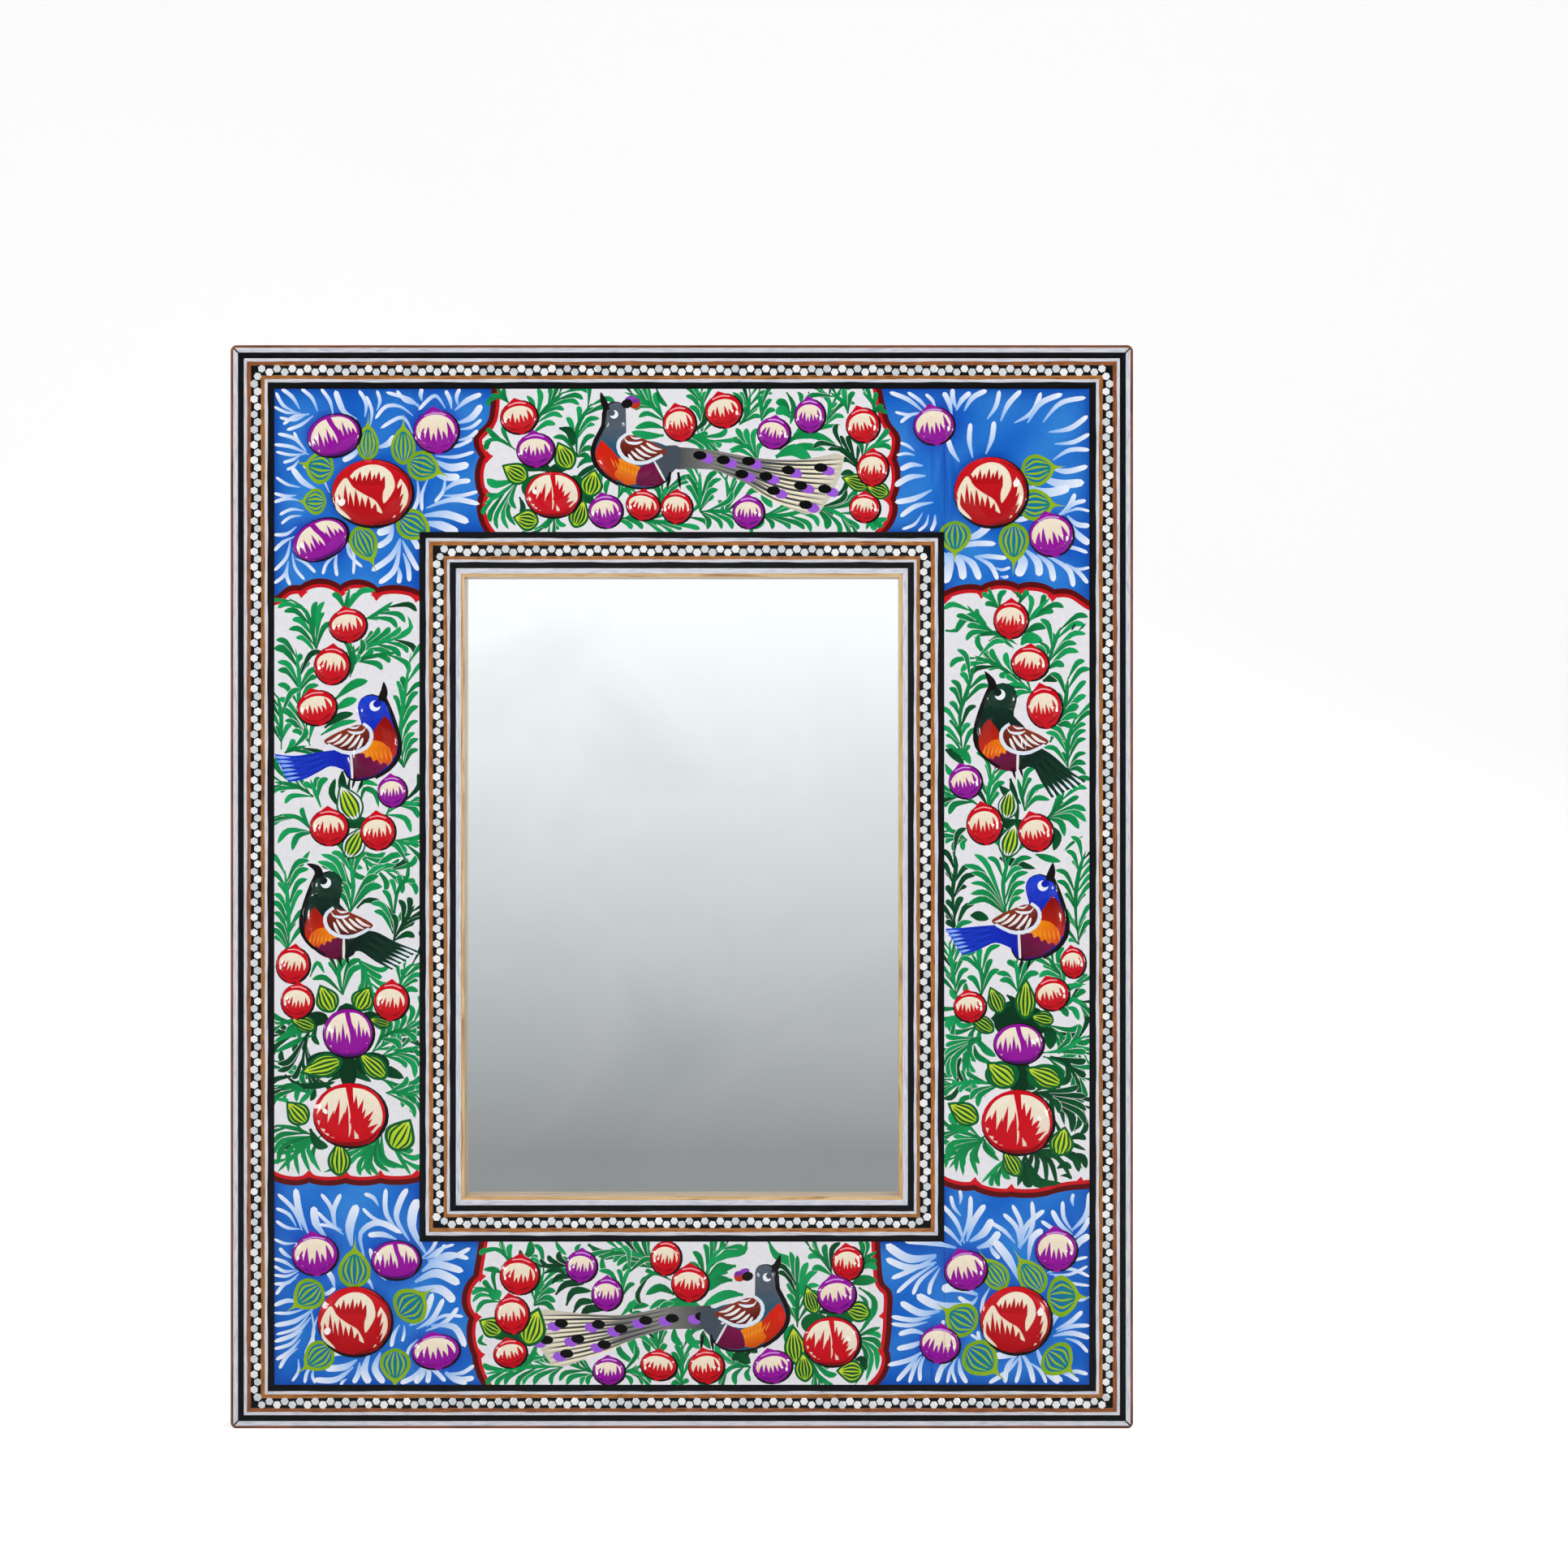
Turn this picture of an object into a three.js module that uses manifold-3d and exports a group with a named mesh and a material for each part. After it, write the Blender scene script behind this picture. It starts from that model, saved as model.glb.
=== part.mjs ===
// Inlaid wooden mirror: four mitred wooden rails, faced with inlay strips and four painted panels,
// hold a mirror glass in a rebate at the back. Behind the glass lie a sheet of card and a backing board,
// kept in by four turn buttons. The board carries a hinged easel strut, and the top rail a hanging ring.
// Sizes are in millimetres. X runs right, Z up, and the face of the mirror looks along -Y.
import * as THREE from 'three';
import { mergeVertices } from 'three/addons/utils/BufferGeometryUtils.js';
import Module from 'manifold-3d';

const wasm = await Module();
wasm.setup();

// The whole frame
const FRAME_WIDTH = 250;
const FRAME_HEIGHT = 300;
const RAIL_THICKNESS = 13;
const CORNER_RADIUS = 1.6;
const MITRE_GAP = 0.05;
const OVERCUT = 1;

// The facing on the front of the rails, listed from the outside edge to the opening
const FACING_THICKNESS = 2;
const GLUE_LINE = 0.1;
const SIDE_VENEER = 0.7;
const WHITE_EDGING = 1.3;
const OUTER_BLACK_LATH = 1.65;
const OUTER_INLAY_STRIP = 8.45;
const SIDE_PANEL_WIDTH = 40.2;
const END_PANEL_WIDTH = 39.6;
const INNER_INLAY_STRIP = 10.1;
const WHITE_LIP_LATH = 1.45;
const SIGHT_NOSE = 0.9;
const SIGHT_NOSE_DROP = 0.35;
const PANEL_SEAM = 0.05;

// The painting's relief: its flowers and birds are built up as low domes under the lacquer
const RELIEF_HEIGHT = 0.8;
const RELIEF_ROOT = 0.15;
const RELIEF_SEGMENTS = 10;
const RELIEF_RINGS = 4;

// What lies in the rebate: the glass, a card and the backing board
const GLASS_WIDTH = 130;
const GLASS_HEIGHT = 180;
const GLASS_THICKNESS = 3;
const CARD_THICKNESS = 1;
const BOARD_THICKNESS = 3;
const SHEET_GAP = 0.15;
const SHEET_CLEARANCE = 0.5;

// Metal nails that draw each mitre together from the back
const CORNER_NAIL_LEG = 6;
const CORNER_NAIL_THICKNESS = 0.7;
const CORNER_NAIL_LENGTH = 8;
const CORNER_NAIL_SINK = 0.2;
const CORNER_NAIL_PLACE = 0.5;

// Screws, and the turn buttons that they hold
const SCREW_HEAD_RADIUS = 2.6;
const SCREW_HEAD_HEIGHT = 1.4;
const SCREW_RIM_HEIGHT = 0.8;
const SCREW_RIM_TAPER = 0.2;
const SCREW_CROWN_RADIUS = 1.5;
const SCREW_SHANK_RADIUS = 1.2;
const SCREW_SHANK_LENGTH = 9;
const SCREW_SLOT_WIDTH = 0.8;
const SCREW_SLOT_DEPTH = 0.7;
const HOLE_CLEARANCE = 0.3;
const METAL_GAP = 0.15;
const BUTTON_THICKNESS = 1.2;
const BUTTON_ROOT_RADIUS = 4.5;
const BUTTON_TIP_RADIUS = 3;
const BUTTON_REACH = 10;
const BUTTON_INSET = 6.5;
const BUTTON_SPACING = 90;

// The easel strut and its butt hinge
const STRUT_THICKNESS = 3;
const STRUT_TOP_WIDTH = 36;
const STRUT_FOOT_WIDTH = 62;
const STRUT_CORNER = 4;
const STRUT_OPENING = THREE.MathUtils.degToRad(30);
const STRUT_STOP_GAP = 0.3;
const STRUT_FOOT_HEIGHT = 4;
const HINGE_HEIGHT = 205;
const HINGE_WIDTH = 30;
const HINGE_LEAF_LENGTH = 13;
const HINGE_LEAF_THICKNESS = 0.8;
const HINGE_KNUCKLE_RADIUS = 1.6;
const HINGE_MIDDLE_KNUCKLE = 10;
const HINGE_PIN_RADIUS = 0.7;
const HINGE_PIN_HEAD_RADIUS = 1.3;
const HINGE_PIN_HEAD = 0.6;
const BOARD_RIVET_SPACING = 20;
const STRUT_RIVET_SPACING = 12;
const RIVET_DROP = 8;
const RIVET_SHANK_RADIUS = 1.1;
const RIVET_HEAD_RADIUS = 2.2;
const RIVET_HEAD_HEIGHT = 0.5;

// The hanging ring and its strap, on the top rail
const RING_HEIGHT = 280;
const RING_WIRE_RADIUS = 0.9;
const RING_HALF_WIDTH = 9;
const RING_SIDE = 8;
const RING_BEND = 2;
const STRAP_WIDTH = 9;
const STRAP_LENGTH = 9.5;
const STRAP_THICKNESS = 0.8;
const STRAP_SCREW_DROP = 5.6;

const ROUND_SEGMENTS = 16;
const WIRE_SIDES = 8;
const RING_ARC_STEPS = 10;
const RING_BEND_STEPS = 3;
const CORNER_STEPS = 3;

// Planes through the thickness, counted from the front face
const RAIL_FRONT = FACING_THICKNESS + GLUE_LINE;
const BACK = RAIL_FRONT + RAIL_THICKNESS;
const BOARD_FRONT = BACK - BOARD_THICKNESS;
const CARD_FRONT = BOARD_FRONT - SHEET_GAP - CARD_THICKNESS;
const GLASS_FRONT = CARD_FRONT - SHEET_GAP - GLASS_THICKNESS;
const REBATE_FLOOR = GLASS_FRONT - SHEET_GAP;
const HINGE_AXIS = BACK + GLUE_LINE + HINGE_KNUCKLE_RADIUS;
const HINGE_NOTCH = HINGE_KNUCKLE_RADIUS + HOLE_CLEARANCE;
const STRUT_FRONT = HINGE_AXIS + HINGE_KNUCKLE_RADIUS + GLUE_LINE;
const STRUT_BACK = STRUT_FRONT + STRUT_THICKNESS;
const RING_BORE_RADIUS = RING_WIRE_RADIUS + HOLE_CLEARANCE;
const RING_AXIS = BACK + GLUE_LINE + STRAP_THICKNESS + RING_BORE_RADIUS;
const REARMOST = STRUT_BACK + GLUE_LINE + RIVET_HEAD_HEIGHT;

const finish = (color, roughness, metalness) =>
  new THREE.MeshStandardMaterial({ color, roughness, metalness });
const walnut = finish('#7a4a2a', 0.5, 0);
const beech = finish('#b98a5c', 0.65, 0);
const bone = finish('#dcdde2', 0.25, 0);
const ebony = finish('#121214', 0.2, 0);
const inlay = finish('#8d7257', 0.3, 0);
const paintedWhite = finish('#e4e6e8', 0.15, 0);
const mirrorSilver = finish('#dfe3e4', 0.03, 1);
const greyCard = finish('#9a938a', 0.95, 0);
const brownBoard = finish('#4a3324', 0.85, 0);
const brass = finish('#c9a252', 0.35, 1);
const steel = finish('#b9bcc0', 0.35, 1);

// The raised flowers and birds of the painting, as they lie on a frame of 250 by 300 mm: each one's middle,
// from the middle of the width and up from the lower edge, then half its width, half its height, and its lean
// to the left in degrees. The band that they lie on is drawn below, as distances from the middle.
const DRAWN_BAND = { innerX: 72.7, outerX: 112.9, innerZ: 98.3, outerZ: 137.9, middleZ: 150 };
const RAISED_FLOWERS = [
  // Left panel
  [-92.6, 222.5, 5.1, 4.4], [-97, 211.4, 4.8, 5], [-101.2, 199.7, 5.4, 4.6], [-97.8, 166.6, 5.2, 4.8],
  [-84.3, 165.4, 4.7, 4.8], [-107.8, 128.5, 4.5, 4.8], [-106.6, 118.4, 4.4, 4.5], [-80.6, 118.4, 4.7, 5],
  [-80.3, 176.5, 3.9, 4.1], [-92.5, 109.6, 6.8, 6.5], [-92.1, 87, 10, 8.6],
  // Right panel
  [91.1, 224.1, 4.6, 4.9], [96.4, 212, 5, 4.5], [100.4, 199.9, 4.7, 5.6], [83.8, 167.4, 4.8, 5.3],
  [98, 165.2, 4.7, 5], [108.3, 129.1, 3.3, 4], [102.5, 120.4, 4.6, 4.3], [79.7, 116.9, 4.3, 4],
  [78.5, 179.2, 4.4, 4.4], [93.2, 106.6, 6.7, 5.4], [92.9, 85, 9.8, 8.7],
  // Top panel
  [-45.2, 280.2, 5, 4.4], [-10.8, 255.7, 4.6, 3.8], [-1.5, 255.2, 4.2, 4.2], [-0.7, 278.5, 4.4, 4.7],
  [11.5, 282, 5, 4.5], [50.1, 278, 4.5, 4.6], [52.8, 266, 4.2, 4.6], [50.6, 255.1, 4.1, 3.8],
  [-40.6, 271.1, 5.1, 4.5], [-21.2, 254.1, 4.6, 4.4], [25.4, 275.8, 4.4, 4.1], [35.4, 280.6, 4.1, 4.4],
  [18.4, 253.8, 4.2, 4.2], [-35.8, 258.8, 7.5, 6.1],
  // Bottom panel
  [-45, 42.5, 5.3, 5], [-47.1, 31.6, 4.6, 5], [-47.6, 20.9, 4.5, 3.7], [-4.5, 46.5, 4.1, 4.5],
  [-6.5, 17.5, 4.9, 3.8], [2.2, 40.2, 5, 4.7], [6.7, 17.2, 4.8, 4.4], [45.9, 46, 4.2, 4.5],
  [-27.9, 45, 4.2, 4.2], [-20.8, 37.3, 4.1, 4.3], [-20.3, 16.5, 4.3, 3.6], [25.1, 17.2, 5.3, 4.3],
  [42.8, 37.1, 5.2, 4.8], [41.4, 24.2, 7.7, 6.6],
  // Blue corners: top left, top right, bottom left, bottom right
  [-85.9, 259.2, 11.1, 9.1], [-96.5, 275.1, 7.2, 5.6, 15], [-68.1, 276.2, 6.1, 5.7],
  [-100.3, 246.2, 7.8, 5.2, 25],
  [85.5, 259.5, 10, 9.5], [69.8, 277.8, 5.5, 5], [102.3, 247.5, 6, 5.6],
  [-90.7, 29.8, 10.1, 9.4], [-101.7, 48.2, 6.2, 5.4], [-79.3, 46.7, 6.6, 5.1], [-68.2, 21.4, 6.5, 4.6, -15],
  [92.4, 30.1, 9.7, 9.2], [78.6, 43.9, 5.8, 5.2], [103.7, 49.5, 5.6, 5.5], [71.4, 23.3, 5.4, 4.8],
];
// A body and a head for each bird: two on the left panel, two on the right, one at the top, one at the bottom
const RAISED_BIRDS = [
  [-85.5, 188.8, 6.4, 9.2, -20], [-85.3, 199.2, 4.2, 4],
  [-99.6, 140, 6.6, 9, 22], [-98.3, 150.5, 3.5, 3.4],
  [87.5, 190.5, 6.5, 8.8, 20], [88.4, 202.3, 3.3, 3.3],
  [99.3, 139, 6.5, 9, -20], [99.7, 149.4, 4.3, 4],
  [-15.2, 267.6, 9.6, 6.3, -18], [-18.9, 279.6, 3.1, 4.3],
  [20.4, 28.9, 9.4, 6.2, 18], [22.9, 40.1, 3.1, 4.3],
];

const mirrorFrame = new THREE.Group();

function addPart(parent, name, geometry, material, x = 0, y = 0, z = 0) {
  const mesh = new THREE.Mesh(geometry, material);
  mesh.name = name;
  mesh.position.set(x, y, z);
  parent.add(mesh);
  return mesh;
}

// A plate with its outline in the XZ plane, its front at y = 0 and its thickness running back
function plate(outline, thickness, holes = []) {
  const shape = outline instanceof THREE.Shape ? outline : new THREE.Shape(outline);
  shape.holes.push(...holes);
  const geometry = new THREE.ExtrudeGeometry(shape, {
    depth: thickness,
    bevelEnabled: false,
    curveSegments: ROUND_SEGMENTS / 2,
  });
  return geometry.rotateX(Math.PI / 2).translate(0, thickness, 0);
}

// A round pin along X, centred on x = 0
function pinAlongX(radius, length) {
  return new THREE.CylinderGeometry(radius, radius, length, ROUND_SEGMENTS).rotateZ(Math.PI / 2);
}

// A round pin along Y that starts at y = 0 and runs back
function pinAlongY(radius, length) {
  return new THREE.CylinderGeometry(radius, radius, length, ROUND_SEGMENTS).translate(0, length / 2, 0);
}

function block(x0, x1, y0, y1, z0, z1) {
  return new THREE.BoxGeometry(x1 - x0, y1 - y0, z1 - z0)
    .translate((x0 + x1) / 2, (y0 + y1) / 2, (z0 + z1) / 2);
}

function solidOf(geometry) {
  const bare = geometry.clone();
  bare.deleteAttribute('normal');
  bare.deleteAttribute('uv');
  const merged = mergeVertices(bare, 1e-4);
  return new wasm.Manifold(
    new wasm.Mesh({
      numProp: 3,
      vertProperties: merged.attributes.position.array,
      triVerts: new Uint32Array(merged.index.array),
    }),
  );
}

function geometryOf(solid) {
  const mesh = solid.getMesh();
  const geometry = new THREE.BufferGeometry();
  geometry.setAttribute('position', new THREE.BufferAttribute(mesh.vertProperties, mesh.numProp));
  geometry.setIndex(new THREE.BufferAttribute(mesh.triVerts, 1));
  return geometry;
}

// Joins the geometries in the first list and cuts away those in the second
function joinAndCut(joined, cut) {
  const whole = joined.map(solidOf).reduce((sum, next) => sum.add(next));
  return geometryOf(cut.map(solidOf).reduce((rest, next) => rest.subtract(next), whole));
}

// A rectangle of the frame's face, drawn in from the outside by one distance at the sides and one at the ends
function faceRectangle(sideInset, endInset = sideInset) {
  return { half: FRAME_WIDTH / 2 - sideInset, bottom: endInset, top: FRAME_HEIGHT - endInset };
}

const AROUND_FACE = ['top', 'left', 'bottom', 'right'];

// The outline of one mitred length, between two rectangles of the face. Its outer corners are rounded.
function mitredOutline(side, outer, inner, outerRadius = 0, innerRadius = 0) {
  const upright = side === 'left' || side === 'right';
  const turn = side === 'left' || side === 'bottom' ? -1 : 1;
  // The length lies along its own axis from -1 to 1, and outwards is towards its own edge of the frame.
  const place = (rect, along, radius, angle) => {
    const low = upright ? rect.bottom : -rect.half;
    const high = upright ? rect.top : rect.half;
    const edge = upright ? rect.half * turn : side === 'top' ? rect.top : rect.bottom;
    const end = along < 0 ? low + radius : high - radius;
    const lengthwise = end + along * radius * Math.sin(angle) - along * MITRE_GAP / 2;
    const outwards = edge - turn * radius * (1 - Math.cos(angle));
    return upright ? new THREE.Vector2(outwards, lengthwise) : new THREE.Vector2(lengthwise, outwards);
  };
  const corner = (rect, along, radius) => {
    if (radius === 0) return [place(rect, along, 0, 0)];
    const angles = Array.from({ length: CORNER_STEPS + 1 }, (_, i) => (i / CORNER_STEPS) * (Math.PI / 4));
    return angles.map((angle) => place(rect, along, radius, angle));
  };
  const outline = [
    ...corner(outer, -1, outerRadius).reverse(),
    ...corner(outer, 1, outerRadius),
    ...corner(inner, 1, innerRadius).reverse(),
    ...corner(inner, -1, innerRadius),
  ];
  return THREE.ShapeUtils.isClockWise(outline) ? outline.reverse() : outline;
}

// Four mitred lengths that together ring the face, each its own piece
function addMitredRing(
  parent, name, material, outer, inner, front, thickness, outerRadius = 0, innerRadius = 0,
) {
  for (const side of AROUND_FACE) {
    const outline = mitredOutline(side, outer, inner, outerRadius, innerRadius);
    addPart(parent, `${name}_${side}`, plate(outline, thickness), material, 0, front, 0);
  }
}

// The insets of the facing's rings, from the outside of the frame inwards
const railInset = SIDE_VENEER;
const blackInset = railInset + WHITE_EDGING;
const outerStripInset = blackInset + OUTER_BLACK_LATH;
const panelInset = outerStripInset + OUTER_INLAY_STRIP;
const innerStripSide = panelInset + SIDE_PANEL_WIDTH;
const innerStripEnd = panelInset + END_PANEL_WIDTH;
const lipSide = innerStripSide + INNER_INLAY_STRIP;
const lipEnd = innerStripEnd + INNER_INLAY_STRIP;
const noseSide = lipSide + WHITE_LIP_LATH;
const noseEnd = lipEnd + WHITE_LIP_LATH;

const outside = faceRectangle(0);
const railEdge = faceRectangle(railInset);
const blackEdge = faceRectangle(blackInset);
const outerStripEdge = faceRectangle(outerStripInset);
const panelEdge = faceRectangle(panelInset);
const innerStripEdge = faceRectangle(innerStripSide, innerStripEnd);
const lipEdge = faceRectangle(lipSide, lipEnd);
const noseEdge = faceRectangle(noseSide, noseEnd);
const sightEdge = faceRectangle(noseSide + SIGHT_NOSE, noseEnd + SIGHT_NOSE);
const middleHeight = FRAME_HEIGHT / 2;
const rebateHalfWidth = GLASS_WIDTH / 2 + SHEET_CLEARANCE;
const rebateHalfHeight = GLASS_HEIGHT / 2 + SHEET_CLEARANCE;
const rebateBottom = middleHeight - rebateHalfHeight;
const rebateTop = middleHeight + rebateHalfHeight;

// Each nail has one leg in each rail, and its elbow lies on the mitre.
function cornerNailOutline(right, up, growth) {
  const x = right * THREE.MathUtils.lerp(railEdge.half, sightEdge.half, CORNER_NAIL_PLACE);
  const outerZ = up > 0 ? railEdge.top : railEdge.bottom;
  const innerZ = up > 0 ? sightEdge.top : sightEdge.bottom;
  const z = THREE.MathUtils.lerp(outerZ, innerZ, CORNER_NAIL_PLACE);
  const thin = CORNER_NAIL_THICKNESS / 2 + growth;
  const long = CORNER_NAIL_LEG + growth;
  const points = [
    [-thin, -thin],
    [long, -thin],
    [long, thin],
    [thin, thin],
    [thin, long],
    [-thin, long],
  ].map(([inwards, towardsMiddle]) => new THREE.Vector2(x - right * inwards, z - up * towardsMiddle));
  return THREE.ShapeUtils.isClockWise(points) ? points.reverse() : points;
}

const CORNERS = [
  { name: 'top_left', right: -1, up: 1 },
  { name: 'top_right', right: 1, up: 1 },
  { name: 'bottom_left', right: -1, up: -1 },
  { name: 'bottom_right', right: 1, up: -1 },
];

// The turn buttons stand on the top and bottom rails, and their tips reach over the backing board.
const BUTTONS = CORNERS.map(({ name, right, up }) => ({
  name,
  up,
  x: (right * BUTTON_SPACING) / 2,
  z: up > 0 ? rebateTop + BUTTON_INSET : rebateBottom - BUTTON_INSET,
}));

const hangerScrewHeight = RING_HEIGHT - STRAP_SCREW_DROP;

function pilotHole(x, z) {
  const depth = SCREW_SHANK_LENGTH + HOLE_CLEARANCE;
  return pinAlongY(SCREW_SHANK_RADIUS + HOLE_CLEARANCE, depth + OVERCUT).translate(x, BACK - depth, z);
}

function addRails(parent) {
  for (const side of AROUND_FACE) {
    const body = plate(
      mitredOutline(side, railEdge, sightEdge, CORNER_RADIUS - SIDE_VENEER),
      RAIL_THICKNESS,
    ).translate(0, RAIL_FRONT, 0);
    const noseHeight = RAIL_FRONT - SIGHT_NOSE_DROP + OVERCUT;
    const nose = plate(mitredOutline(side, noseEdge, sightEdge), noseHeight).translate(0, SIGHT_NOSE_DROP, 0);
    const rebate = block(
      -rebateHalfWidth, rebateHalfWidth, REBATE_FLOOR, BACK + OVERCUT, rebateBottom, rebateTop,
    );
    const nailSlots = CORNERS.map(({ right, up }) =>
      plate(cornerNailOutline(right, up, HOLE_CLEARANCE), CORNER_NAIL_LENGTH + OVERCUT)
        .translate(0, BACK - CORNER_NAIL_LENGTH - CORNER_NAIL_SINK - HOLE_CLEARANCE, 0));
    const pilots = BUTTONS.map(({ x, z }) => pilotHole(x, z));
    const hangerPilot = pilotHole(0, hangerScrewHeight);
    const rail = joinAndCut([body, nose], [rebate, ...nailSlots, ...pilots, hangerPilot]);
    addPart(parent, `rail_${side}`, rail, beech);
  }
}

function addCornerNails(parent) {
  for (const { name, right, up } of CORNERS) {
    const geometry = plate(cornerNailOutline(right, up, 0), CORNER_NAIL_LENGTH);
    const front = BACK - CORNER_NAIL_SINK - CORNER_NAIL_LENGTH;
    addPart(parent, `corner_nail_${name}`, geometry, steel, 0, front, 0);
  }
}

function addFacing(parent) {
  addMitredRing(parent, 'side_veneer', walnut, outside, railEdge, 0, BACK, CORNER_RADIUS,
    CORNER_RADIUS - SIDE_VENEER);
  addMitredRing(parent, 'white_edging', bone, railEdge, blackEdge, 0, FACING_THICKNESS,
    CORNER_RADIUS - SIDE_VENEER);
  addMitredRing(parent, 'black_lath', ebony, blackEdge, outerStripEdge, 0, FACING_THICKNESS);
  addMitredRing(parent, 'outer_inlay_strip', inlay, outerStripEdge, panelEdge, 0, FACING_THICKNESS);
  addMitredRing(parent, 'inner_inlay_strip', inlay, innerStripEdge, lipEdge, 0, FACING_THICKNESS);
  addMitredRing(parent, 'white_lip_lath', bone, lipEdge, noseEdge, 0, FACING_THICKNESS);
}

// A distance from the middle, taken from the drawn band to the real one. What lies inside the band's inner
// edge stretches with the opening, and what lies on the band stretches with its width.
function fromDrawing(distance, drawnInner, drawnOuter, inner, outer) {
  const size = Math.abs(distance);
  const real = size < drawnInner
    ? (size * inner) / drawnInner
    : THREE.MathUtils.mapLinear(size, drawnInner, drawnOuter, inner, outer);
  return Math.sign(distance) * real;
}

// An oval dome on the face of the painting. Its root lies a little below the face.
function raisedDome([x, z, halfWidth, halfHeight, lean = 0]) {
  const { innerX, outerX, innerZ, outerZ, middleZ } = DRAWN_BAND;
  const innerHeight = innerStripEdge.top - middleHeight;
  const outerHeight = panelEdge.top - middleHeight;
  return new THREE.SphereGeometry(1, RELIEF_SEGMENTS, RELIEF_RINGS)
    .scale(halfWidth, RELIEF_HEIGHT + RELIEF_ROOT, halfHeight)
    .rotateY(-THREE.MathUtils.degToRad(lean))
    .translate(
      fromDrawing(x, innerX, outerX, innerStripEdge.half, panelEdge.half),
      RELIEF_ROOT,
      middleHeight + fromDrawing(z - middleZ, innerZ, outerZ, innerHeight, outerHeight),
    );
}

// The side panels run the whole height of the painted band, and the end panels butt between them. The relief
// runs over the seams, so each panel holds its share of what crosses them.
function addPaintedPanels(parent) {
  const relief = [...RAISED_FLOWERS, ...RAISED_BIRDS]
    .map((oval) => solidOf(raisedDome(oval)))
    .reduce((sum, next) => sum.add(next));
  const addPanel = (name, x0, x1, z0, z1) => {
    const sheet = solidOf(block(x0, x1, 0, FACING_THICKNESS, z0, z1));
    const room = solidOf(block(x0, x1, -RELIEF_HEIGHT - OVERCUT, FACING_THICKNESS / 2, z0, z1));
    addPart(parent, `painted_panel_${name}`, geometryOf(sheet.add(relief.intersect(room))), paintedWhite);
  };
  const { half: outer, bottom, top } = panelEdge;
  const { half: inner, bottom: innerBottom, top: innerTop } = innerStripEdge;
  const endHalf = inner - PANEL_SEAM;
  addPanel('left', -outer, -inner, bottom, top);
  addPanel('right', inner, outer, bottom, top);
  addPanel('top', -endHalf, endHalf, innerTop, top);
  addPanel('bottom', -endHalf, endHalf, bottom, innerBottom);
}

function addGlassAndBoard(parent) {
  const sheet = (thickness) => new THREE.BoxGeometry(GLASS_WIDTH, thickness, GLASS_HEIGHT);
  addPart(parent, 'mirror_glass', sheet(GLASS_THICKNESS), mirrorSilver, 0, GLASS_FRONT + GLASS_THICKNESS / 2,
    middleHeight);
  addPart(parent, 'card_spacer', sheet(CARD_THICKNESS), greyCard, 0, CARD_FRONT + CARD_THICKNESS / 2,
    middleHeight);
  const rivetHoles = [-1, 1].map((right) =>
    pinAlongY(RIVET_SHANK_RADIUS + HOLE_CLEARANCE, BOARD_THICKNESS + 2 * OVERCUT)
      .translate((right * BOARD_RIVET_SPACING) / 2, -OVERCUT, HINGE_HEIGHT - RIVET_DROP - middleHeight));
  const board = joinAndCut([sheet(BOARD_THICKNESS).translate(0, BOARD_THICKNESS / 2, 0)], rivetHoles);
  addPart(parent, 'backing_board', board, brownBoard, 0, BOARD_FRONT, middleHeight);
}

// A slotted screw whose head seats at y = 0 and whose shank runs forward into the wood
function screwGeometry(grip) {
  const shank = SCREW_SHANK_LENGTH + grip;
  const tip = SCREW_SHANK_RADIUS;
  const profile = [
    new THREE.Vector2(0, -shank),
    new THREE.Vector2(SCREW_SHANK_RADIUS, -shank + tip),
    new THREE.Vector2(SCREW_SHANK_RADIUS, 0),
    new THREE.Vector2(SCREW_HEAD_RADIUS, 0),
    new THREE.Vector2(SCREW_HEAD_RADIUS - SCREW_RIM_TAPER, SCREW_RIM_HEIGHT),
    new THREE.Vector2(SCREW_CROWN_RADIUS, SCREW_HEAD_HEIGHT),
    new THREE.Vector2(0, SCREW_HEAD_HEIGHT),
  ];
  const turned = new THREE.LatheGeometry(profile, ROUND_SEGMENTS);
  const slot = block(
    -SCREW_SLOT_WIDTH / 2, SCREW_SLOT_WIDTH / 2,
    SCREW_HEAD_HEIGHT - SCREW_SLOT_DEPTH, SCREW_HEAD_HEIGHT + OVERCUT,
    -SCREW_HEAD_RADIUS - OVERCUT, SCREW_HEAD_RADIUS + OVERCUT,
  );
  return joinAndCut([turned], [slot]);
}

function turnButtonGeometry() {
  const lean = Math.asin((BUTTON_ROOT_RADIUS - BUTTON_TIP_RADIUS) / BUTTON_REACH);
  const shape = new THREE.Shape();
  shape.absarc(0, 0, BUTTON_ROOT_RADIUS, lean, Math.PI - lean, false);
  shape.absarc(0, -BUTTON_REACH, BUTTON_TIP_RADIUS, Math.PI - lean, Math.PI * 2 + lean, false);
  const hole = new THREE.Path();
  hole.absarc(0, 0, SCREW_SHANK_RADIUS + HOLE_CLEARANCE, 0, Math.PI * 2, true);
  return plate(shape, BUTTON_THICKNESS, [hole]);
}

function addTurnButtons(parent) {
  const front = BACK + METAL_GAP;
  for (const { name, up, x, z } of BUTTONS) {
    const button = addPart(parent, `turn_button_${name}`, turnButtonGeometry(), brass, x, front, z);
    button.rotation.y = up > 0 ? 0 : Math.PI;
    const seat = front + BUTTON_THICKNESS + METAL_GAP;
    const screw = screwGeometry(seat - BACK);
    addPart(parent, `turn_button_screw_${name}`, screw, brass, x, seat, z);
  }
}

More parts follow.
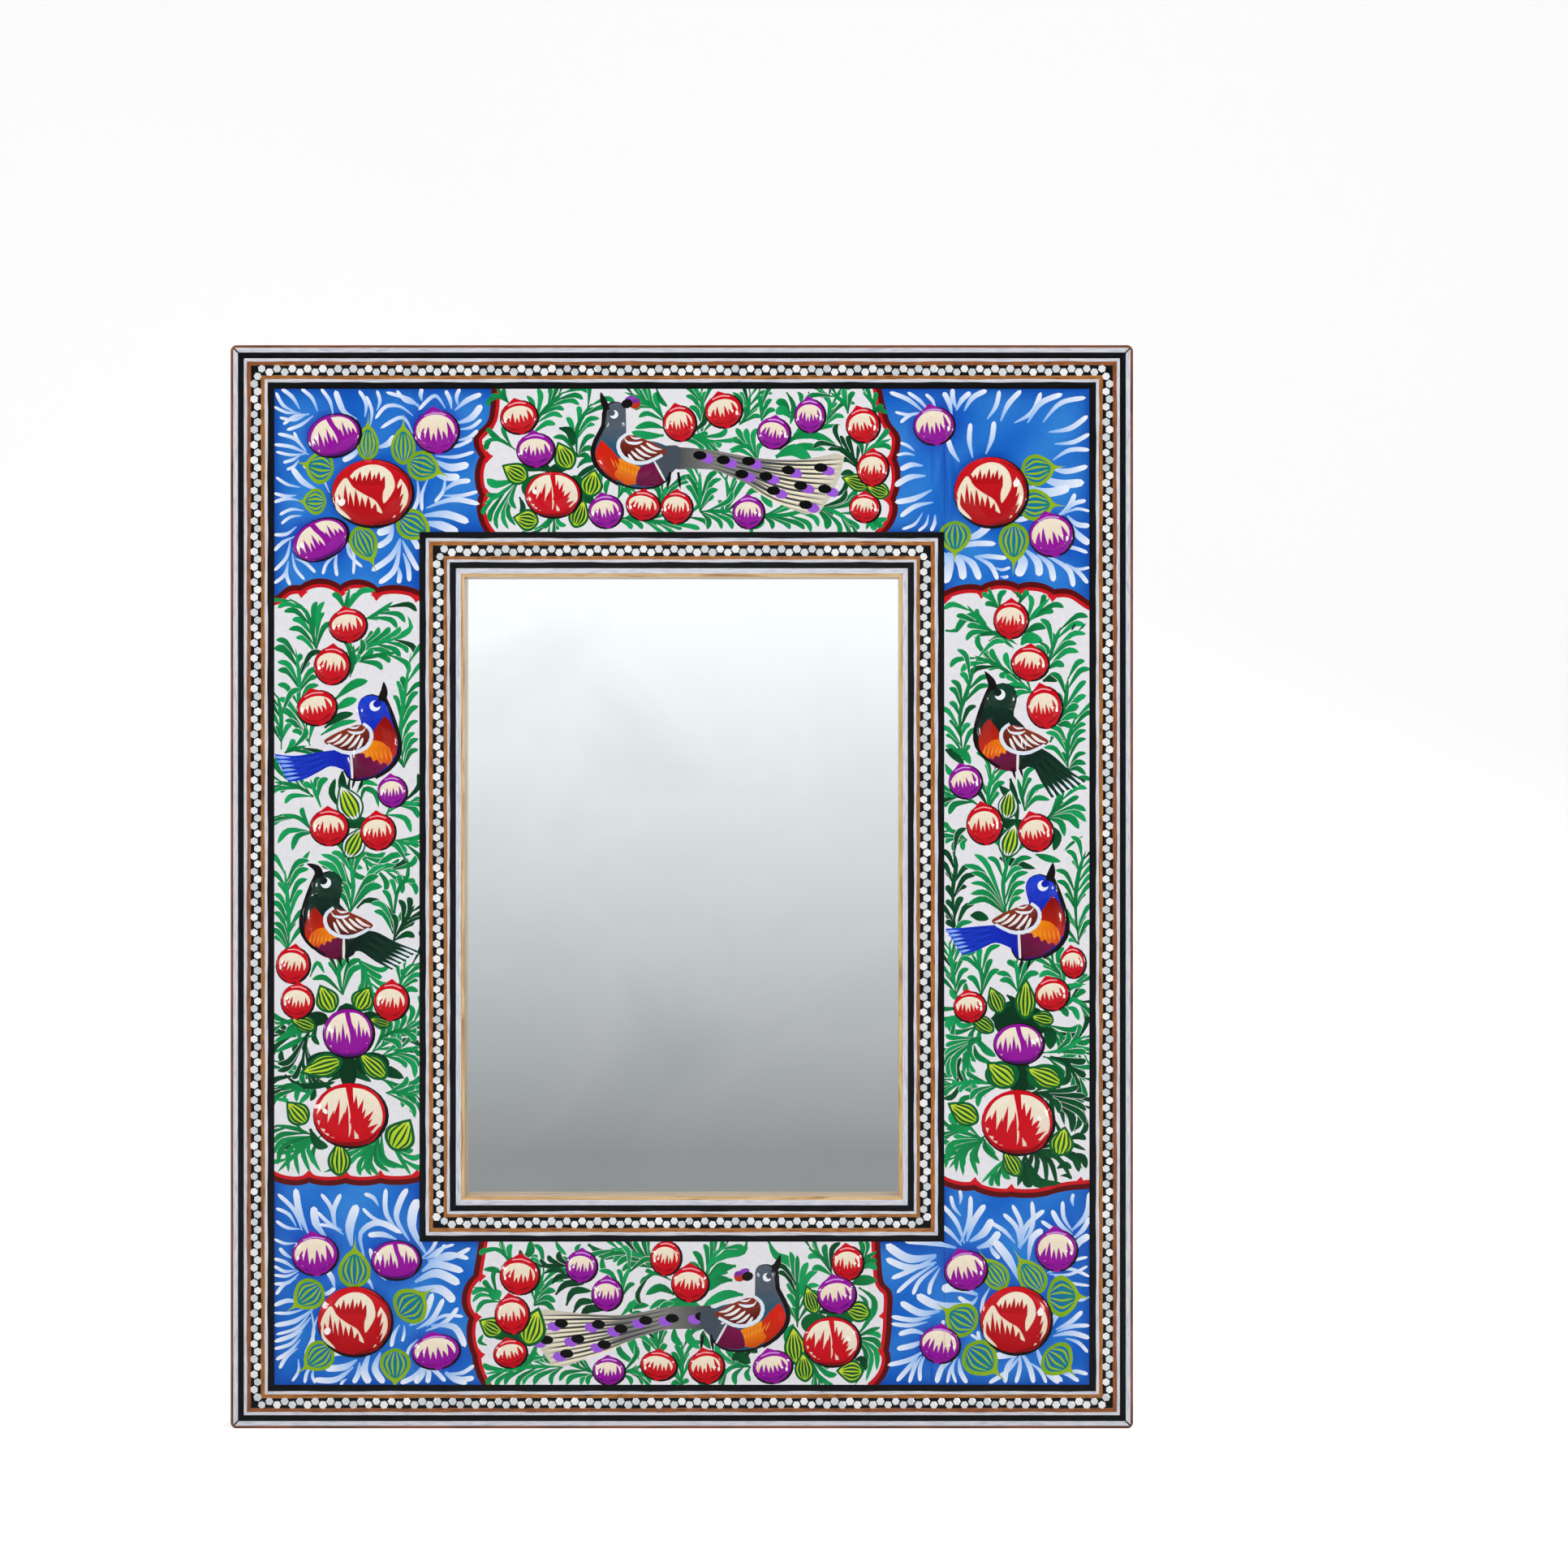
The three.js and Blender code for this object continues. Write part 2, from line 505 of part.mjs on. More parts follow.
// One leaf of the butt hinge, about the axis at y = 0, z = 0. It hangs down from its knuckles.
// `behind` is -1 for the leaf on the board and 1 for the leaf on the strut. Each leaf is notched where
// the other leaf's knuckles turn.
function hingeLeafGeometry(behind, knuckles, notched, rivetSpacing) {
  const face = behind * HINGE_KNUCKLE_RADIUS;
  const inside = face - behind * HINGE_LEAF_THICKNESS;
  const leaf = block(
    -HINGE_WIDTH / 2, HINGE_WIDTH / 2, Math.min(face, inside), Math.max(face, inside), -HINGE_LEAF_LENGTH, 0,
  );
  const barrels = knuckles.map(([from, to]) =>
    pinAlongX(HINGE_KNUCKLE_RADIUS, to - from).translate((from + to) / 2, 0, 0));
  const reach = HINGE_KNUCKLE_RADIUS + OVERCUT;
  const notches = notched.map(([from, to]) => block(from, to, -reach, reach, -HINGE_NOTCH, reach));
  const bore = pinAlongX(HINGE_PIN_RADIUS + HOLE_CLEARANCE, HINGE_WIDTH + 2 * OVERCUT);
  const rivetHoles = [-1, 1].map((right) =>
    pinAlongY(RIVET_SHANK_RADIUS + HOLE_CLEARANCE, 2 * reach)
      .translate((right * rivetSpacing) / 2, -reach, -RIVET_DROP));
  return joinAndCut([leaf, ...barrels], [bore, ...notches, ...rivetHoles]);
}

// A rivet along Y. Its front end is flush, and its flat head lies on the back of the stack that it clamps.
function rivetGeometry(grip) {
  const shank = pinAlongY(RIVET_SHANK_RADIUS, grip + RIVET_HEAD_HEIGHT);
  const head = pinAlongY(RIVET_HEAD_RADIUS, RIVET_HEAD_HEIGHT).translate(0, grip, 0);
  return joinAndCut([shank, head], []);
}

// The strut's top edge stands above the hinge, and stops on the board when the strut is fully open.
const axisToStrut = STRUT_FRONT - HINGE_AXIS;
const axisToBoard = HINGE_AXIS - BACK;
const heelHeight = (axisToStrut * Math.cos(STRUT_OPENING) + axisToBoard - STRUT_STOP_GAP)
  / Math.sin(STRUT_OPENING);

function strutGeometry() {
  const top = heelHeight;
  const foot = STRUT_FOOT_HEIGHT - HINGE_HEIGHT;
  const topHalf = STRUT_TOP_WIDTH / 2;
  const footHalf = STRUT_FOOT_WIDTH / 2;
  const shape = new THREE.Shape();
  shape.moveTo(-footHalf, foot);
  shape.lineTo(footHalf, foot);
  shape.lineTo(topHalf, top - STRUT_CORNER);
  shape.absarc(topHalf - STRUT_CORNER, top - STRUT_CORNER, STRUT_CORNER, 0, Math.PI / 2, false);
  shape.absarc(-topHalf + STRUT_CORNER, top - STRUT_CORNER, STRUT_CORNER, Math.PI / 2, Math.PI, false);
  const body = plate(shape, STRUT_THICKNESS);
  const holes = [-1, 1].map((right) =>
    pinAlongY(RIVET_SHANK_RADIUS + HOLE_CLEARANCE, STRUT_THICKNESS + 2 * OVERCUT)
      .translate((right * STRUT_RIVET_SPACING) / 2, -OVERCUT, -RIVET_DROP));
  return joinAndCut([body], holes);
}

function addStrutAndHinge(parent) {
  const middle = HINGE_MIDDLE_KNUCKLE / 2;
  const half = HINGE_WIDTH / 2;
  const gap = middle + HOLE_CLEARANCE;
  const boardKnuckles = [[-half, -gap], [gap, half]];
  const strutKnuckles = [[-middle, middle]];
  const boardNotches = [[-gap, gap]];
  const strutNotches = [[-half - OVERCUT, -middle], [middle, half + OVERCUT]];
  const boardLeaf = hingeLeafGeometry(-1, boardKnuckles, boardNotches, BOARD_RIVET_SPACING);
  addPart(parent, 'hinge_leaf_board', boardLeaf, steel, 0, HINGE_AXIS, HINGE_HEIGHT);
  const pinHeads = [-1, 1].map((right) =>
    pinAlongX(HINGE_PIN_HEAD_RADIUS, HINGE_PIN_HEAD)
      .translate(right * (half + METAL_GAP + HINGE_PIN_HEAD / 2), 0, 0));
  const pinLength = HINGE_WIDTH + 2 * (METAL_GAP + HINGE_PIN_HEAD / 2);
  const pin = joinAndCut([pinAlongX(HINGE_PIN_RADIUS, pinLength), ...pinHeads], []);
  addPart(parent, 'hinge_pin', pin, steel, 0, HINGE_AXIS, HINGE_HEIGHT);

  // What turns about the hinge: the strut, its leaf and the two rivets through both
  const swinging = new THREE.Group();
  swinging.position.set(0, HINGE_AXIS, HINGE_HEIGHT);
  parent.add(swinging);
  const strutLeaf = hingeLeafGeometry(1, strutKnuckles, strutNotches, STRUT_RIVET_SPACING);
  addPart(swinging, 'hinge_leaf_strut', strutLeaf, steel);
  addPart(swinging, 'easel_strut', strutGeometry(), brownBoard, 0, STRUT_FRONT - HINGE_AXIS, 0);

  const boardGrip = HINGE_AXIS - HINGE_KNUCKLE_RADIUS + HINGE_LEAF_THICKNESS + GLUE_LINE - BOARD_FRONT;
  const leafInside = HINGE_KNUCKLE_RADIUS - HINGE_LEAF_THICKNESS - GLUE_LINE;
  const strutGrip = STRUT_BACK - HINGE_AXIS + GLUE_LINE - leafInside;
  for (const [name, right] of [['left', -1], ['right', 1]]) {
    addPart(parent, `board_rivet_${name}`, rivetGeometry(boardGrip), steel,
      (right * BOARD_RIVET_SPACING) / 2, BOARD_FRONT, HINGE_HEIGHT - RIVET_DROP);
    addPart(swinging, `strut_rivet_${name}`, rivetGeometry(strutGrip), steel,
      (right * STRUT_RIVET_SPACING) / 2, leafInside, -RIVET_DROP);
  }
}

// A wire bent into a closed loop that follows the points in the XZ plane
function closedWire(points, radius) {
  const positions = [];
  const count = points.length;
  for (let i = 0; i < count; i++) {
    const before = points[(i + count - 1) % count];
    const after = points[(i + 1) % count];
    const along = after.clone().sub(before).normalize();
    const sideways = new THREE.Vector2(along.y, -along.x);
    for (let s = 0; s < WIRE_SIDES; s++) {
      const angle = ((s + 0.5) / WIRE_SIDES) * Math.PI * 2;
      const out = points[i].clone().addScaledVector(sideways, radius * Math.cos(angle));
      positions.push(out.x, radius * Math.sin(angle), out.y);
    }
  }
  const faces = [];
  for (let i = 0; i < count; i++) {
    for (let s = 0; s < WIRE_SIDES; s++) {
      const a = i * WIRE_SIDES + s;
      const b = i * WIRE_SIDES + ((s + 1) % WIRE_SIDES);
      const c = ((i + 1) % count) * WIRE_SIDES + s;
      const d = ((i + 1) % count) * WIRE_SIDES + ((s + 1) % WIRE_SIDES);
      faces.push(a, b, d, a, d, c);
    }
  }
  const geometry = new THREE.BufferGeometry();
  geometry.setAttribute('position', new THREE.Float32BufferAttribute(positions, 3));
  geometry.setIndex(faces);
  return geometry;
}

// The ring hangs from its straight bar, which lies on the axis at z = 0.
function hangingRingGeometry() {
  const points = [];
  const arc = (centreX, centreZ, radius, from, to, steps) => {
    for (let i = 0; i <= steps; i++) {
      const angle = from + ((to - from) * i) / steps;
      points.push(new THREE.Vector2(centreX + radius * Math.cos(angle), centreZ + radius * Math.sin(angle)));
    }
  };
  arc(RING_HALF_WIDTH - RING_BEND, -RING_BEND, RING_BEND, Math.PI / 2, 0, RING_BEND_STEPS);
  arc(0, -RING_SIDE, RING_HALF_WIDTH, 0, -Math.PI, RING_ARC_STEPS);
  arc(-RING_HALF_WIDTH + RING_BEND, -RING_BEND, RING_BEND, Math.PI, Math.PI / 2, RING_BEND_STEPS);
  return closedWire(points, RING_WIRE_RADIUS);
}

function addHanger(parent) {
  const wrapRadius = RING_BORE_RADIUS + STRAP_THICKNESS;
  const plateFront = -wrapRadius;
  const strapPlate = block(
    -STRAP_WIDTH / 2, STRAP_WIDTH / 2, plateFront, plateFront + STRAP_THICKNESS, -STRAP_LENGTH, 0,
  );
  const wrap = pinAlongX(wrapRadius, STRAP_WIDTH);
  const bore = pinAlongX(RING_BORE_RADIUS, STRAP_WIDTH + 2 * OVERCUT);
  const screwHole = pinAlongY(SCREW_SHANK_RADIUS + HOLE_CLEARANCE, STRAP_THICKNESS + 2 * OVERCUT)
    .translate(0, plateFront - OVERCUT, -STRAP_SCREW_DROP);
  addPart(parent, 'hanger_strap', joinAndCut([strapPlate, wrap], [bore, screwHole]), brass,
    0, RING_AXIS, RING_HEIGHT);
  addPart(parent, 'hanging_ring', hangingRingGeometry(), brass, 0, RING_AXIS, RING_HEIGHT);
  const seat = RING_AXIS + plateFront + STRAP_THICKNESS + METAL_GAP;
  addPart(parent, 'hanger_screw', screwGeometry(seat - BACK), brass, 0, seat, hangerScrewHeight);
}

addRails(mirrorFrame);
addCornerNails(mirrorFrame);
addFacing(mirrorFrame);
addPaintedPanels(mirrorFrame);
addGlassAndBoard(mirrorFrame);
addTurnButtons(mirrorFrame);
addStrutAndHinge(mirrorFrame);
addHanger(mirrorFrame);

// The origin is at the bottom centre of the whole object, halfway through its depth.
mirrorFrame.position.y = (RELIEF_HEIGHT - REARMOST) / 2;

export default mirrorFrame;
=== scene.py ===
import math
import random

import bpy
import numpy as np
from mathutils.geometry import delaunay_2d_cdt
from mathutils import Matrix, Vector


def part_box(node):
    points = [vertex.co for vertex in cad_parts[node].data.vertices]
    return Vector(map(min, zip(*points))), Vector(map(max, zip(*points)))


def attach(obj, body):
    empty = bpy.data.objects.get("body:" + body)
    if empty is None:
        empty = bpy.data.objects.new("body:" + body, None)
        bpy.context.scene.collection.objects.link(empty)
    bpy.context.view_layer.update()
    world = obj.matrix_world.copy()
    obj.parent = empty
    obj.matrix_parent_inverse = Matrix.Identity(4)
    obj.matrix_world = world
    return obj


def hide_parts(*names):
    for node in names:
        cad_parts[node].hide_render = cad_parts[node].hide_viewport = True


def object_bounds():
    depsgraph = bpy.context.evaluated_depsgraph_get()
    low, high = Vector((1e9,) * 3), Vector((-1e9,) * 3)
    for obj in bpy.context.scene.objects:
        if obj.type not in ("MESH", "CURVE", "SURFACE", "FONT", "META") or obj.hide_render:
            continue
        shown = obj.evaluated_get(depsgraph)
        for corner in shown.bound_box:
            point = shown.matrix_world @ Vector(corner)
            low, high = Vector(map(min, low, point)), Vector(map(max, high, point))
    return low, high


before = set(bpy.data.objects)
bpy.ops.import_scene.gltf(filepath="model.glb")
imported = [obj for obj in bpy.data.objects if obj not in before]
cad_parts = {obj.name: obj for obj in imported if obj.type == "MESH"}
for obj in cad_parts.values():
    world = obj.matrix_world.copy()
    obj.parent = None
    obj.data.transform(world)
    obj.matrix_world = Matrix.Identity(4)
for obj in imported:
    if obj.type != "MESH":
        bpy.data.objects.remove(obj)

# The inlaid wooden mirror, in metres. X runs right, Z up, and its face looks along -Y.
# The sections below follow the frame as it is put together, from the rails to the hanging ring.
MM = 0.001
SIDES = ("top", "left", "bottom", "right")
cad_low, cad_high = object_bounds()


# Camera: level and square to the mirror's face, a little right of its middle and above it,
# at the distance from which a hand mirror of this size is photographed.
CAMERA_PLACE = (0.0283, -1.2107, 0.1793)
SENSOR_WIDTH, FOCAL_LENGTH = 36, 99.45
camera = bpy.data.objects.new("camera", bpy.data.cameras.new("camera"))
bpy.context.collection.objects.link(camera)
camera.location = CAMERA_PLACE
camera.rotation_euler = (math.radians(90), 0, 0)
camera.data.sensor_width = SENSOR_WIDTH
camera.data.lens = FOCAL_LENGTH
bpy.context.scene.camera = camera
bpy.context.scene.view_settings.view_transform = "Standard"


# Studio: a pale floor that runs up into a backdrop, two small soft boxes left and right, and large
# soft lights above and behind. A graded card in front, which the camera can't see, shows in the glass.
FLOOR_COLOUR = (0.6, 0.6, 0.605, 1)
PAPER_LIFT = 0.7
SWEEP_HALF_WIDTH = 3.0
SWEEP_FRONT, SWEEP_BACK, SWEEP_HEIGHT, SWEEP_BEND = -2.6, 1.6, 2.4, 0.5
SWEEP_STEPS = 12


def mesh_object(name, vertices, faces, materials=(), edges=()):
    """A new object in the scene that holds these vertices and faces."""
    mesh = bpy.data.meshes.new(name)
    mesh.from_pydata(vertices, edges, faces)
    for material in materials:
        mesh.materials.append(material)
    made = bpy.data.objects.new(name, mesh)
    bpy.context.collection.objects.link(made)
    return made


def feed(tree, node, inputs):
    """Gives each named input of a node a value, or a link from another node's output."""
    for socket, value in inputs.items():
        if isinstance(value, bpy.types.NodeSocket):
            tree.links.new(value, node.inputs[socket])
        else:
            node.inputs[socket].default_value = value


def add_node(tree, kind, inputs={}, **settings):
    """A new node in a tree, with its settings and its inputs."""
    made = tree.nodes.new(kind)
    for setting, value in settings.items():
        setattr(made, setting, value)
    feed(tree, made, inputs)
    return made


def new_surface(name, sockets):
    """A material with a principled shader, whose constant values are set on its own sockets."""
    material = bpy.data.materials.new(name)
    material.use_nodes = True
    shader = material.node_tree.nodes["Principled BSDF"]
    feed(material.node_tree, shader, sockets)
    return material, material.node_tree, shader


sweep_line = [(SWEEP_FRONT, 0)]
for step in range(SWEEP_STEPS + 1):
    angle = math.radians(90) * step / SWEEP_STEPS
    sweep_line.append((
        SWEEP_BACK - SWEEP_BEND + SWEEP_BEND * math.sin(angle),
        SWEEP_BEND - SWEEP_BEND * math.cos(angle),
    ))
sweep_line.append((SWEEP_BACK, SWEEP_HEIGHT))
sweep_points = [(x, y, z) for y, z in sweep_line for x in (-SWEEP_HALF_WIDTH, SWEEP_HALF_WIDTH)]
sweep_faces = [(2 * i, 2 * i + 1, 2 * i + 3, 2 * i + 2) for i in range(len(sweep_line) - 1)]
studio_paper, paper_tree, paper_shader = new_surface("studio paper", {
    "Base Color": FLOOR_COLOUR, "Roughness": 0.9, "Emission Color": (1, 1, 1, 1),
})
seen = add_node(paper_tree, "ShaderNodeLightPath").outputs["Is Camera Ray"]
paper_lift = add_node(paper_tree, "ShaderNodeMapRange", {"Value": seen, "To Min": 0.0, "To Max": PAPER_LIFT})
feed(paper_tree, paper_shader, {"Emission Strength": paper_lift.outputs[0]})
backdrop = mesh_object("backdrop", sweep_points, sweep_faces, [studio_paper])
for polygon in backdrop.data.polygons:
    polygon.use_smooth = True

CARD_LEFT, CARD_RIGHT, CARD_LOW, CARD_HIGH, CARD_PLACE = -0.108, 0.084, 0.001, 0.272, -0.55
GRADE_LOW, GRADE_HIGH, DIM_END, BRIGHT_END = 0.0279, 0.253, 0.344, 1.2
card_ends = [(CARD_LEFT, CARD_LOW), (CARD_RIGHT, CARD_LOW), (CARD_RIGHT, CARD_HIGH), (CARD_LEFT, CARD_HIGH)]
reflection_card = mesh_object(
    "reflection_card", [(x, CARD_PLACE, z) for x, z in card_ends], [(3, 2, 1, 0)]
)
card_material = bpy.data.materials.new("graded card")
card_material.use_nodes = True
card_tree = card_material.node_tree
card_tree.nodes.remove(card_tree.nodes["Principled BSDF"])
card_place = add_node(card_tree, "ShaderNodeTexCoord").outputs["Object"]
card_grade = add_node(card_tree, "ShaderNodeMapRange", {
    "Value": add_node(card_tree, "ShaderNodeSeparateXYZ", {0: card_place}).outputs["Z"],
    "From Min": GRADE_LOW, "From Max": GRADE_HIGH, "To Min": DIM_END, "To Max": BRIGHT_END,
})
card_glow = add_node(card_tree, "ShaderNodeEmission", {
    "Color": (0.97, 0.985, 1, 1), "Strength": card_grade.outputs[0],
})
feed(card_tree, card_tree.nodes["Material Output"], {"Surface": card_glow.outputs[0]})
reflection_card.data.materials.append(card_material)
for sight in ("visible_camera", "visible_diffuse", "visible_transmission", "visible_shadow"):
    setattr(reflection_card, sight, False)


LIGHT_LEVEL = 0.475
ROOM_LEVEL = 0.55
GLOSSY_DIMMING = 0.16
face_middle = (cad_low + cad_high) / 2
face_middle.y = cad_low.y
for name, place, width, height, power in (
    ("left_soft_box", (-0.62, -0.95, 0.17), 0.12, 0.12, 7),
    ("right_soft_box", (0.62, -0.95, 0.17), 0.12, 0.12, 7),
    ("top_soft_box", (0, -0.7, 1.3), 0.9, 0.6, 14),
    ("back_soft_box", (0.5, 1.0, 0.9), 0.8, 0.6, 14),
):
    lamp = bpy.data.objects.new(name, bpy.data.lights.new(name, "AREA"))
    bpy.context.collection.objects.link(lamp)
    lamp.data.shape = "RECTANGLE"
    lamp.data.size, lamp.data.size_y = width, height
    lamp.data.energy = power * LIGHT_LEVEL
    lamp.location = place
    lamp.rotation_euler = (face_middle - lamp.location).to_track_quat("-Z", "Y").to_euler()

world = bpy.context.scene.world or bpy.data.worlds.new("studio")
bpy.context.scene.world = world
world.use_nodes = True
room = world.node_tree
ray = add_node(room, "ShaderNodeLightPath").outputs
sees_white = add_node(room, "ShaderNodeMapRange", {
    "Value": ray["Is Camera Ray"], "To Min": ROOM_LEVEL * LIGHT_LEVEL, "To Max": 1.0,
})
dimmed = add_node(room, "ShaderNodeMath", {
    0: ray["Is Glossy Ray"], 1: -GLOSSY_DIMMING, 2: sees_white.outputs[0],
}, operation="MULTIPLY_ADD")
feed(room, room.nodes["Background"], {"Color": (0.96, 0.98, 1, 1), "Strength": dimmed.outputs[0]})


# Rails: four lengths of pale golden beech with mitred corners, rebated at the back for the glass.
# Only their rounded nose shows from the front, as a thin golden line round the glass.
RAIL_LIGHT, RAIL_MIDDLE, RAIL_DARK = "e2bf88", "cfa166", "a3753e"
GRAIN_DEPTH = 2e-5
ALONG_X, ALONG_Z = (60, 900, 900), (900, 900, 60)


def linear(pigment):
    """A colour written as six sRGB hex digits, as the linear numbers that the shaders take."""
    parts = [int(pigment[i:i + 2], 16) / 255 for i in (0, 2, 4)]
    return tuple(p / 12.92 if p <= 0.04045 else ((p + 0.055) / 1.055) ** 2.4 for p in parts)


def pattern_place(tree, stretch, uv_map=None):
    """Where a pattern lies, stretched: in Object coordinates or on the piece's UV map."""
    if uv_map:
        source = add_node(tree, "ShaderNodeUVMap", uv_map=uv_map).outputs["UV"]
    else:
        source = add_node(tree, "ShaderNodeTexCoord").outputs["Object"]
    return add_node(tree, "ShaderNodeMapping", {"Scale": stretch, "Vector": source}).outputs[0]


def grained(name, colours, stretch, sockets, uv_map=None, detail=6, distortion=0.6, bump=0.1):
    """Streaks or mottling: noise on stretched coordinates picks the colour and lifts the surface."""
    material, tree, shader = new_surface(name, sockets)
    noise = add_node(tree, "ShaderNodeTexNoise", {
        "Scale": 1, "Detail": detail, "Distortion": distortion,
        "Vector": pattern_place(tree, stretch, uv_map),
    }).outputs["Fac"]
    ramp = add_node(tree, "ShaderNodeValToRGB", {"Fac": noise})
    stops = ramp.color_ramp.elements
    while len(stops) < len(colours):
        stops.new(0.5)
    for i, colour in enumerate(colours):
        stops[i].position = 0.3 + 0.4 * i / (len(colours) - 1)
        stops[i].color = (*linear(colour), 1)
    relief = add_node(tree, "ShaderNodeBump", {"Strength": bump, "Distance": GRAIN_DEPTH, "Height": noise})
    feed(tree, shader, {"Base Color": ramp.outputs["Color"], "Normal": relief.outputs["Normal"]})
    return material


def dress(node, material):
    """Gives a node of the frame its finish."""
    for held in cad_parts[node].material_slots:
        held.material = material


rail_colours = (RAIL_DARK, RAIL_MIDDLE, RAIL_LIGHT, RAIL_MIDDLE)
rail_sockets = {"Roughness": 0.42, "Coat Weight": 0.35, "Coat Roughness": 0.12}
level_beech = grained("beech_level", rail_colours, ALONG_X, rail_sockets)
upright_beech = grained("beech_upright", rail_colours, ALONG_Z, rail_sockets)
for side in SIDES:
    dress(f"rail_{side}", level_beech if side in ("top", "bottom") else upright_beech)


# Corner nails: wavy steel fasteners, a little rusty. One is hammered in across each mitre at the
# back, once the rails are glued, and it holds the joint together.
steel_sockets = {"Roughness": 0.38, "Metallic": 1.0}
nail_steel = grained(
    "nail_steel", ("6b6660", "9a9894", "7f6a58"), (700, 700, 700), steel_sockets, bump=0.3
)
for height in ("top", "bottom"):
    for hand in ("left", "right"):
        dress(f"corner_nail_{height}_{hand}", nail_steel)


# Side veneers: thin strips of brown-stained wood, glued round the outer edge of the rails and
# varnished, one strip to a side.
veneer_colours = ("4a2411", "70391b", "8a4c25", "5d2f16")
veneer_sockets = {"Roughness": 0.3, "Coat Weight": 0.6, "Coat Roughness": 0.08}
level_veneer = grained("veneer_level", veneer_colours, ALONG_X, veneer_sockets)
upright_veneer = grained("veneer_upright", veneer_colours, ALONG_Z, veneer_sockets)
for side in SIDES:
    dress(f"side_veneer_{side}", level_veneer if side in ("top", "bottom") else upright_veneer)


# Plain laths: the white edging, the black lath inside it and the white lip lath round the glass.
# They are thin strips of bone and ebony with mitred ends, polished flush after gluing.
LATH_STATION = 4 * MM
LATH_EASE = 0.09 * MM
LATH_GROOVE = 0.05 * MM
LATH_WAVE = 0.07 * MM

bone_sockets = {"Roughness": 0.24, "Specular IOR Level": 0.3, "Coat Weight": 0.35, "Coat Roughness": 0.08}
bone = grained(
    "bone", ("b4b6c4", "d3d4dd", "e2e3e8"), (220, 2600, 1), bone_sockets, uv_map="lath", bump=0.15
)
ebony_sockets = {"Roughness": 0.32, "Specular IOR Level": 0.1, "Coat Weight": 0.15, "Coat Roughness": 0.1}
ebony = grained(
    "ebony", ("050607", "0c0d10", "16171b"), (160, 2200, 1), ebony_sockets, uv_map="lath", bump=0.15
)


def ring_side(kind, side):
    """Where a side of a ring of laths lies: its outer half length, its width and its planes."""
    low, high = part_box(f"{kind}_{side}")
    if side in ("top", "bottom"):
        return (high.x - low.x) / 2, high.z - low.z, low.y, high.y
    return (high.z - low.z) / 2, high.x - low.x, low.y, high.y


def on_side(kind, side):
    """Turns (along, in from the outer edge) on a side of a ring into x and z."""
    low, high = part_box(f"{kind}_{side}")
    middle_x, middle_z = (low.x + high.x) / 2, (low.z + high.z) / 2
    return {
        "bottom": lambda t, u: (middle_x + t, low.z + u),
        "right": lambda t, u: (high.x - u, middle_z + t),
        "top": lambda t, u: (middle_x - t, high.z - u),
        "left": lambda t, u: (low.x + u, middle_z - t),
    }[side]


def sway(line, side, t, half):
    """How far a glue line wanders at a place along the side; it runs true at both mitres."""
    phase = 1.7 * line + 2.3 * SIDES.index(side)
    wander = math.sin(t * 210 + phase) + 0.6 * math.sin(t * 517 + 2.1 * phase)
    return LATH_WAVE * wander * min(1, (half - abs(t)) / (8 * MM))


def lay_laths(kind, widths, materials, backing):
    """Makes the four sides of a ring of laths, each a bundle of strips glued edge to edge."""
    for side in SIDES:
        half, width, front, back = ring_side(kind, side)
        place = on_side(kind, side)
        lines = [width * sum(widths[:i]) / sum(widths) for i in range(len(widths) + 1)]
        stations = round(2 * half / LATH_STATION)
        vertices, seams = [], []
        for j in range(stations + 1):
            share = 2 * j / stations - 1
            loop = []
            for i, line in enumerate(lines):
                inner = 0 < i < len(widths)
                line += sway(i, side, share * half, half) if inner else 0
                if i > 0:
                    loop.append((line - LATH_EASE, 0))
                loop.append((line, LATH_GROOVE))
                if i < len(widths):
                    loop.append((line + LATH_EASE, 0))
            loop += [(lines[-1], back - front), (0, back - front)]
            for u, depth in loop:
                t = share * (half - u)
                x, z = place(t, u)
                vertices.append((x, front + depth, z))
                seams.append((t, u))
        ring = len(loop)
        faces, finishes = [], []
        for j in range(stations):
            for k in range(ring):
                after = (k + 1) % ring
                a, b = j * ring, (j + 1) * ring
                faces.append((a + k, b + k, b + after, a + after))
                finishes.append(k // 3 if k < 3 * len(widths) else len(widths))
        faces.append(tuple(range(ring)))
        faces.append(tuple(range(stations * ring + ring - 1, stations * ring - 1, -1)))
        finishes += [len(widths)] * 2
        laths = mesh_object(f"{kind}_{side}_laths", vertices, faces, (*materials, backing))
        layout = laths.data.uv_layers.new(name="lath")
        for polygon, finish in zip(laths.data.polygons, finishes):
            polygon.material_index = finish
            for corner in polygon.loop_indices:
                layout.data[corner].uv = seams[laths.data.loops[corner].vertex_index]
        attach(laths, "frame")
        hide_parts(f"{kind}_{side}")


lay_laths("white_edging", (1,), (bone,), bone)
lay_laths("black_lath", (1,), (ebony,), ebony)
lay_laths("white_lip_lath", (1,), (bone,), bone)


# Inlay strips: laths of bone, ebony and brown or orange wood, glued edge to edge and laid round
# the frame with mitred corners, in an outer and an inner ring. The middle lath carries hexagons.
OUTER_LATH_WIDTHS = (0.85, 1.12, 2.74, 1.06, 0.83, 1.85)
INNER_LATH_WIDTHS = (1.75, 0.9, 1.1, 2.97, 0.94, 0.75, 1.69)

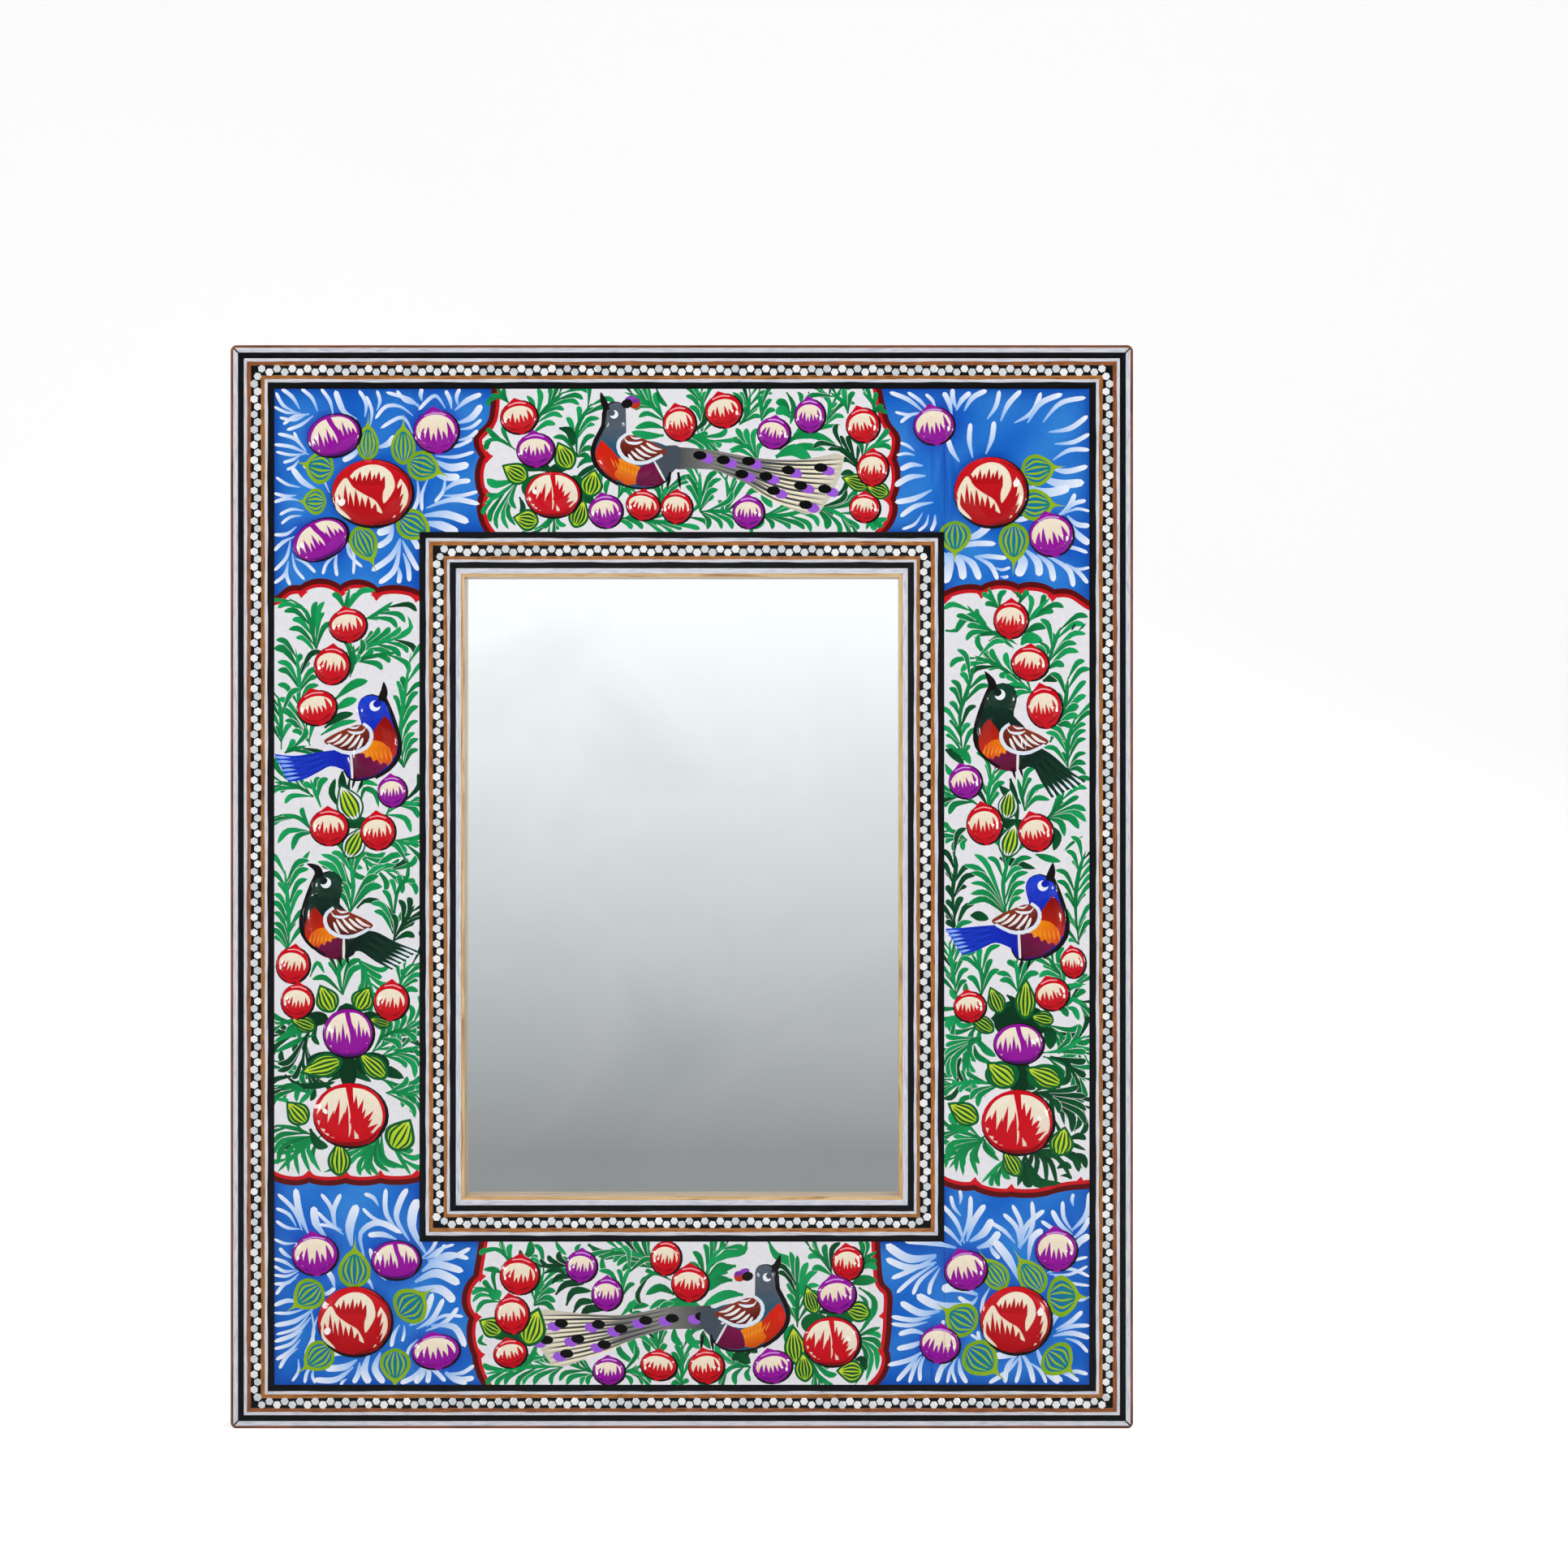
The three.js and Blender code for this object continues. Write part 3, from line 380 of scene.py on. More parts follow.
wood_sockets = {"Roughness": 0.34, "Specular IOR Level": 0.3, "Coat Weight": 0.25, "Coat Roughness": 0.1}
red_lath = grained(
    "reddish_lath", ("542810", "8c4e26", "a9682f"), (240, 3800, 1), wood_sockets, uv_map="lath",
    distortion=1.2,
)
golden_lath = grained(
    "golden_lath", ("4f2c0e", "8f5624", "b57634", "8f5624"), (200, 3000, 1), wood_sockets,
    uv_map="lath", distortion=1.4,
)
orange_lath = grained(
    "orange_lath", ("6a3410", "a8662a", "c48a44"), (240, 3600, 1), wood_sockets, uv_map="lath",
    distortion=1.2,
)
lay_laths(
    "outer_inlay_strip", OUTER_LATH_WIDTHS,
    (bone, red_lath, ebony, golden_lath, bone, ebony), ebony,
)
lay_laths(
    "inner_inlay_strip", INNER_LATH_WIDTHS,
    (ebony, bone, orange_lath, ebony, golden_lath, bone, ebony), ebony,
)


# Hexagons: hundreds of little bone tiles, let into the black middle lath of each strip in a
# zigzag row. Each is a six-sided plug with a worn edge, and no two are quite alike.
HEXAGON_RADIUS = 1.19 * MM
HEXAGON_PITCH = 2.1 * MM
HEXAGON_ZIGZAG = 0.475 * MM
HEXAGON_SINK = 0.12 * MM
HEXAGON_RISE = 0.03 * MM
HEXAGON_CORNER_ROOM = 1.6 * MM
HEXAGON_WORN_TOP = 0.9
HEXAGON_TURN = 0.16
HEXAGON_UNEVENNESS = 0.1
SPECK_SHARE = 0.35


def hexagon_tree():
    """Geometry nodes that set hexagonal tiles along the edges of a mesh, one row to an edge."""
    tree = bpy.data.node_groups.new("hexagon_row", "GeometryNodeTree")
    for name, kind in (
        ("Path", "Geometry"), ("Radius", "Float"), ("Pitch", "Float"), ("Zigzag", "Float"),
        ("Depth", "Float"), ("Edge", "Float"), ("Unevenness", "Float"), ("Seed", "Int"),
        ("Finish", "Material"),
    ):
        tree.interface.new_socket(name, in_out="INPUT", socket_type=f"NodeSocket{kind}")
    tree.interface.new_socket("Tiles", in_out="OUTPUT", socket_type="NodeSocketGeometry")
    given = tree.nodes.new("NodeGroupInput").outputs

    def node(kind, inputs={}, **settings):
        return add_node(tree, kind, inputs, **settings).outputs

    def reckon(operation, first, second):
        return node("ShaderNodeMath", {0: first, 1: second}, operation=operation)[0]

    edges = node("GeometryNodeSplitEdges", {"Mesh": given["Path"]})
    path = node("GeometryNodeMeshToCurve", {"Mesh": edges[0]})
    stations = node("GeometryNodeResampleCurve", {"Curve": path[0], "Length": given["Pitch"]}, mode="LENGTH")

    tangent = node("GeometryNodeInputTangent")[0]
    across = node("ShaderNodeVectorMath", {0: tangent, 1: (0, 1, 0)}, operation="CROSS_PRODUCT")
    odd = reckon("MODULO", node("GeometryNodeInputIndex")[0], 2)
    parity = reckon("SUBTRACT", reckon("MULTIPLY", odd, 2), 1)
    shift = reckon("MULTIPLY", parity, given["Zigzag"])
    aside = node("ShaderNodeVectorMath", {0: across[0], "Scale": shift}, operation="SCALE")
    staggered = node("GeometryNodeSetPosition", {"Geometry": stations[0], "Offset": aside[0]})

    plug = node("GeometryNodeMeshCylinder", {
        "Vertices": 6, "Radius": given["Radius"], "Depth": given["Depth"],
    })
    crown = node("GeometryNodeExtrudeMesh", {
        "Mesh": plug["Mesh"], "Selection": plug["Top"], "Offset Scale": given["Edge"],
    })
    worn = node("GeometryNodeScaleElements", {
        "Geometry": crown["Mesh"], "Selection": crown["Top"], "Scale": HEXAGON_WORN_TOP,
    })
    faced = node("GeometryNodeTransform", {"Geometry": worn[0], "Rotation": (math.radians(90), 0, 0)})

    along = node("FunctionNodeAlignRotationToVector", {"Vector": tangent}, axis="X", pivot_axis="Y")
    wobble = add_node(tree, "FunctionNodeRandomValue", {"Seed": given["Seed"]}, data_type="FLOAT_VECTOR")
    for socket in wobble.inputs:
        if socket.name in ("Min", "Max") and socket.type == "VECTOR":
            socket.default_value = (0, HEXAGON_TURN if socket.name == "Max" else -HEXAGON_TURN, 0)
    twisted = node("FunctionNodeRotateRotation", {0: along[0], 1: wobble.outputs["Value"]})
    size = add_node(tree, "FunctionNodeRandomValue")
    for socket in size.inputs:
        if socket.name == "Max" and socket.type == "VALUE":
            socket.default_value = 1
    feed(tree, size, {
        "Min": reckon("SUBTRACT", 1, given["Unevenness"]), "Seed": reckon("ADD", given["Seed"], 5),
    })

    tiles = node("GeometryNodeInstanceOnPoints", {
        "Points": staggered[0], "Instance": faced[0], "Rotation": twisted[0],
        "Scale": size.outputs["Value"],
    })
    tone = node("FunctionNodeRandomValue", {"Seed": reckon("ADD", given["Seed"], 9)})
    toned = node("GeometryNodeStoreNamedAttribute", {
        "Name": "tone", "Geometry": tiles[0], "Value": tone["Value"],
    }, domain="INSTANCE")
    real = node("GeometryNodeRealizeInstances", {0: toned[0]})
    finished = node("GeometryNodeSetMaterial", {"Geometry": real[0], "Material": given["Finish"]})
    feed(tree, tree.nodes.new("NodeGroupOutput"), {0: finished[0]})
    return tree


def grown(base, tree, inputs, name):
    """Runs a geometry node tree on an object and keeps the result as a plain mesh object."""
    modifier = base.modifiers.new(tree.name, "NODES")
    modifier.node_group = tree
    for item in tree.interface.items_tree:
        if item.in_out == "INPUT" and item.name in inputs:
            modifier[item.identifier] = inputs[item.name]
    depsgraph = bpy.context.evaluated_depsgraph_get()
    mesh = bpy.data.meshes.new_from_object(base.evaluated_get(depsgraph), depsgraph=depsgraph)
    bpy.data.objects.remove(base)
    mesh.name = name
    made = bpy.data.objects.new(name, mesh)
    bpy.context.collection.objects.link(made)
    return made


tile_bone, tile_tree, tile_shader = new_surface(
    "hexagon_bone", {"Roughness": 0.25, "Coat Weight": 0.5, "Coat Roughness": 0.08}
)
tile_speck = add_node(tile_tree, "ShaderNodeTexNoise", {
    "Scale": 1, "Vector": pattern_place(tile_tree, (1500, 1500, 1500)),
})
tile_tone = add_node(tile_tree, "ShaderNodeAttribute", attribute_name="tone")
tile_mix = add_node(tile_tree, "ShaderNodeMath", {
    0: tile_speck.outputs["Fac"], 1: SPECK_SHARE, 2: tile_tone.outputs["Fac"],
}, operation="MULTIPLY_ADD")
tile_ramp = add_node(tile_tree, "ShaderNodeValToRGB", {"Fac": tile_mix.outputs[0]})
tile_stops = tile_ramp.color_ramp.elements
for place, colour in ((0.0, "c2c7ca"), (0.45, "d6dadc"), (0.85, "e6e8e9"), (1.0, "f2f2f1")):
    stop = tile_stops[0] if place == 0.0 else tile_stops[-1] if place == 1.0 else tile_stops.new(place)
    stop.color = (*linear(colour), 1)
feed(tile_tree, tile_shader, {"Base Color": tile_ramp.outputs["Color"]})

hexagons = hexagon_tree()
for kind, widths, field, seed in (
    ("outer_inlay_strip", OUTER_LATH_WIDTHS, 2, 11),
    ("inner_inlay_strip", INNER_LATH_WIDTHS, 3, 23),
):
    corners = []
    for side in SIDES:
        half, width, front, back = ring_side(kind, side)
        middle = width * (sum(widths[:field]) + widths[field] / 2) / sum(widths)
        reach = half - middle - HEXAGON_CORNER_ROOM
        for t in (-reach, reach):
            x, z = on_side(kind, side)(t, middle)
            corners.append((x, front + (HEXAGON_SINK - HEXAGON_RISE) / 2, z))
    rows = mesh_object(f"{kind}_rows", corners, [], edges=[(2 * i, 2 * i + 1) for i in range(4)])
    tiles = grown(
        rows, hexagons,
        {
            "Radius": HEXAGON_RADIUS, "Pitch": HEXAGON_PITCH, "Zigzag": HEXAGON_ZIGZAG,
            "Depth": HEXAGON_SINK, "Edge": HEXAGON_RISE, "Unevenness": HEXAGON_UNEVENNESS, "Seed": seed,
            "Finish": tile_bone,
        },
        kind.replace("inlay_strip", "hexagons"),
    )
    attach(tiles, "frame")


# Painted panels: thin lacquered sheets glued on the rails, blue in the corners and white between,
# with flowers and birds built up as low domes. The side panels run the full height.
# Places are in millimetres here, from the frame's middle line and up from its lower edge.
PANELS = ("left", "right", "top", "bottom")
ROSE_DOME, FLOWER_DOME, BUD_DOME, HEAD_DOME = 0.78, 0.74, 0.7, 0.55
DOME_RIM_SLOPE = 0.45
MIDDLE_HEIGHT = 150

WHITE, BLUE, COBALT, SKY = "e6e5e9", "0f62c6", "0a40a4", "3283d6"
RED, DARK_RED, INK = "ca0a1c", "8c0a12", "141012"
# The near-white glint colour is paint for painted highlights, which stand for the lamps' glare on the domes.
PURPLE, DEEP_PURPLE, CREAM, PAINTED_GLINT = "94109a", "560a72", "f3e6cf", "fdf8f4"
GREEN, DARK_GREEN, DEEP_GREEN, LIGHT_GREEN = "0b8044", "07602f", "04351c", "18a25c"
MAGENTA, BIRD_BLUE, BIRD_BLACK = "7a0f4a", "0c1ea8", "0a1f1a"
BRUSH_SEED = 41
brush = random.Random(BRUSH_SEED)
strokes = []
domes = []


def lay(outline, root, tip=None, start=None, end=None):
    """Adds one stroke on top of those before it; its colour may run from start to end."""
    turn = sum(a[0] * b[1] - b[0] * a[1] for a, b in zip(outline, outline[1:] + outline[:1]))
    if turn < 0:
        outline = outline[::-1]
    root_colour = linear(root) if root else None
    tip_colour = linear(tip) if tip else root_colour
    strokes.append((outline, root_colour, tip_colour, start or outline[0], end or outline[-1]))


def turned(x, z, lean):
    angle = math.radians(lean)
    return x * math.cos(angle) - z * math.sin(angle), x * math.sin(angle) + z * math.cos(angle)


def about(x, z, half_width=1, half_height=1, lean=0):
    """A function that turns shares of a shape's half width and height into a place on the sheet."""
    def at(u, v):
        du, dv = turned(u * half_width, v * half_height, lean)
        return x + du, z + dv

    return at


def oval(x, z, half_width, half_height, colour, lean=0, top=None, count=22):
    outline = []
    for i in range(count):
        angle = 2 * math.pi * i / count
        u, v = turned(half_width * math.cos(angle), half_height * math.sin(angle), lean)
        outline.append((x + u, z + v))
    lay(outline, colour, top, (x, z - half_height), (x, z + half_height))


def smooth(points, steps=6):
    """A flowing line through a few points."""
    if len(points) == 2:
        (x0, z0), (x1, z1) = points
        return [(x0 + (x1 - x0) * i / steps, z0 + (z1 - z0) * i / steps) for i in range(steps + 1)]
    held = [points[0], *points, points[-1]]
    line = []
    per_span = max(2, round(2 * steps / (len(points) - 1)))
    for a, b, c, d in zip(held, held[1:], held[2:], held[3:]):
        for i in range(per_span):
            s = i / per_span
            line.append(tuple(
                0.5 * (2 * q + (r - p) * s + (2 * p - 5 * q + 4 * r - t) * s * s
                       + (3 * q - p - 3 * r + t) * s ** 3)
                for p, q, r, t in zip(a, b, c, d)
            ))
    return line + [points[-1]]


def ribbon(line, widths, root, tip=None):
    """A stroke of the given widths along a line, with a pointed or blunt end where they say so."""
    left, right = [], []
    for i, (x, z) in enumerate(line):
        ahead, behind = line[min(i + 1, len(line) - 1)], line[max(i - 1, 0)]
        dx, dz = ahead[0] - behind[0], ahead[1] - behind[1]
        length = math.hypot(dx, dz) or 1
        half = widths[i] / 2
        left.append((x - dz / length * half, z + dx / length * half))
        right.append((x + dz / length * half, z - dx / length * half))
    lay(left + right[::-1], root, tip, line[0], line[-1])


def blade(points, width, root, tip=None, belly=0.6, blunt=0.0, steps=6):
    """One brush stroke: thin where it starts, full at its belly and pointed at its tip."""
    line = smooth(points, steps)
    power = math.log(0.5) / math.log(belly)
    count = len(line) - 1
    widths = []
    for i in range(count + 1):
        swell = math.sin(math.pi * (i / count) ** power) ** 0.85
        widths.append(width * max(swell, blunt * (1 - i / count), 0.05))
    ribbon(line, widths, root, tip)


def cord(points, width, colour, tip=None):
    """A line of nearly even width."""
    line = smooth(points)
    last = len(line) - 1
    ribbon(line, [width * (0.75 + 0.25 * math.sin(math.pi * i / last)) for i in range(last + 1)], colour, tip)


def patch(points, colour, tip=None, start=None, end=None, steps=None):
    """A spot of paint whose outline flows through a few points, with a corner at the first."""
    lay(smooth(points + points[:1], steps or 2 * len(points))[:-1], colour, tip, start, end)


def raise_dome(x, z, half_width, half_height, lean, height):
    """Lets the sheet rise to this height in an oval, for a flower or a bird's body."""
    domes.append((x, z, half_width, half_height, math.radians(lean), height))


def bud(x, z, half_width, half_height, rim=RED, heart=(0.84, 0.64), teeth=6):
    """A round bud: a coloured ring with a tip, a cream heart and pointed teeth that rise into it, with
    painted highlights: a pale arc in its cap and two white glints on its outer side.
    """
    dark = DARK_RED if rim == RED else DEEP_PURPLE
    lean = brush.uniform(-14, 14)
    at = about(x, z, half_width, half_height, lean)
    raise_dome(x, z, half_width, half_height, lean, BUD_DOME)
    oval(x + 0.2, z - 0.25, half_width + 0.46, half_height + 0.46, INK, lean)
    patch([at(-0.1, 1.22), at(0.42, 0.84), at(-0.5, 0.8)], rim)
    oval(*at(0.05, -0.98), 0.2 * half_width, 0.16 * half_height, rim, lean, count=10)
    oval(x, z, half_width, half_height, rim, lean, top=rim)
    blade([at(-0.8, -0.5), at(0, -0.92), at(0.82, -0.46)], 1.0, dark)
    heart_width, heart_height = heart
    oval(*at(-0.02, 0.03), half_width * heart_width, half_height * heart_height, "ead6bb", lean, top=CREAM)
    width = 2.2 * half_width * heart_width / teeth
    for i in range(teeth):
        u = heart_width * 0.9 * ((2 * i + 1) / teeth - 1)
        foot = -0.02 - heart_height * math.sqrt(1 - (u / heart_width) ** 2)
        reach = heart_height * ((1.3 if i % 2 else 0.95) + brush.uniform(-0.15, 0.15))
        line = smooth([at(u, foot), at(0.96 * u, foot + reach * 0.5), at(0.8 * u, foot + reach)], 3)
        ribbon(line, [width * share for share in (1.2, 1, 0.84, 0.64, 0.44, 0.24, 0.03)], rim, rim)
    blade([at(-0.84, -0.36), at(-0.42, -0.86), at(0.42, -0.86), at(0.84, -0.36)], 0.2 * half_height, rim)
    # Painted highlight: a pale arc across the cap of the dome.
    cap_highlight = "f2a4ac" if rim == RED else "d29ae2"
    cord([at(-0.5, 0.76), at(0.0, 0.88), at(0.5, 0.76)], 0.34, cap_highlight)
    # Painted highlights: two white glints on the side away from the frame's middle, where the side lamps
    # would catch the dome.
    side = 1 if x > 0 else -1
    oval(x + side * 0.5 * half_width, z - 0.05 * half_height, 0.36, 0.3, PAINTED_GLINT, count=8)
    oval(x + side * 0.74 * half_width, z - 0.16 * half_height, 0.34, 0.62, PAINTED_GLINT, count=10)


def comb(at, streaks, width, colour):
    """Pointed streaks that rise side by side, each from its foot to its tip."""
    for foot, tip in streaks:
        ribbon(smooth([at(*foot), at(*tip)], 3), [width, width * 0.85, width * 0.5, 0.04], colour)


ROSE_PETALS = (
    [(-0.54, 0.49), (-0.37, 0.7), (-0.06, 0.84), (0.25, 0.8), (0.49, 0.58), (0.58, 0.25), (0.52, -0.01),
     (0.31, -0.34), (0.28, -0.05), (0.34, 0.2), (0.23, 0.34), (-0.14, 0.3), (-0.4, 0.32)],
    [(-0.93, -0.08), (-0.83, 0.2), (-0.64, 0.44), (-0.46, 0.16), (-0.19, -0.06), (0.1, -0.26), (0.27, -0.64),
     (0.02, -0.5), (-0.3, -0.42), (-0.6, -0.42), (-0.84, -0.4)],
    [(0.72, 0.42), (0.87, 0.16), (0.91, -0.16), (0.78, -0.6), (0.47, -0.92), (0.6, -0.6), (0.66, -0.3),
     (0.68, 0), (0.64, 0.2)],
)
ROSE_STREAKS = (
    ((-0.44, 0.22), (-0.42, 0.5)), ((-0.32, 0.22), (-0.28, 0.64)), ((-0.2, 0.2), (-0.16, 0.54)),
    ((-0.08, 0.2), (-0.03, 0.68)), ((0.04, 0.2), (0.08, 0.56)), ((0.15, 0.22), (0.19, 0.64)),
    ((0.26, 0.2), (0.32, 0.5)), ((-0.76, -0.5), (-0.82, -0.04)), ((-0.64, -0.58), (-0.66, 0.24)),
    ((-0.5, -0.56), (-0.54, 0.02)), ((-0.36, -0.52), (-0.4, 0.08)), ((-0.22, -0.52), (-0.24, -0.14)),
    ((-0.08, -0.54), (-0.08, -0.12)), ((0.06, -0.6), (0.1, -0.34)), ((0.58, -0.7), (0.78, -0.34)),
    ((0.6, -0.46), (0.8, -0.02)), ((0.62, -0.16), (0.76, 0.26)),
)


def rose(x, z, half_width, half_height):
    """The great red flower: an upper, a left and a right petal in cream, with red streaks in each, and a
    painted white glint on its outer side.
    """
    at = about(x, z, half_width, half_height)
    raise_dome(x, z, half_width, half_height, 0, ROSE_DOME)
    oval(*at(0.03, -0.04), half_width + 0.5, half_height + 0.5, INK, count=32)
    oval(x, z, half_width, half_height, "b00a14", top="cf1420", count=32)
    for petal in ROSE_PETALS:
        patch([at(*p) for p in petal], "f0dcc0", CREAM, at(0, -0.6), at(0, 0.6))
    comb(at, ROSE_STREAKS, 0.15 * half_width, "b60c16")
    blade([at(-0.9, -0.14), at(-0.84, -0.5), at(-0.52, -0.82)], 0.1 * half_width, CREAM)
    blade([at(0.2, 0.94), at(0.86, 0.5), at(0.95, -0.2)], 0.07 * half_width, DARK_RED)
    blade([at(0.92, -0.3), at(0.6, -0.8), at(0.0, -0.98)], 0.1 * half_width, DARK_RED)
    # Painted highlight: a white glint on the rose's outer side, where the side lamp would catch the dome.
    oval(*at(0.72 if x > 0 else -0.74, 0.24 if x > 0 else -0.3), 0.9, 1.1, PAINTED_GLINT, -30, count=12)


SPLIT_PETALS = (
    [(-0.12, 0.84), (-0.05, 0.5), (0.06, 0.1), (0.1, -0.3), (-0.02, -0.8), (-0.3, -0.88), (-0.62, -0.7),
     (-0.86, -0.3), (-0.86, 0.15), (-0.62, 0.58), (-0.36, 0.78)],
    [(0.08, 0.86), (0.42, 0.8), (0.74, 0.52), (0.9, 0.05), (0.84, -0.38), (0.6, -0.74), (0.3, -0.86),
     (0.34, -0.4), (0.3, 0.05), (0.16, 0.45)],
)
SPLIT_STREAKS = (
    ((-0.76, -0.54), (-0.74, 0.12)), ((-0.56, -0.76), (-0.52, 0.34)), ((-0.36, -0.86), (-0.34, 0.08)),
    ((-0.16, -0.9), (-0.2, 0.42)), ((0.0, -0.78), (-0.04, 0.0)), ((0.33, -0.84), (0.3, 0.26)),
    ((0.5, -0.8), (0.44, 0.54)), ((0.66, -0.66), (0.62, 0.22)), ((0.8, -0.44), (0.77, 0.12)),
)


FAN_PETALS = (
    [(-0.1, 0.86), (-0.02, 0.4), (0.03, 0), (0.05, -0.5), (-0.1, -0.86), (-0.45, -0.8), (-0.8, -0.45),
     (-0.9, 0.05), (-0.7, 0.55), (-0.4, 0.8)],
    [(0.1, 0.86), (0.45, 0.78), (0.78, 0.48), (0.92, 0), (0.85, -0.42), (0.6, -0.74), (0.22, -0.9),
     (0.14, -0.6), (0.16, 0), (0.12, 0.45)],
)
FAN_STREAKS = (
    ((-0.84, -0.2), (-0.76, 0.2)), ((-0.74, -0.46), (-0.6, 0.4)), ((-0.58, -0.62), (-0.42, 0.14)),
    ((-0.46, -0.74), (-0.26, 0.5)), ((-0.3, -0.82), (-0.12, 0.1)), ((-0.14, -0.88), (-0.04, 0.34)),
    ((0.13, -0.3), (0.2, 0.62)), ((0.15, -0.42), (0.4, 0.5)), ((0.18, -0.5), (0.46, 0.18)),
    ((0.2, -0.56), (0.68, 0.12)), ((0.24, -0.64), (0.64, -0.14)), ((0.28, -0.72), (0.8, -0.3)),
    ((0.3, -0.82), (0.66, -0.58)),
)


def split_flower(x, z, half_width, half_height, lean=0, rim=PURPLE):
    """A flower of two cream petals with a band between them and bold streaks that rise in both; a painted
    white glint sits on its outer side.
    """
    at = about(x, z, half_width, half_height, lean)
    dark = DARK_RED if rim == RED else DEEP_PURPLE
    raise_dome(x, z, half_width, half_height, lean, FLOWER_DOME)
    oval(*at(0.04, -0.05), half_width + 0.55, half_height + 0.55, INK, lean, count=28)
    oval(x, z, half_width, half_height, rim, lean, count=28)
    for petal in FAN_PETALS if rim == RED else SPLIT_PETALS:
        patch([at(*p) for p in petal], "ead8c4", CREAM, at(0, -0.6), at(0, 0.6))
    comb(at, FAN_STREAKS if rim == RED else SPLIT_STREAKS, 0.24 * half_width, rim)
    blade([at(-0.9, -0.34), at(-0.5, -0.82), at(0.5, -0.84), at(0.88, -0.36)], 0.18 * half_width, rim)
    blade([at(-0.7, -0.66), at(-0.3, -0.93), at(0.4, -0.92), at(0.76, -0.6)], 0.11 * half_width, dark)
    # Painted highlight: a white glint on the flower's outer side, where the side lamp would catch the dome.
    oval(*at(0.62 if x > 0 else -0.66, 0.1), 0.6, 0.8, PAINTED_GLINT, 30, count=12)


LEAF_SHAPE = (
    (0, 1.3), (0.45, 0.84), (0.95, 0.1), (0.76, -0.62), (0, -1.05), (-0.76, -0.62), (-0.95, 0.1),
    (-0.45, 0.84),
)
SIDE_LEAF_SIZE, SIDE_PANEL_INNER = 0.88, 60
GAPPED_LEAVES_LOW, GAPPED_LEAVES_HIGH = 140, 240


def leaf(x, z, half_width, half_height):
    """A lime leaf with dark green stripes; some stand in a wider outline with white between."""
    lean = brush.uniform(-32, 32)
    if half_width > half_height:
        half_width, half_height, lean = half_height, half_width, lean + 75
    at = about(x, z, half_width, half_height, lean)
    size = SIDE_LEAF_SIZE if abs(x) > SIDE_PANEL_INNER else 1
    shape = [(size * u, size * v) for u, v in LEAF_SHAPE]
    patch([at(1.3 * u, 1.22 * v) for u, v in shape], DARK_GREEN)
    if GAPPED_LEAVES_LOW < z < GAPPED_LEAVES_HIGH:
        patch([at(1.12 * u, 1.06 * v) for u, v in shape], WHITE)
        shape = [(0.84 * u, 0.86 * v) for u, v in shape]
    patch([at(u, v) for u, v in shape], "a4cc20", "c8de38", at(-0.6, -0.8), at(0.6, 0.8))
    for u in (-0.64, -0.22, 0.2, 0.62):
        blade([at(0.5 * u, -0.95), at(1.04 * u, -0.1), at(0.45 * u, 0.95)], 0.66, "17512a", belly=0.5)


def corner_leaf(x, z, half_width, half_height, lean=0):
    """A teal leaf in the blue corners: a lime outline, curved inner lines and a long stem tip."""
    at = about(x, z, half_width, half_height, lean)
    shape = [(0.1, 2.1), (0.14, 1.3), (0.65, 0.86), (1.1, 0.08), (0.88, -0.7), (0, -1.12), (-0.88, -0.7),
             (-1.1, 0.08), (-0.65, 0.86), (-0.12, 1.3)]
    patch([at(*p) for p in shape], "74a41a", "93b41e", at(0, -1), at(0, 1.4))
    inner = [at(0.76 * u, (0.72 if v > 1 else 0.79) * v) for u, v in shape[1:]]
    patch(inner, "1468ac", "14807c", at(0, -1), at(0, 1))
    for u in (-0.6, -0.2, 0.22, 0.6):
        blade([at(0.35 * u, -0.9), at(1.02 * u, -0.05), at(0.5 * u, 0.8)], 0.62, "93b81c", belly=0.5)


def between(upper, lower, share):
    """The line that runs at a share of the way from one edge to the other."""
    return [(a[0] + (b[0] - a[0]) * share, a[1] + (b[1] - a[1]) * share) for a, b in zip(upper, lower)]


def wing(at, feathers):
    """A brown wing with white feathers on it and a white arc under it."""
    outline = ((-2.4, -4.4), (-1.4, -6.4), (-1.2, -8.6), (-2.8, -10.8), (-6, -11.6), (-9.6, -11.2),
               (-13.8, -9.2), (-12, -7.4), (-8.6, -5.8), (-5, -4.4))
    patch([at(*p) for p in outline], "4a1012", "8c3420", at(-4, -11), at(-6, -5))
    for root, tip in feathers:
        bend = (root[0] + tip[0]) / 2, (root[1] + tip[1]) / 2 - 0.5
        blade([at(*root), at(*bend), at(*tip)], 0.85, "f6f2ee", "e0dcdc", 0.4, 0.4)
    blade([at(-2.2, -4.9), at(-3.2, -6.3), at(-5.6, -6.6), at(-7.4, -6.0)], 0.8, "e4e9f2")
    blade([at(-3.8, -4.4), at(-5, -5.2), at(-7, -5.1)], 0.55, "e4e9f2")
    cord([at(-3.0, -4.0), at(-1.1, -5.5), at(-0.6, -7.8), at(-2.0, -10.5), at(-5.3, -12), at(-8.8, -11.8),
          at(-12.8, -9.8)], 1.1, "dfe6f0")


WING_FEATHERS = (
    ((-3.0, -8.0), (-4.8, -11.2)), ((-3.8, -7.2), (-7.2, -11.0)), ((-5.4, -7.0), (-9.4, -10.5)),
    ((-7.2, -7.0), (-11.4, -9.9)), ((-9.0, -6.9), (-13.2, -9.2)),
)


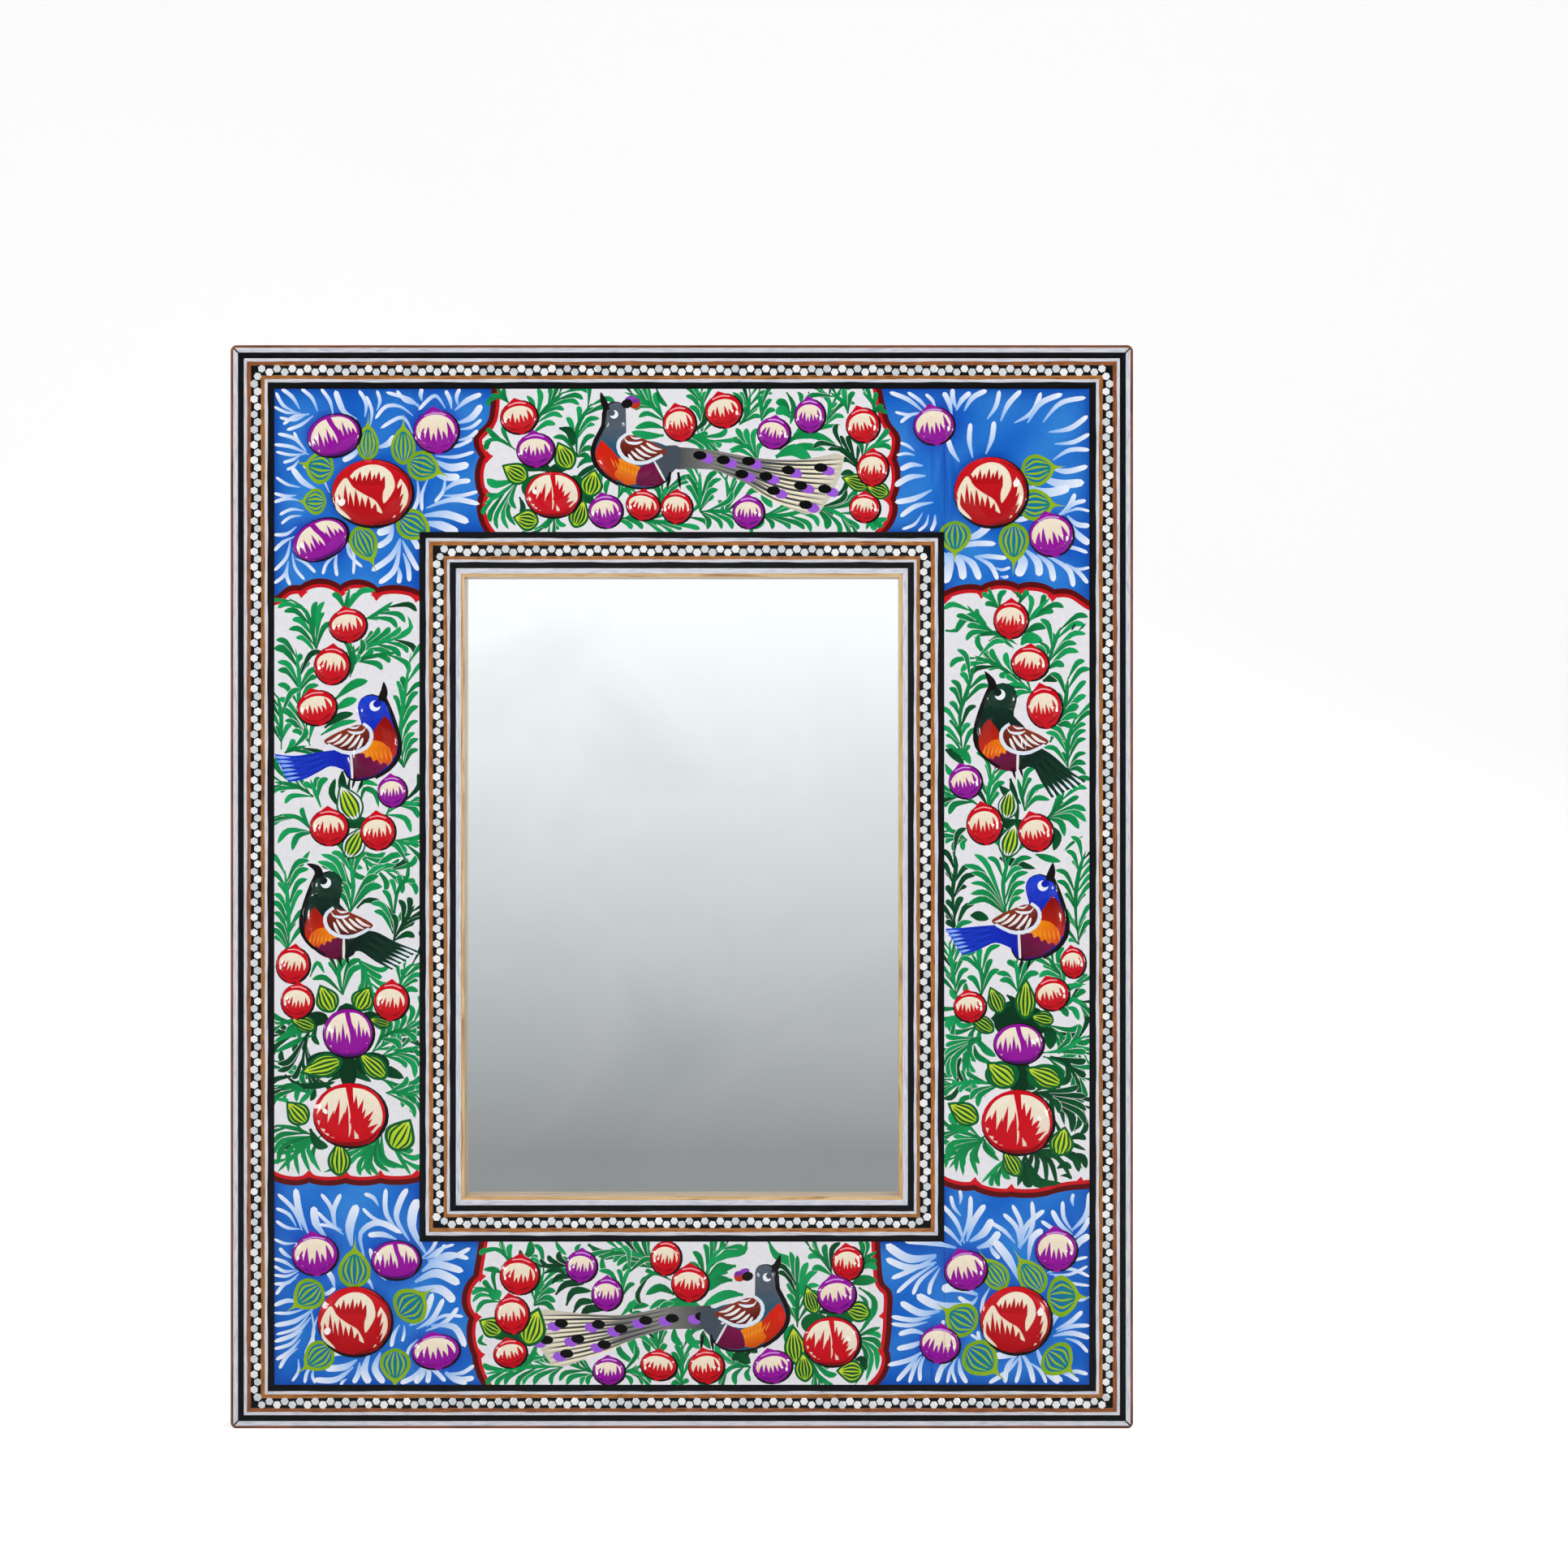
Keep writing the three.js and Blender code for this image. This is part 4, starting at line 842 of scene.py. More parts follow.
def perched_bird(x, z, facing, coat, upper, lower, beak, wing_place=(0, 0)):
    """A small bird seen from the side, placed by its head; its tail lies between two edges."""
    black = coat == BIRD_BLACK
    light, dark = ("17402f", "040d0a") if black else ("1c42d4", "081678")
    at = about(x, z, facing)

    def shape(points, colour, tip=None, start=None, end=None):
        if black:
            points = [(0.85 * u + 0.7, 0.84 * v - 4.2) for u, v in points]
        patch([at(*p) for p in points], colour, tip, start and at(*start), end and at(*end))

    raise_dome(*at(-0.2, -10.4), 6.4, 9.0, -20 * facing, BUD_DOME)
    raise_dome(*at(-0.2, 0), 4.3, 4.2, 0, HEAD_DOME)
    outline = [(3.0, 3.0), (4.4, 0.6), (6.0, -4.2), (7.3, -9.3), (6.9, -13.2), (4.4, -16.6), (0.2, -19.0),
               (-4.6, -20.0), (-7.4, -19.0), (-8.8, -15.5), (-8.4, -11.4), (-6.2, -7.6), (-3.5, -5.0),
               (-3.9, -2.4), (-4.5, 0.4), (-3.5, 3.0), (-0.5, 4.2)]
    patch([at(*p) for p in outline], INK, steps=18)
    inner = [(u * 0.93 - 0.3, v * 0.965 - 0.15) for u, v in outline]
    patch([at(*p) for p in inner], coat, light, at(0, -9), at(0, 5), 18)
    lay(smooth(upper) + smooth(lower)[::-1], coat, light, upper[0], upper[-1])
    for i in range(7):
        streak = between(upper, lower, (i + 0.6) / 7)
        blade(streak[1:], 0.5, light if i % 2 else dark, dark if i % 2 else light, 0.5)
    for i in range(6):
        streak = between(upper, lower, (i + 0.7) / 6.4)
        (near_x, near_z), (end_x, end_z) = streak[-2:]
        start = near_x + 0.3 * (end_x - near_x), near_z + 0.3 * (end_z - near_z)
        past = end_x + 0.12 * (end_x - near_x), end_z + 0.12 * (end_z - near_z)
        blade([start, past], 0.75, "cfdae2" if black else "a4c2f2", "eef2f6" if black else "6c9cec", 0.6)
    shape([(2.9, -1.9), (4.7, -3.6), (6.2, -7.4), (6.4, -10.4), (5.6, -13.2), (2.4, -12.2), (-0.2, -10.4),
           (-0.4, -6.8)], "c02408", "8c0c08", (1, -13), (4, -4))
    shape([(-0.3, -8.6), (2.4, -9.2), (4.6, -11.4), (5.3, -13.6), (3.8, -15.7), (2.7, -14.7), (1.9, -15.3),
           (0.9, -14.0), (-0.1, -14.5), (-0.9, -13.1), (-2.2, -13.5), (-2.7, -12.3), (-4.2, -12.1),
           (-2.2, -10.2)], "dd5206", "f0900f", (4, -14), (-2, -11))
    shape([(-6.1, -12.3), (-3.0, -12.3), (-2.3, -13.5), (-0.9, -13.1), (-0.1, -14.5), (0.9, -14.0),
           (1.9, -15.3), (2.7, -14.8), (3.6, -15.7), (0.4, -18.2), (-3.4, -19.1), (-6.0, -18.9)],
          "5c0c30", MAGENTA, (-4, -19), (2, -13))
    for i in range(6):
        u = -2.4 + 1.3 * i
        root, tip = (u, -10.6 + 0.1 * i), (u + 0.9, -13.2 - 0.25 * i)
        streak = [(0.85 * p + 0.7, 0.84 * q - 4.2) if black else (p, q) for p, q in (root, tip)]
        blade([at(*p) for p in streak], 0.35, "e85a08", "fbb63a", 0.5)
    band = ((-4.7, -14.6), (-4.6, -20.0)) if black else ((-6.4, -11.7), (-6.0, -19.2))
    cord([at(*band[0]), at(*band[1])], 0.75, "e8e6e2")
    wing(lambda u, v: at(u + wing_place[0], v + wing_place[1]), WING_FEATHERS)
    cord([at(2.6, 4.2), at(4.3, 0.6), at(6.1, -4.4), at(7.3, -9.4), at(6.8, -13.4), at(4.2, -16.8),
          at(0.4, -19.1)], 0.95, INK)
    blade([at(2.0, 2.2), at(2.8, 4.8), at(*beak)], 2.3, INK, belly=0.3, blunt=0.9)
    oval(*at(0.3, 0.9), 1.5, 1.5, "eef2f6", count=14)
    oval(*at(0.95, 1.45), 1.15, 1.0, coat, 20, count=12)
    for u, v in ((-3.2, -19.4), (-5.2, -18.9)):
        blade([at(u, v), at(u - 0.9, v - 3.2)], 0.75, INK, belly=0.4, blunt=0.9)


def long_tailed_bird(x, z, facing, tail, spots, crest=(0, 0)):
    """A grey bird whose long striped tail carries black and purple spots."""
    at = about(x, z, facing)

    def shape(points, colour, tip=None, start=None, end=None):
        patch([at(*p) for p in points], colour, tip, start and at(*start), end and at(*end))

    raise_dome(*at(-3.6, -11.9), 9.2, 6.1, 18 * facing, BUD_DOME)
    raise_dome(*at(0.3, 0.2), 2.9, 4.3, 0, HEAD_DOME)
    upper, lower = tail
    patch(upper + lower[::-1], "3a4048", "cfc8b6", at(-15, -11), at(-58, -14), 16)
    for i in range(11):
        line = between(upper, lower, (i + 0.5) / 11)
        blade(line[1:], 0.8 if i % 2 else 0.5, "4e5256" if i % 2 else "8b8982", "3b3a3a", belly=0.5)
        blade([(p[0], p[1] - 0.6) for p in line[2:]], 0.62, "f1e7cb", belly=0.6)
    for spot_x, spot_z in spots:
        oval(spot_x + 2.0 * -facing, spot_z - 0.9, 1.9, 1.3, "9c58d6", -12, count=12)
        oval(spot_x, spot_z, 1.9, 1.25, "08080a", -4, count=12)
    outline = [(3.1, 2.4), (3.5, -1.4), (5.5, -5.4), (6.5, -8.9), (5.9, -12.0), (3.5, -15.2), (-0.2, -17.8),
               (-5.2, -19.3), (-10.2, -19.2), (-13.7, -17.4), (-15.4, -14.6), (-15.4, -11.0), (-14.2, -7.4),
               (-9.2, -6.0), (-3.4, -5.6), (-2.6, -2.6), (-2.5, 3.0), (-1.6, 4.6), (0.6, 5.0), (2.2, 4.4)]
    patch([at(*p) for p in outline], INK, steps=18)
    inner = [(u * 0.95 - 0.3, v * 0.965 - 0.1) for u, v in outline]
    patch([at(*p) for p in inner], "1c5470", "525c68", at(0, -9), at(0, -2), 18)
    shape([(-14, -7.2), (-17.5, -7.6), (-17.5, -12.4), (-13.4, -15.6), (-10.6, -11.4)], "454e59")
    shape([(4.1, -5.6), (5.7, -8.9), (5.2, -11.8), (3.0, -14.7), (-0.2, -16.9), (-1.4, -15.6), (-1.2, -11.8),
           (0.2, -9.6), (1.4, -8.2)], "c02a0a", "d8200e", (0, -16), (5, -7))
    shape([(-0.8, -10.6), (-0.6, -13.4), (0.4, -15.4), (-2.6, -18.0), (-5.8, -17.6), (-5.6, -15.6),
           (-6.9, -13.4), (-3.4, -12.0)], "d84e06", "ee8c12", (-2, -18), (-4, -12))
    shape([(-6.8, -13.2), (-5.8, -15.4), (-5.9, -18.2), (-10.2, -18.4), (-13.2, -16.8), (-10.4, -12.2)],
          "650b3a", MAGENTA, (-10, -18), (-8, -12))
    for i in range(7):
        root, tip = at(1.6 - 1.1 * i, -10.4 - 0.45 * i), at(0.2 - 1.0 * i, -13.4 - 0.4 * i)
        blade([root, tip], 0.35, "d8400a", "fbb63a", 0.5)
    cord([at(-10.6, -11.6), at(-13.5, -16.9)], 0.6, "e8e6e2")
    wing(at, (((-3.4, -9.6), (-5.4, -11.6)), ((-4.2, -8.8), (-8.0, -11.2)), ((-5.4, -8.0), (-9.8, -10.4)),
              ((-6.8, -7.2), (-11.4, -9.3)), ((-8.4, -6.5), (-12.8, -8.3))))
    cord([at(2.6, 4.4), at(3.4, 1.6), at(3.6, -1.8), at(5.6, -5.6), at(6.5, -9), at(5.8, -12.2),
          at(3.2, -15.4), at(-0.6, -17.9)], 1.3, INK)
    blade([at(2.4, 2.6), at(3.4, 4.8), at(4.3, 7.6)], 1.9, INK, belly=0.4, blunt=0.9)
    oval(*at(0.6, 1.4), 1.2, 1.2, "eef2f6", count=14)
    oval(*at(1.2, 1.8), 0.9, 0.85, "4a535e", count=12)
    for u, v, wide, high, colour in (
        (-5.2, 4.4, 1.6, 1.5, "b8321e"), (-3.9, 5.8, 1.5, 0.8, "8c3fb4"), (-5.6, 5.2, 1.1, 0.7, "7a2f9a"),
        (-3.0, 4.4, 1.6, 1.3, INK),
    ):
        oval(*at(u + crest[0], v + crest[1]), wide, high, colour, 15, count=12)
    for u in (-15.0, -17.2):
        blade([at(u, -14.6), at(u + (0.8 if u > -16 else -0.6), -19.4)], 0.9, INK, belly=0.4, blunt=0.9)


# The ground of the panels: white, with a blue field in each corner behind a scalloped edge.
# The lobes of the edge bow into the blue and meet in cusps, with a maroon and a red line.
CUSP_PULL, LOBE_PUSH, LOBE_STEPS = 1.5, 0.4, 14
MAROON_LINE, RED_LINE, RED_INSET = 2.4, 1.0, 0.8
WEDGE_SPAN = 1.9
WEDGE_SHAPE = ((0.1, 2.5), (0.45, 1.4), (1, 0.6), (-1, 0.6), (-0.45, 1.4))


def scalloped(points, toward):
    """The line of an edge whose cusps point toward the white."""
    def lift(point):
        return point[0] * toward[0] + point[1] * toward[1]

    inner = range(1, len(points) - 1)
    cusps = [i for i in inner if lift(points[i]) > max(lift(points[i - 1]), lift(points[i + 1]))]
    shifts = [-CUSP_PULL if i in cusps else LOBE_PUSH for i in range(len(points))]
    points = [(x + far * toward[0], z + far * toward[1]) for far, (x, z) in zip(shifts, points)]
    line = []
    for a, b in zip([0] + cusps, cusps + [len(points) - 1]):
        if b - a != 2:
            line += smooth(points[a:b + 1], 8)[:-1]
            continue
        first, lobe, last = points[a:b + 1]
        for i in range(LOBE_STEPS):
            share = i / LOBE_STEPS
            base = first[0] + (last[0] - first[0]) * share, first[1] + (last[1] - first[1]) * share
            bow = 1 - abs(2 * share - 1) ** 2.2
            line.append(tuple(
                c + bow * (l - (f + e) / 2) * abs(w) for c, l, f, e, w in zip(base, lobe, first, last, toward)
            ))
    return line + [points[-1]], [points[i] for i in cusps]


LEFT_TOP_SCALLOP = [(-114.5, 229.6), (-112, 229.9), (-108.6, 232.5), (-105.3, 230.9), (-100, 234.6),
    (-94.6, 230.6), (-90, 234.4), (-84.5, 230.1), (-79, 232.8), (-73.5, 229.6), (-72, 230.4)]
LEFT_LOW_SCALLOP = [(-114.5, 70.6), (-108.6, 68.2), (-103.3, 70.8), (-98, 68), (-93.2, 70.6),
    (-88.4, 68), (-83.6, 70.6), (-78.5, 68.2), (-73.5, 70.8), (-72, 70)]
RIGHT_TOP_SCALLOP = [(72, 229.8), (73, 229.2), (78, 232.9), (83.1, 230.7), (88.6, 234.2), (93.2, 231),
    (98, 233.6), (102.8, 229.8), (107.6, 231.6), (112.6, 228.4), (114.5, 228.2)]
RIGHT_LOW_SCALLOP = [(72, 68.6), (76, 66.8), (81.1, 68.7), (86, 65), (91.2, 66.8), (96, 64.6),
    (100.8, 67), (105.6, 66.4), (110.4, 68.8), (114.5, 67.4)]
TOP_LEFT_SCALLOP = [(-51.9, 288.5), (-52.9, 279), (-57, 273.8), (-53.2, 269.1), (-56.6, 264.3),
    (-53.4, 258.6), (-55.8, 254), (-52.9, 247.5)]
TOP_RIGHT_SCALLOP = [(54.4, 288.5), (56.7, 278.9), (59.8, 274.1), (56.9, 268.3), (59.8, 263),
    (56.5, 257.5), (58.6, 253), (54.6, 247.5)]
LOW_LEFT_SCALLOP = [(-55.3, 52.5), (-55.2, 42), (-60.2, 36.6), (-56.3, 30.7), (-58.8, 25.3),
    (-55.4, 20.3), (-56.4, 16), (-54, 11.5)]
LOW_RIGHT_SCALLOP = [(54.1, 52.5), (55, 40.9), (57.5, 37.1), (55.5, 31.2), (57.2, 27.6), (54.6, 21.5),
    (56.5, 18), (52.6, 11.5)]
FAR = 116
lay([(-FAR, 8), (FAR, 8), (FAR, 292), (-FAR, 292)], WHITE)
for points, toward, before, after in (
    (LEFT_TOP_SCALLOP, (0, -1), [(-FAR, 292)], [(-69, 230), (-69, 292)]),
    (TOP_LEFT_SCALLOP[::-1], (1, 0), [(-74, 292), (-74, 244)], [(-52, 292)]),
    (RIGHT_TOP_SCALLOP, (0, -1), [(69, 292), (69, 230)], [(FAR, 292)]),
    (TOP_RIGHT_SCALLOP, (-1, 0), [(54, 292)], [(74, 244), (74, 292)]),
    (LEFT_LOW_SCALLOP, (0, 1), [(-FAR, 8)], [(-69, 70), (-69, 8)]),
    (LOW_LEFT_SCALLOP, (1, 0), [(-74, 56)], [(-54, 8), (-74, 8)]),
    (RIGHT_LOW_SCALLOP, (0, 1), [(69, 8), (69, 70)], [(FAR, 8)]),
    (LOW_RIGHT_SCALLOP[::-1], (-1, 0), [(52, 8)], [(74, 56), (74, 8)]),
):
    line, cusps = scalloped(points, toward)
    lay(before + line + after, None)
    ribbon(line, [MAROON_LINE] * len(line), "5a0b0b")
    inner_line = [(x + RED_INSET * toward[0], z + RED_INSET * toward[1]) for x, z in line]
    ribbon(inner_line, [RED_LINE] * len(line), "c8141f")
    for x, z in cusps:
        wedge = []
        for along, out in WEDGE_SHAPE:
            aside_x, aside_z = WEDGE_SPAN * along * toward[1], WEDGE_SPAN * along * toward[0]
            wedge.append((x + aside_x + out * toward[0], z + aside_z + out * toward[1]))
        lay(wedge, "d01822")


# Feathers: pale blue-white strokes that fan out round the flowers in the blue corners, painted
# with a soft brush on the dry blue ground. Each stroke starts thin under a flower and ends round.
ROOT_OVERRUN = 0.14
ROUND_END = 0.26


def plume(points, width):
    """One pull of a soft brush: thin where it starts, then even, and round at its end."""
    line = smooth(points)
    last = len(line) - 1
    widths = []
    for i in range(last + 1):
        share = i / last
        end = (1 - max(0, (share - 0.74) / ROUND_END) ** 2.4) ** 0.5
        widths.append(width * min(1, 0.22 + 1.6 * share) * end + 0.04)
    ribbon(line, widths, "8ab8f0", "eef3fc")


def pairs(places):
    """Points, out of their x and z written one after the other."""
    return list(zip(places[::2], places[1::2]))


def plumes(*strokes, width=0.95):
    """Strokes written as tip, root and sometimes a width; each bows a little, as a wrist turns."""
    for tip_x, tip_z, root_x, root_z, *own in strokes:
        bow = brush.choice((-1, 1)) * brush.uniform(0.06, 0.16)
        root_x += ROOT_OVERRUN * (root_x - tip_x)
        root_z += ROOT_OVERRUN * (root_z - tip_z)
        middle_x = (tip_x + root_x) / 2 + bow * (tip_z - root_z)
        middle_z = (tip_z + root_z) / 2 - bow * (tip_x - root_x)
        stroke_width = own[0] if own else width * brush.uniform(0.8, 1.1)
        plume([(root_x, root_z), (middle_x, middle_z), (tip_x, tip_z)], stroke_width)


def bent_plumes(*strokes):
    """Strokes written as the points that each one flows through, and then its width."""
    for *places, width in strokes:
        plume(pairs(places), width)


# Top left corner
plumes(
    (-111, 288, -106.5, 283), (-105.5, 288, -101.5, 282.5), (-100, 288, -97, 281.5),
    (-112.5, 287, -107.5, 282), (-113, 283, -106.5, 281.5), (-111.5, 280, -104.5, 281),
    (-110.5, 278, -104, 280.5), (-109.5, 276.5, -103, 280), (-112, 275.5, -105, 271),
    (-107.5, 276, -104.5, 271.5), (-113, 272.5, -104.5, 270), (-112.5, 270.5, -105, 270),
    (-110.5, 267.5, -106, 269.5), (-109.5, 265.5, -106.5, 268), (-112.5, 263.5, -106.5, 261),
    (-108, 266, -101.5, 260.5, 1.6), (-105, 266.5, -98.5, 260), (-113, 259, -107.5, 258.5),
    (-113, 256.5, -107, 257), (-113, 247.5, -107.5, 249.5), (-113, 243, -108, 246.5),
    (-113, 237.5, -109, 245), (-113, 234, -109.5, 239.5), (-108.5, 233.5, -109, 238.5),
    (-104.5, 235, -107.5, 241.5), (-101.5, 237, -106.5, 240.5), (-99.5, 236.5, -96.5, 241),
    (-95.5, 236, -95.5, 242), (-91, 236.5, -94, 246), (-88.5, 238.5, -92.5, 246),
    (-111.5, 253, -105.5, 254), (-111, 250.5, -106, 252.5), (-94, 268, -89.5, 271.5, 1.5),
)
bent_plumes(
    (-90, 279.5, -93.5, 281.5, -95, 284.5, -96, 287.5, 1.6), (-78, 246.5, -80.5, 241.5, -86, 237.5, 1.6),
    (-78, 246, -79.5, 238, -84, 234, 1.5), (-77.5, 246, -75.5, 242, -73, 237.5, 1.4),
    (-76.5, 248, -74, 245.5, -73, 243.5, 1.5), (-80, 252.5, -81.5, 249, -84.5, 248, 2),
    (-80, 250.5, -81, 246.5, -84.5, 244, 1.6), (-74.5, 280.5, -78, 283, -82, 283, -85, 279.5, 1),
    (-74.5, 275.5, -77.5, 280, -83.5, 277, 1), (-72.5, 282.5, -75.5, 285, -82, 287, 1),
    (-65.5, 282.5, -68.5, 286, -73, 282, 1),
)
plumes(
    (-78.5, 234, -78.5, 238, 1.3), (-75.5, 234.5, -77, 241.5, 1.3), (-75, 253, -73.5, 261.5),
    (-72, 254, -70.5, 262), (-68.5, 256.5, -66, 263), (-58.5, 262.5, -65, 260, 1.4),
    (-61.5, 263.5, -68.5, 265, 2), (-59, 267, -67.5, 268, 2.1), (-56.5, 259.5, -65, 258.5),
    (-56, 256, -69, 255, 1.4), (-59, 251, -70.5, 252.5, 2.1), (-62, 248, -70.5, 250.5, 2.4),
    (-57.5, 270.5, -67, 269.5), (-58, 274, -65.5, 272), (-56.5, 276.5, -61.5, 274),
    (-55.5, 279.5, -61, 277), (-55.5, 283.5, -61.5, 279, 1.8), (-55.5, 286.5, -62, 282.5, 1.4),
    (-87.5, 286, -86.5, 278.5), (-79, 287.5, -73.5, 284), (-72, 288, -72, 285), (-65.5, 287.5, -64, 283),
    (-61.5, 288, -62, 284), (-79.5, 275, -84, 272, 1.6), (-89.5, 287.5, -88, 281),
    (-84.5, 287.5, -84.5, 282.5), width=1.05,
)

# Top right corner
plumes(
    (57.5, 287, 66, 282, 1.2), (62.5, 287, 68, 282), (67.5, 286.5, 70, 282.5), (59, 281.5, 66, 281.5),
    (60.5, 278.5, 66, 281), (72.5, 287, 74.5, 281.5, 1.4), (75, 288, 76, 283, 1.3),
    (80, 287, 76.5, 282.5, 1.4), (84.5, 287.5, 79, 282.5, 1.4), (60.5, 273, 64, 271),
    (59.5, 269.5, 64, 269.5), (60.5, 265.5, 66, 266.5, 1.4), (59, 261, 66.5, 263.5, 1.6),
    (59, 256.5, 68, 259.5, 1.5), (60.5, 252.5, 68.5, 256, 1.3), (61, 249, 66, 253),
    (65.5, 248.5, 68, 252.5), (69, 248.5, 70, 252.5), (88, 287.5, 85, 280.5, 1.2),
    (94, 287.5, 89, 280, 1.4), (99.5, 287, 93, 279.5, 1.3), (105.5, 286.5, 97, 279.5, 1.5),
    (112, 285.5, 101.5, 279.5, 1.3), (112.5, 280.5, 103, 276.5, 1.4), (113, 275.5, 104.5, 273, 1.2),
    (113, 271, 104, 268.5, 1.2), (112.5, 266.5, 101.5, 267, 1.5), (111.5, 262, 99.5, 264, 2.3),
    (107.5, 260.5, 96.5, 261, 2.4), (109, 259, 104, 253, 1.3), (112, 257, 106.5, 253.5, 1.2),
    (113, 254, 107, 253.5), (94.5, 263.5, 98, 259.5), (92.5, 255.5, 97, 256.5), (96.5, 252.5, 91, 252, 1.4),
    (87, 245, 76, 243.5, 1.5), (113, 250, 107.5, 252.5, 1.4), (113, 245, 108.5, 249.5, 1.9),
    (112.5, 242.5, 104.5, 243.5), (91, 238.5, 87, 238.5, 0.8), (90.5, 236, 88.5, 236, 0.8),
    (113, 238.5, 108.5, 238.5, 0.8), (73.5, 274.5, 76.5, 268.5, 1.4), (80, 278.5, 80.5, 270, 1.3),
    (86.5, 279, 84.5, 271, 1.4),
)
bent_plumes(
    (77, 246, 82, 247.5, 86, 251, 2), (71, 243, 74, 240, 73, 234, 2.5),
    (73.5, 242.5, 77, 240, 78, 235, 2.2), (76.5, 242, 80.5, 239.5, 82.5, 235, 1.9),
    (81, 241.5, 85.5, 239, 87.5, 235, 1.3), (92, 243.5, 94.5, 240, 93, 236, 2.7),
    (95, 243.5, 98.5, 240, 99, 236, 2.1), (98.5, 242, 102, 239, 103, 234.5, 1.7),
    (100.5, 242, 107, 238, 108.5, 233, 1.5), (106.5, 239.5, 110, 237, 112.5, 234, 1.2),
    (81, 241.5, 85, 241.5, 90, 241, 1.3),
)

# Bottom left corner
plumes(
    (-112, 65, -106, 56, 1.1), (-112.5, 57.5, -106.5, 55.5), (-112.5, 61, -107.5, 56.5),
    (-102, 61.5, -99, 54, 2.1), (-100, 65, -97, 57.5, 1.1), (-94.5, 65, -95.5, 56, 1.3),
    (-101, 60, -95, 55.5), (-100.5, 56.5, -94.5, 54), (-88, 65, -84.5, 62, 1.1), (-88.5, 61, -82, 57.5),
    (-82, 66.5, -78.5, 55.5, 1.3), (-87, 53.5, -80, 52.5, 1.5), (-113, 47, -108, 44.5),
    (-113, 45, -107.5, 44), (-113, 42.5, -107, 43.5), (-113, 40, -107, 42.5), (-112.5, 37, -107.5, 41),
    (-113, 52.5, -107.5, 51.5), (-111.5, 50, -108.5, 47.5), (-113, 34, -106, 34.5, 1.2),
    (-113, 32, -105.5, 33), (-113, 28.5, -103.5, 32.5, 1.3), (-112.5, 26, -104, 31.5),
    (-113, 24, -104, 30, 1.2), (-113, 22, -106, 26.5), (-112.5, 19, -106.5, 24, 1.1),
    (-111.5, 16.5, -107, 21.5), (-108, 13, -106.5, 18.5), (-104.5, 20.5, -103, 31.5),
    (-102, 22.5, -101, 30), (-98, 21, -90, 20.5, 2.5), (-91, 12.5, -89.5, 17.5, 1.4),
    (-94.5, 12, -93, 13.5, 0.8), (-104.5, 12.5, -102.5, 17, 0.9), (-101.5, 12.5, -102, 16, 0.8),
    (-80.5, 22.5, -78.5, 28, 1.1), (-77.5, 24, -77, 28), (-67.5, 53.5, -71.5, 48), (-65.5, 51, -71, 47.5),
    (-63, 51, -70, 47.5), (-58.5, 50, -69, 47, 1.2), (-59, 47, -69, 46, 1.3), (-60.5, 31, -69.5, 28.5),
    (-57.5, 17.5, -64, 15.5, 1.1), (-57.5, 14, -64.5, 15.5, 1.5), (-59.5, 12.5, -65, 15, 1.3),
    (-78, 12.5, -72, 17.5, 1.4), (-74, 12.5, -71.5, 17.5, 1.7), (-70.5, 12.5, -71, 17.5, 1.4),
    (-65.5, 13, -70.5, 17, 1.2), (-76.5, 19, -73.5, 24), (-96, 39, -100.5, 37.5, 1.1),
    (-98.5, 44, -96.5, 39.5, 1.4), (-89.5, 42.5, -86, 39, 1.1),
)
bent_plumes(
    (-103.5, 54, -106, 60, -107, 66.5, 1.8), (-91.5, 50.5, -92, 56, -90, 62, 2.5),
    (-75.5, 52, -79, 58, -78, 63, -76, 66.5, 1.7), (-71, 48.5, -74.5, 55, -74.5, 60, -73, 63.5, 2.6),
    (-88, 47.5, -89, 54, -84, 57, -77.5, 54, 1.6), (-90, 19, -93.5, 17, -99, 16.5, 1.8),
    (-91, 17, -96, 13.5, -102, 13.5, 1.6), (-86.5, 21, -88, 16, -86.5, 12.5, 2.1),
    (-83.5, 21, -85, 16.5, -82.5, 12.5, 1.9), (-72, 43.5, -68, 45.5, -60.5, 43.5, 2),
    (-74, 40.5, -68, 43, -61.5, 40, 2.4), (-74.5, 38.5, -67, 38.5, -63, 35, 2.4),
    (-75.5, 28.5, -71.5, 31, -69, 37.5, 1.7), (-73.5, 27.5, -69, 30.5, -66, 36, 1.4),
    (-71, 27, -65.5, 29.5, -62, 33.5, 1.2), (-69.5, 28.5, -63, 28, -60, 22.5, 1.8),
    (-78.5, 42, -83, 45, -84, 50, 1.2), (-82, 41, -84.5, 44, -86.5, 50, 1.2),
)

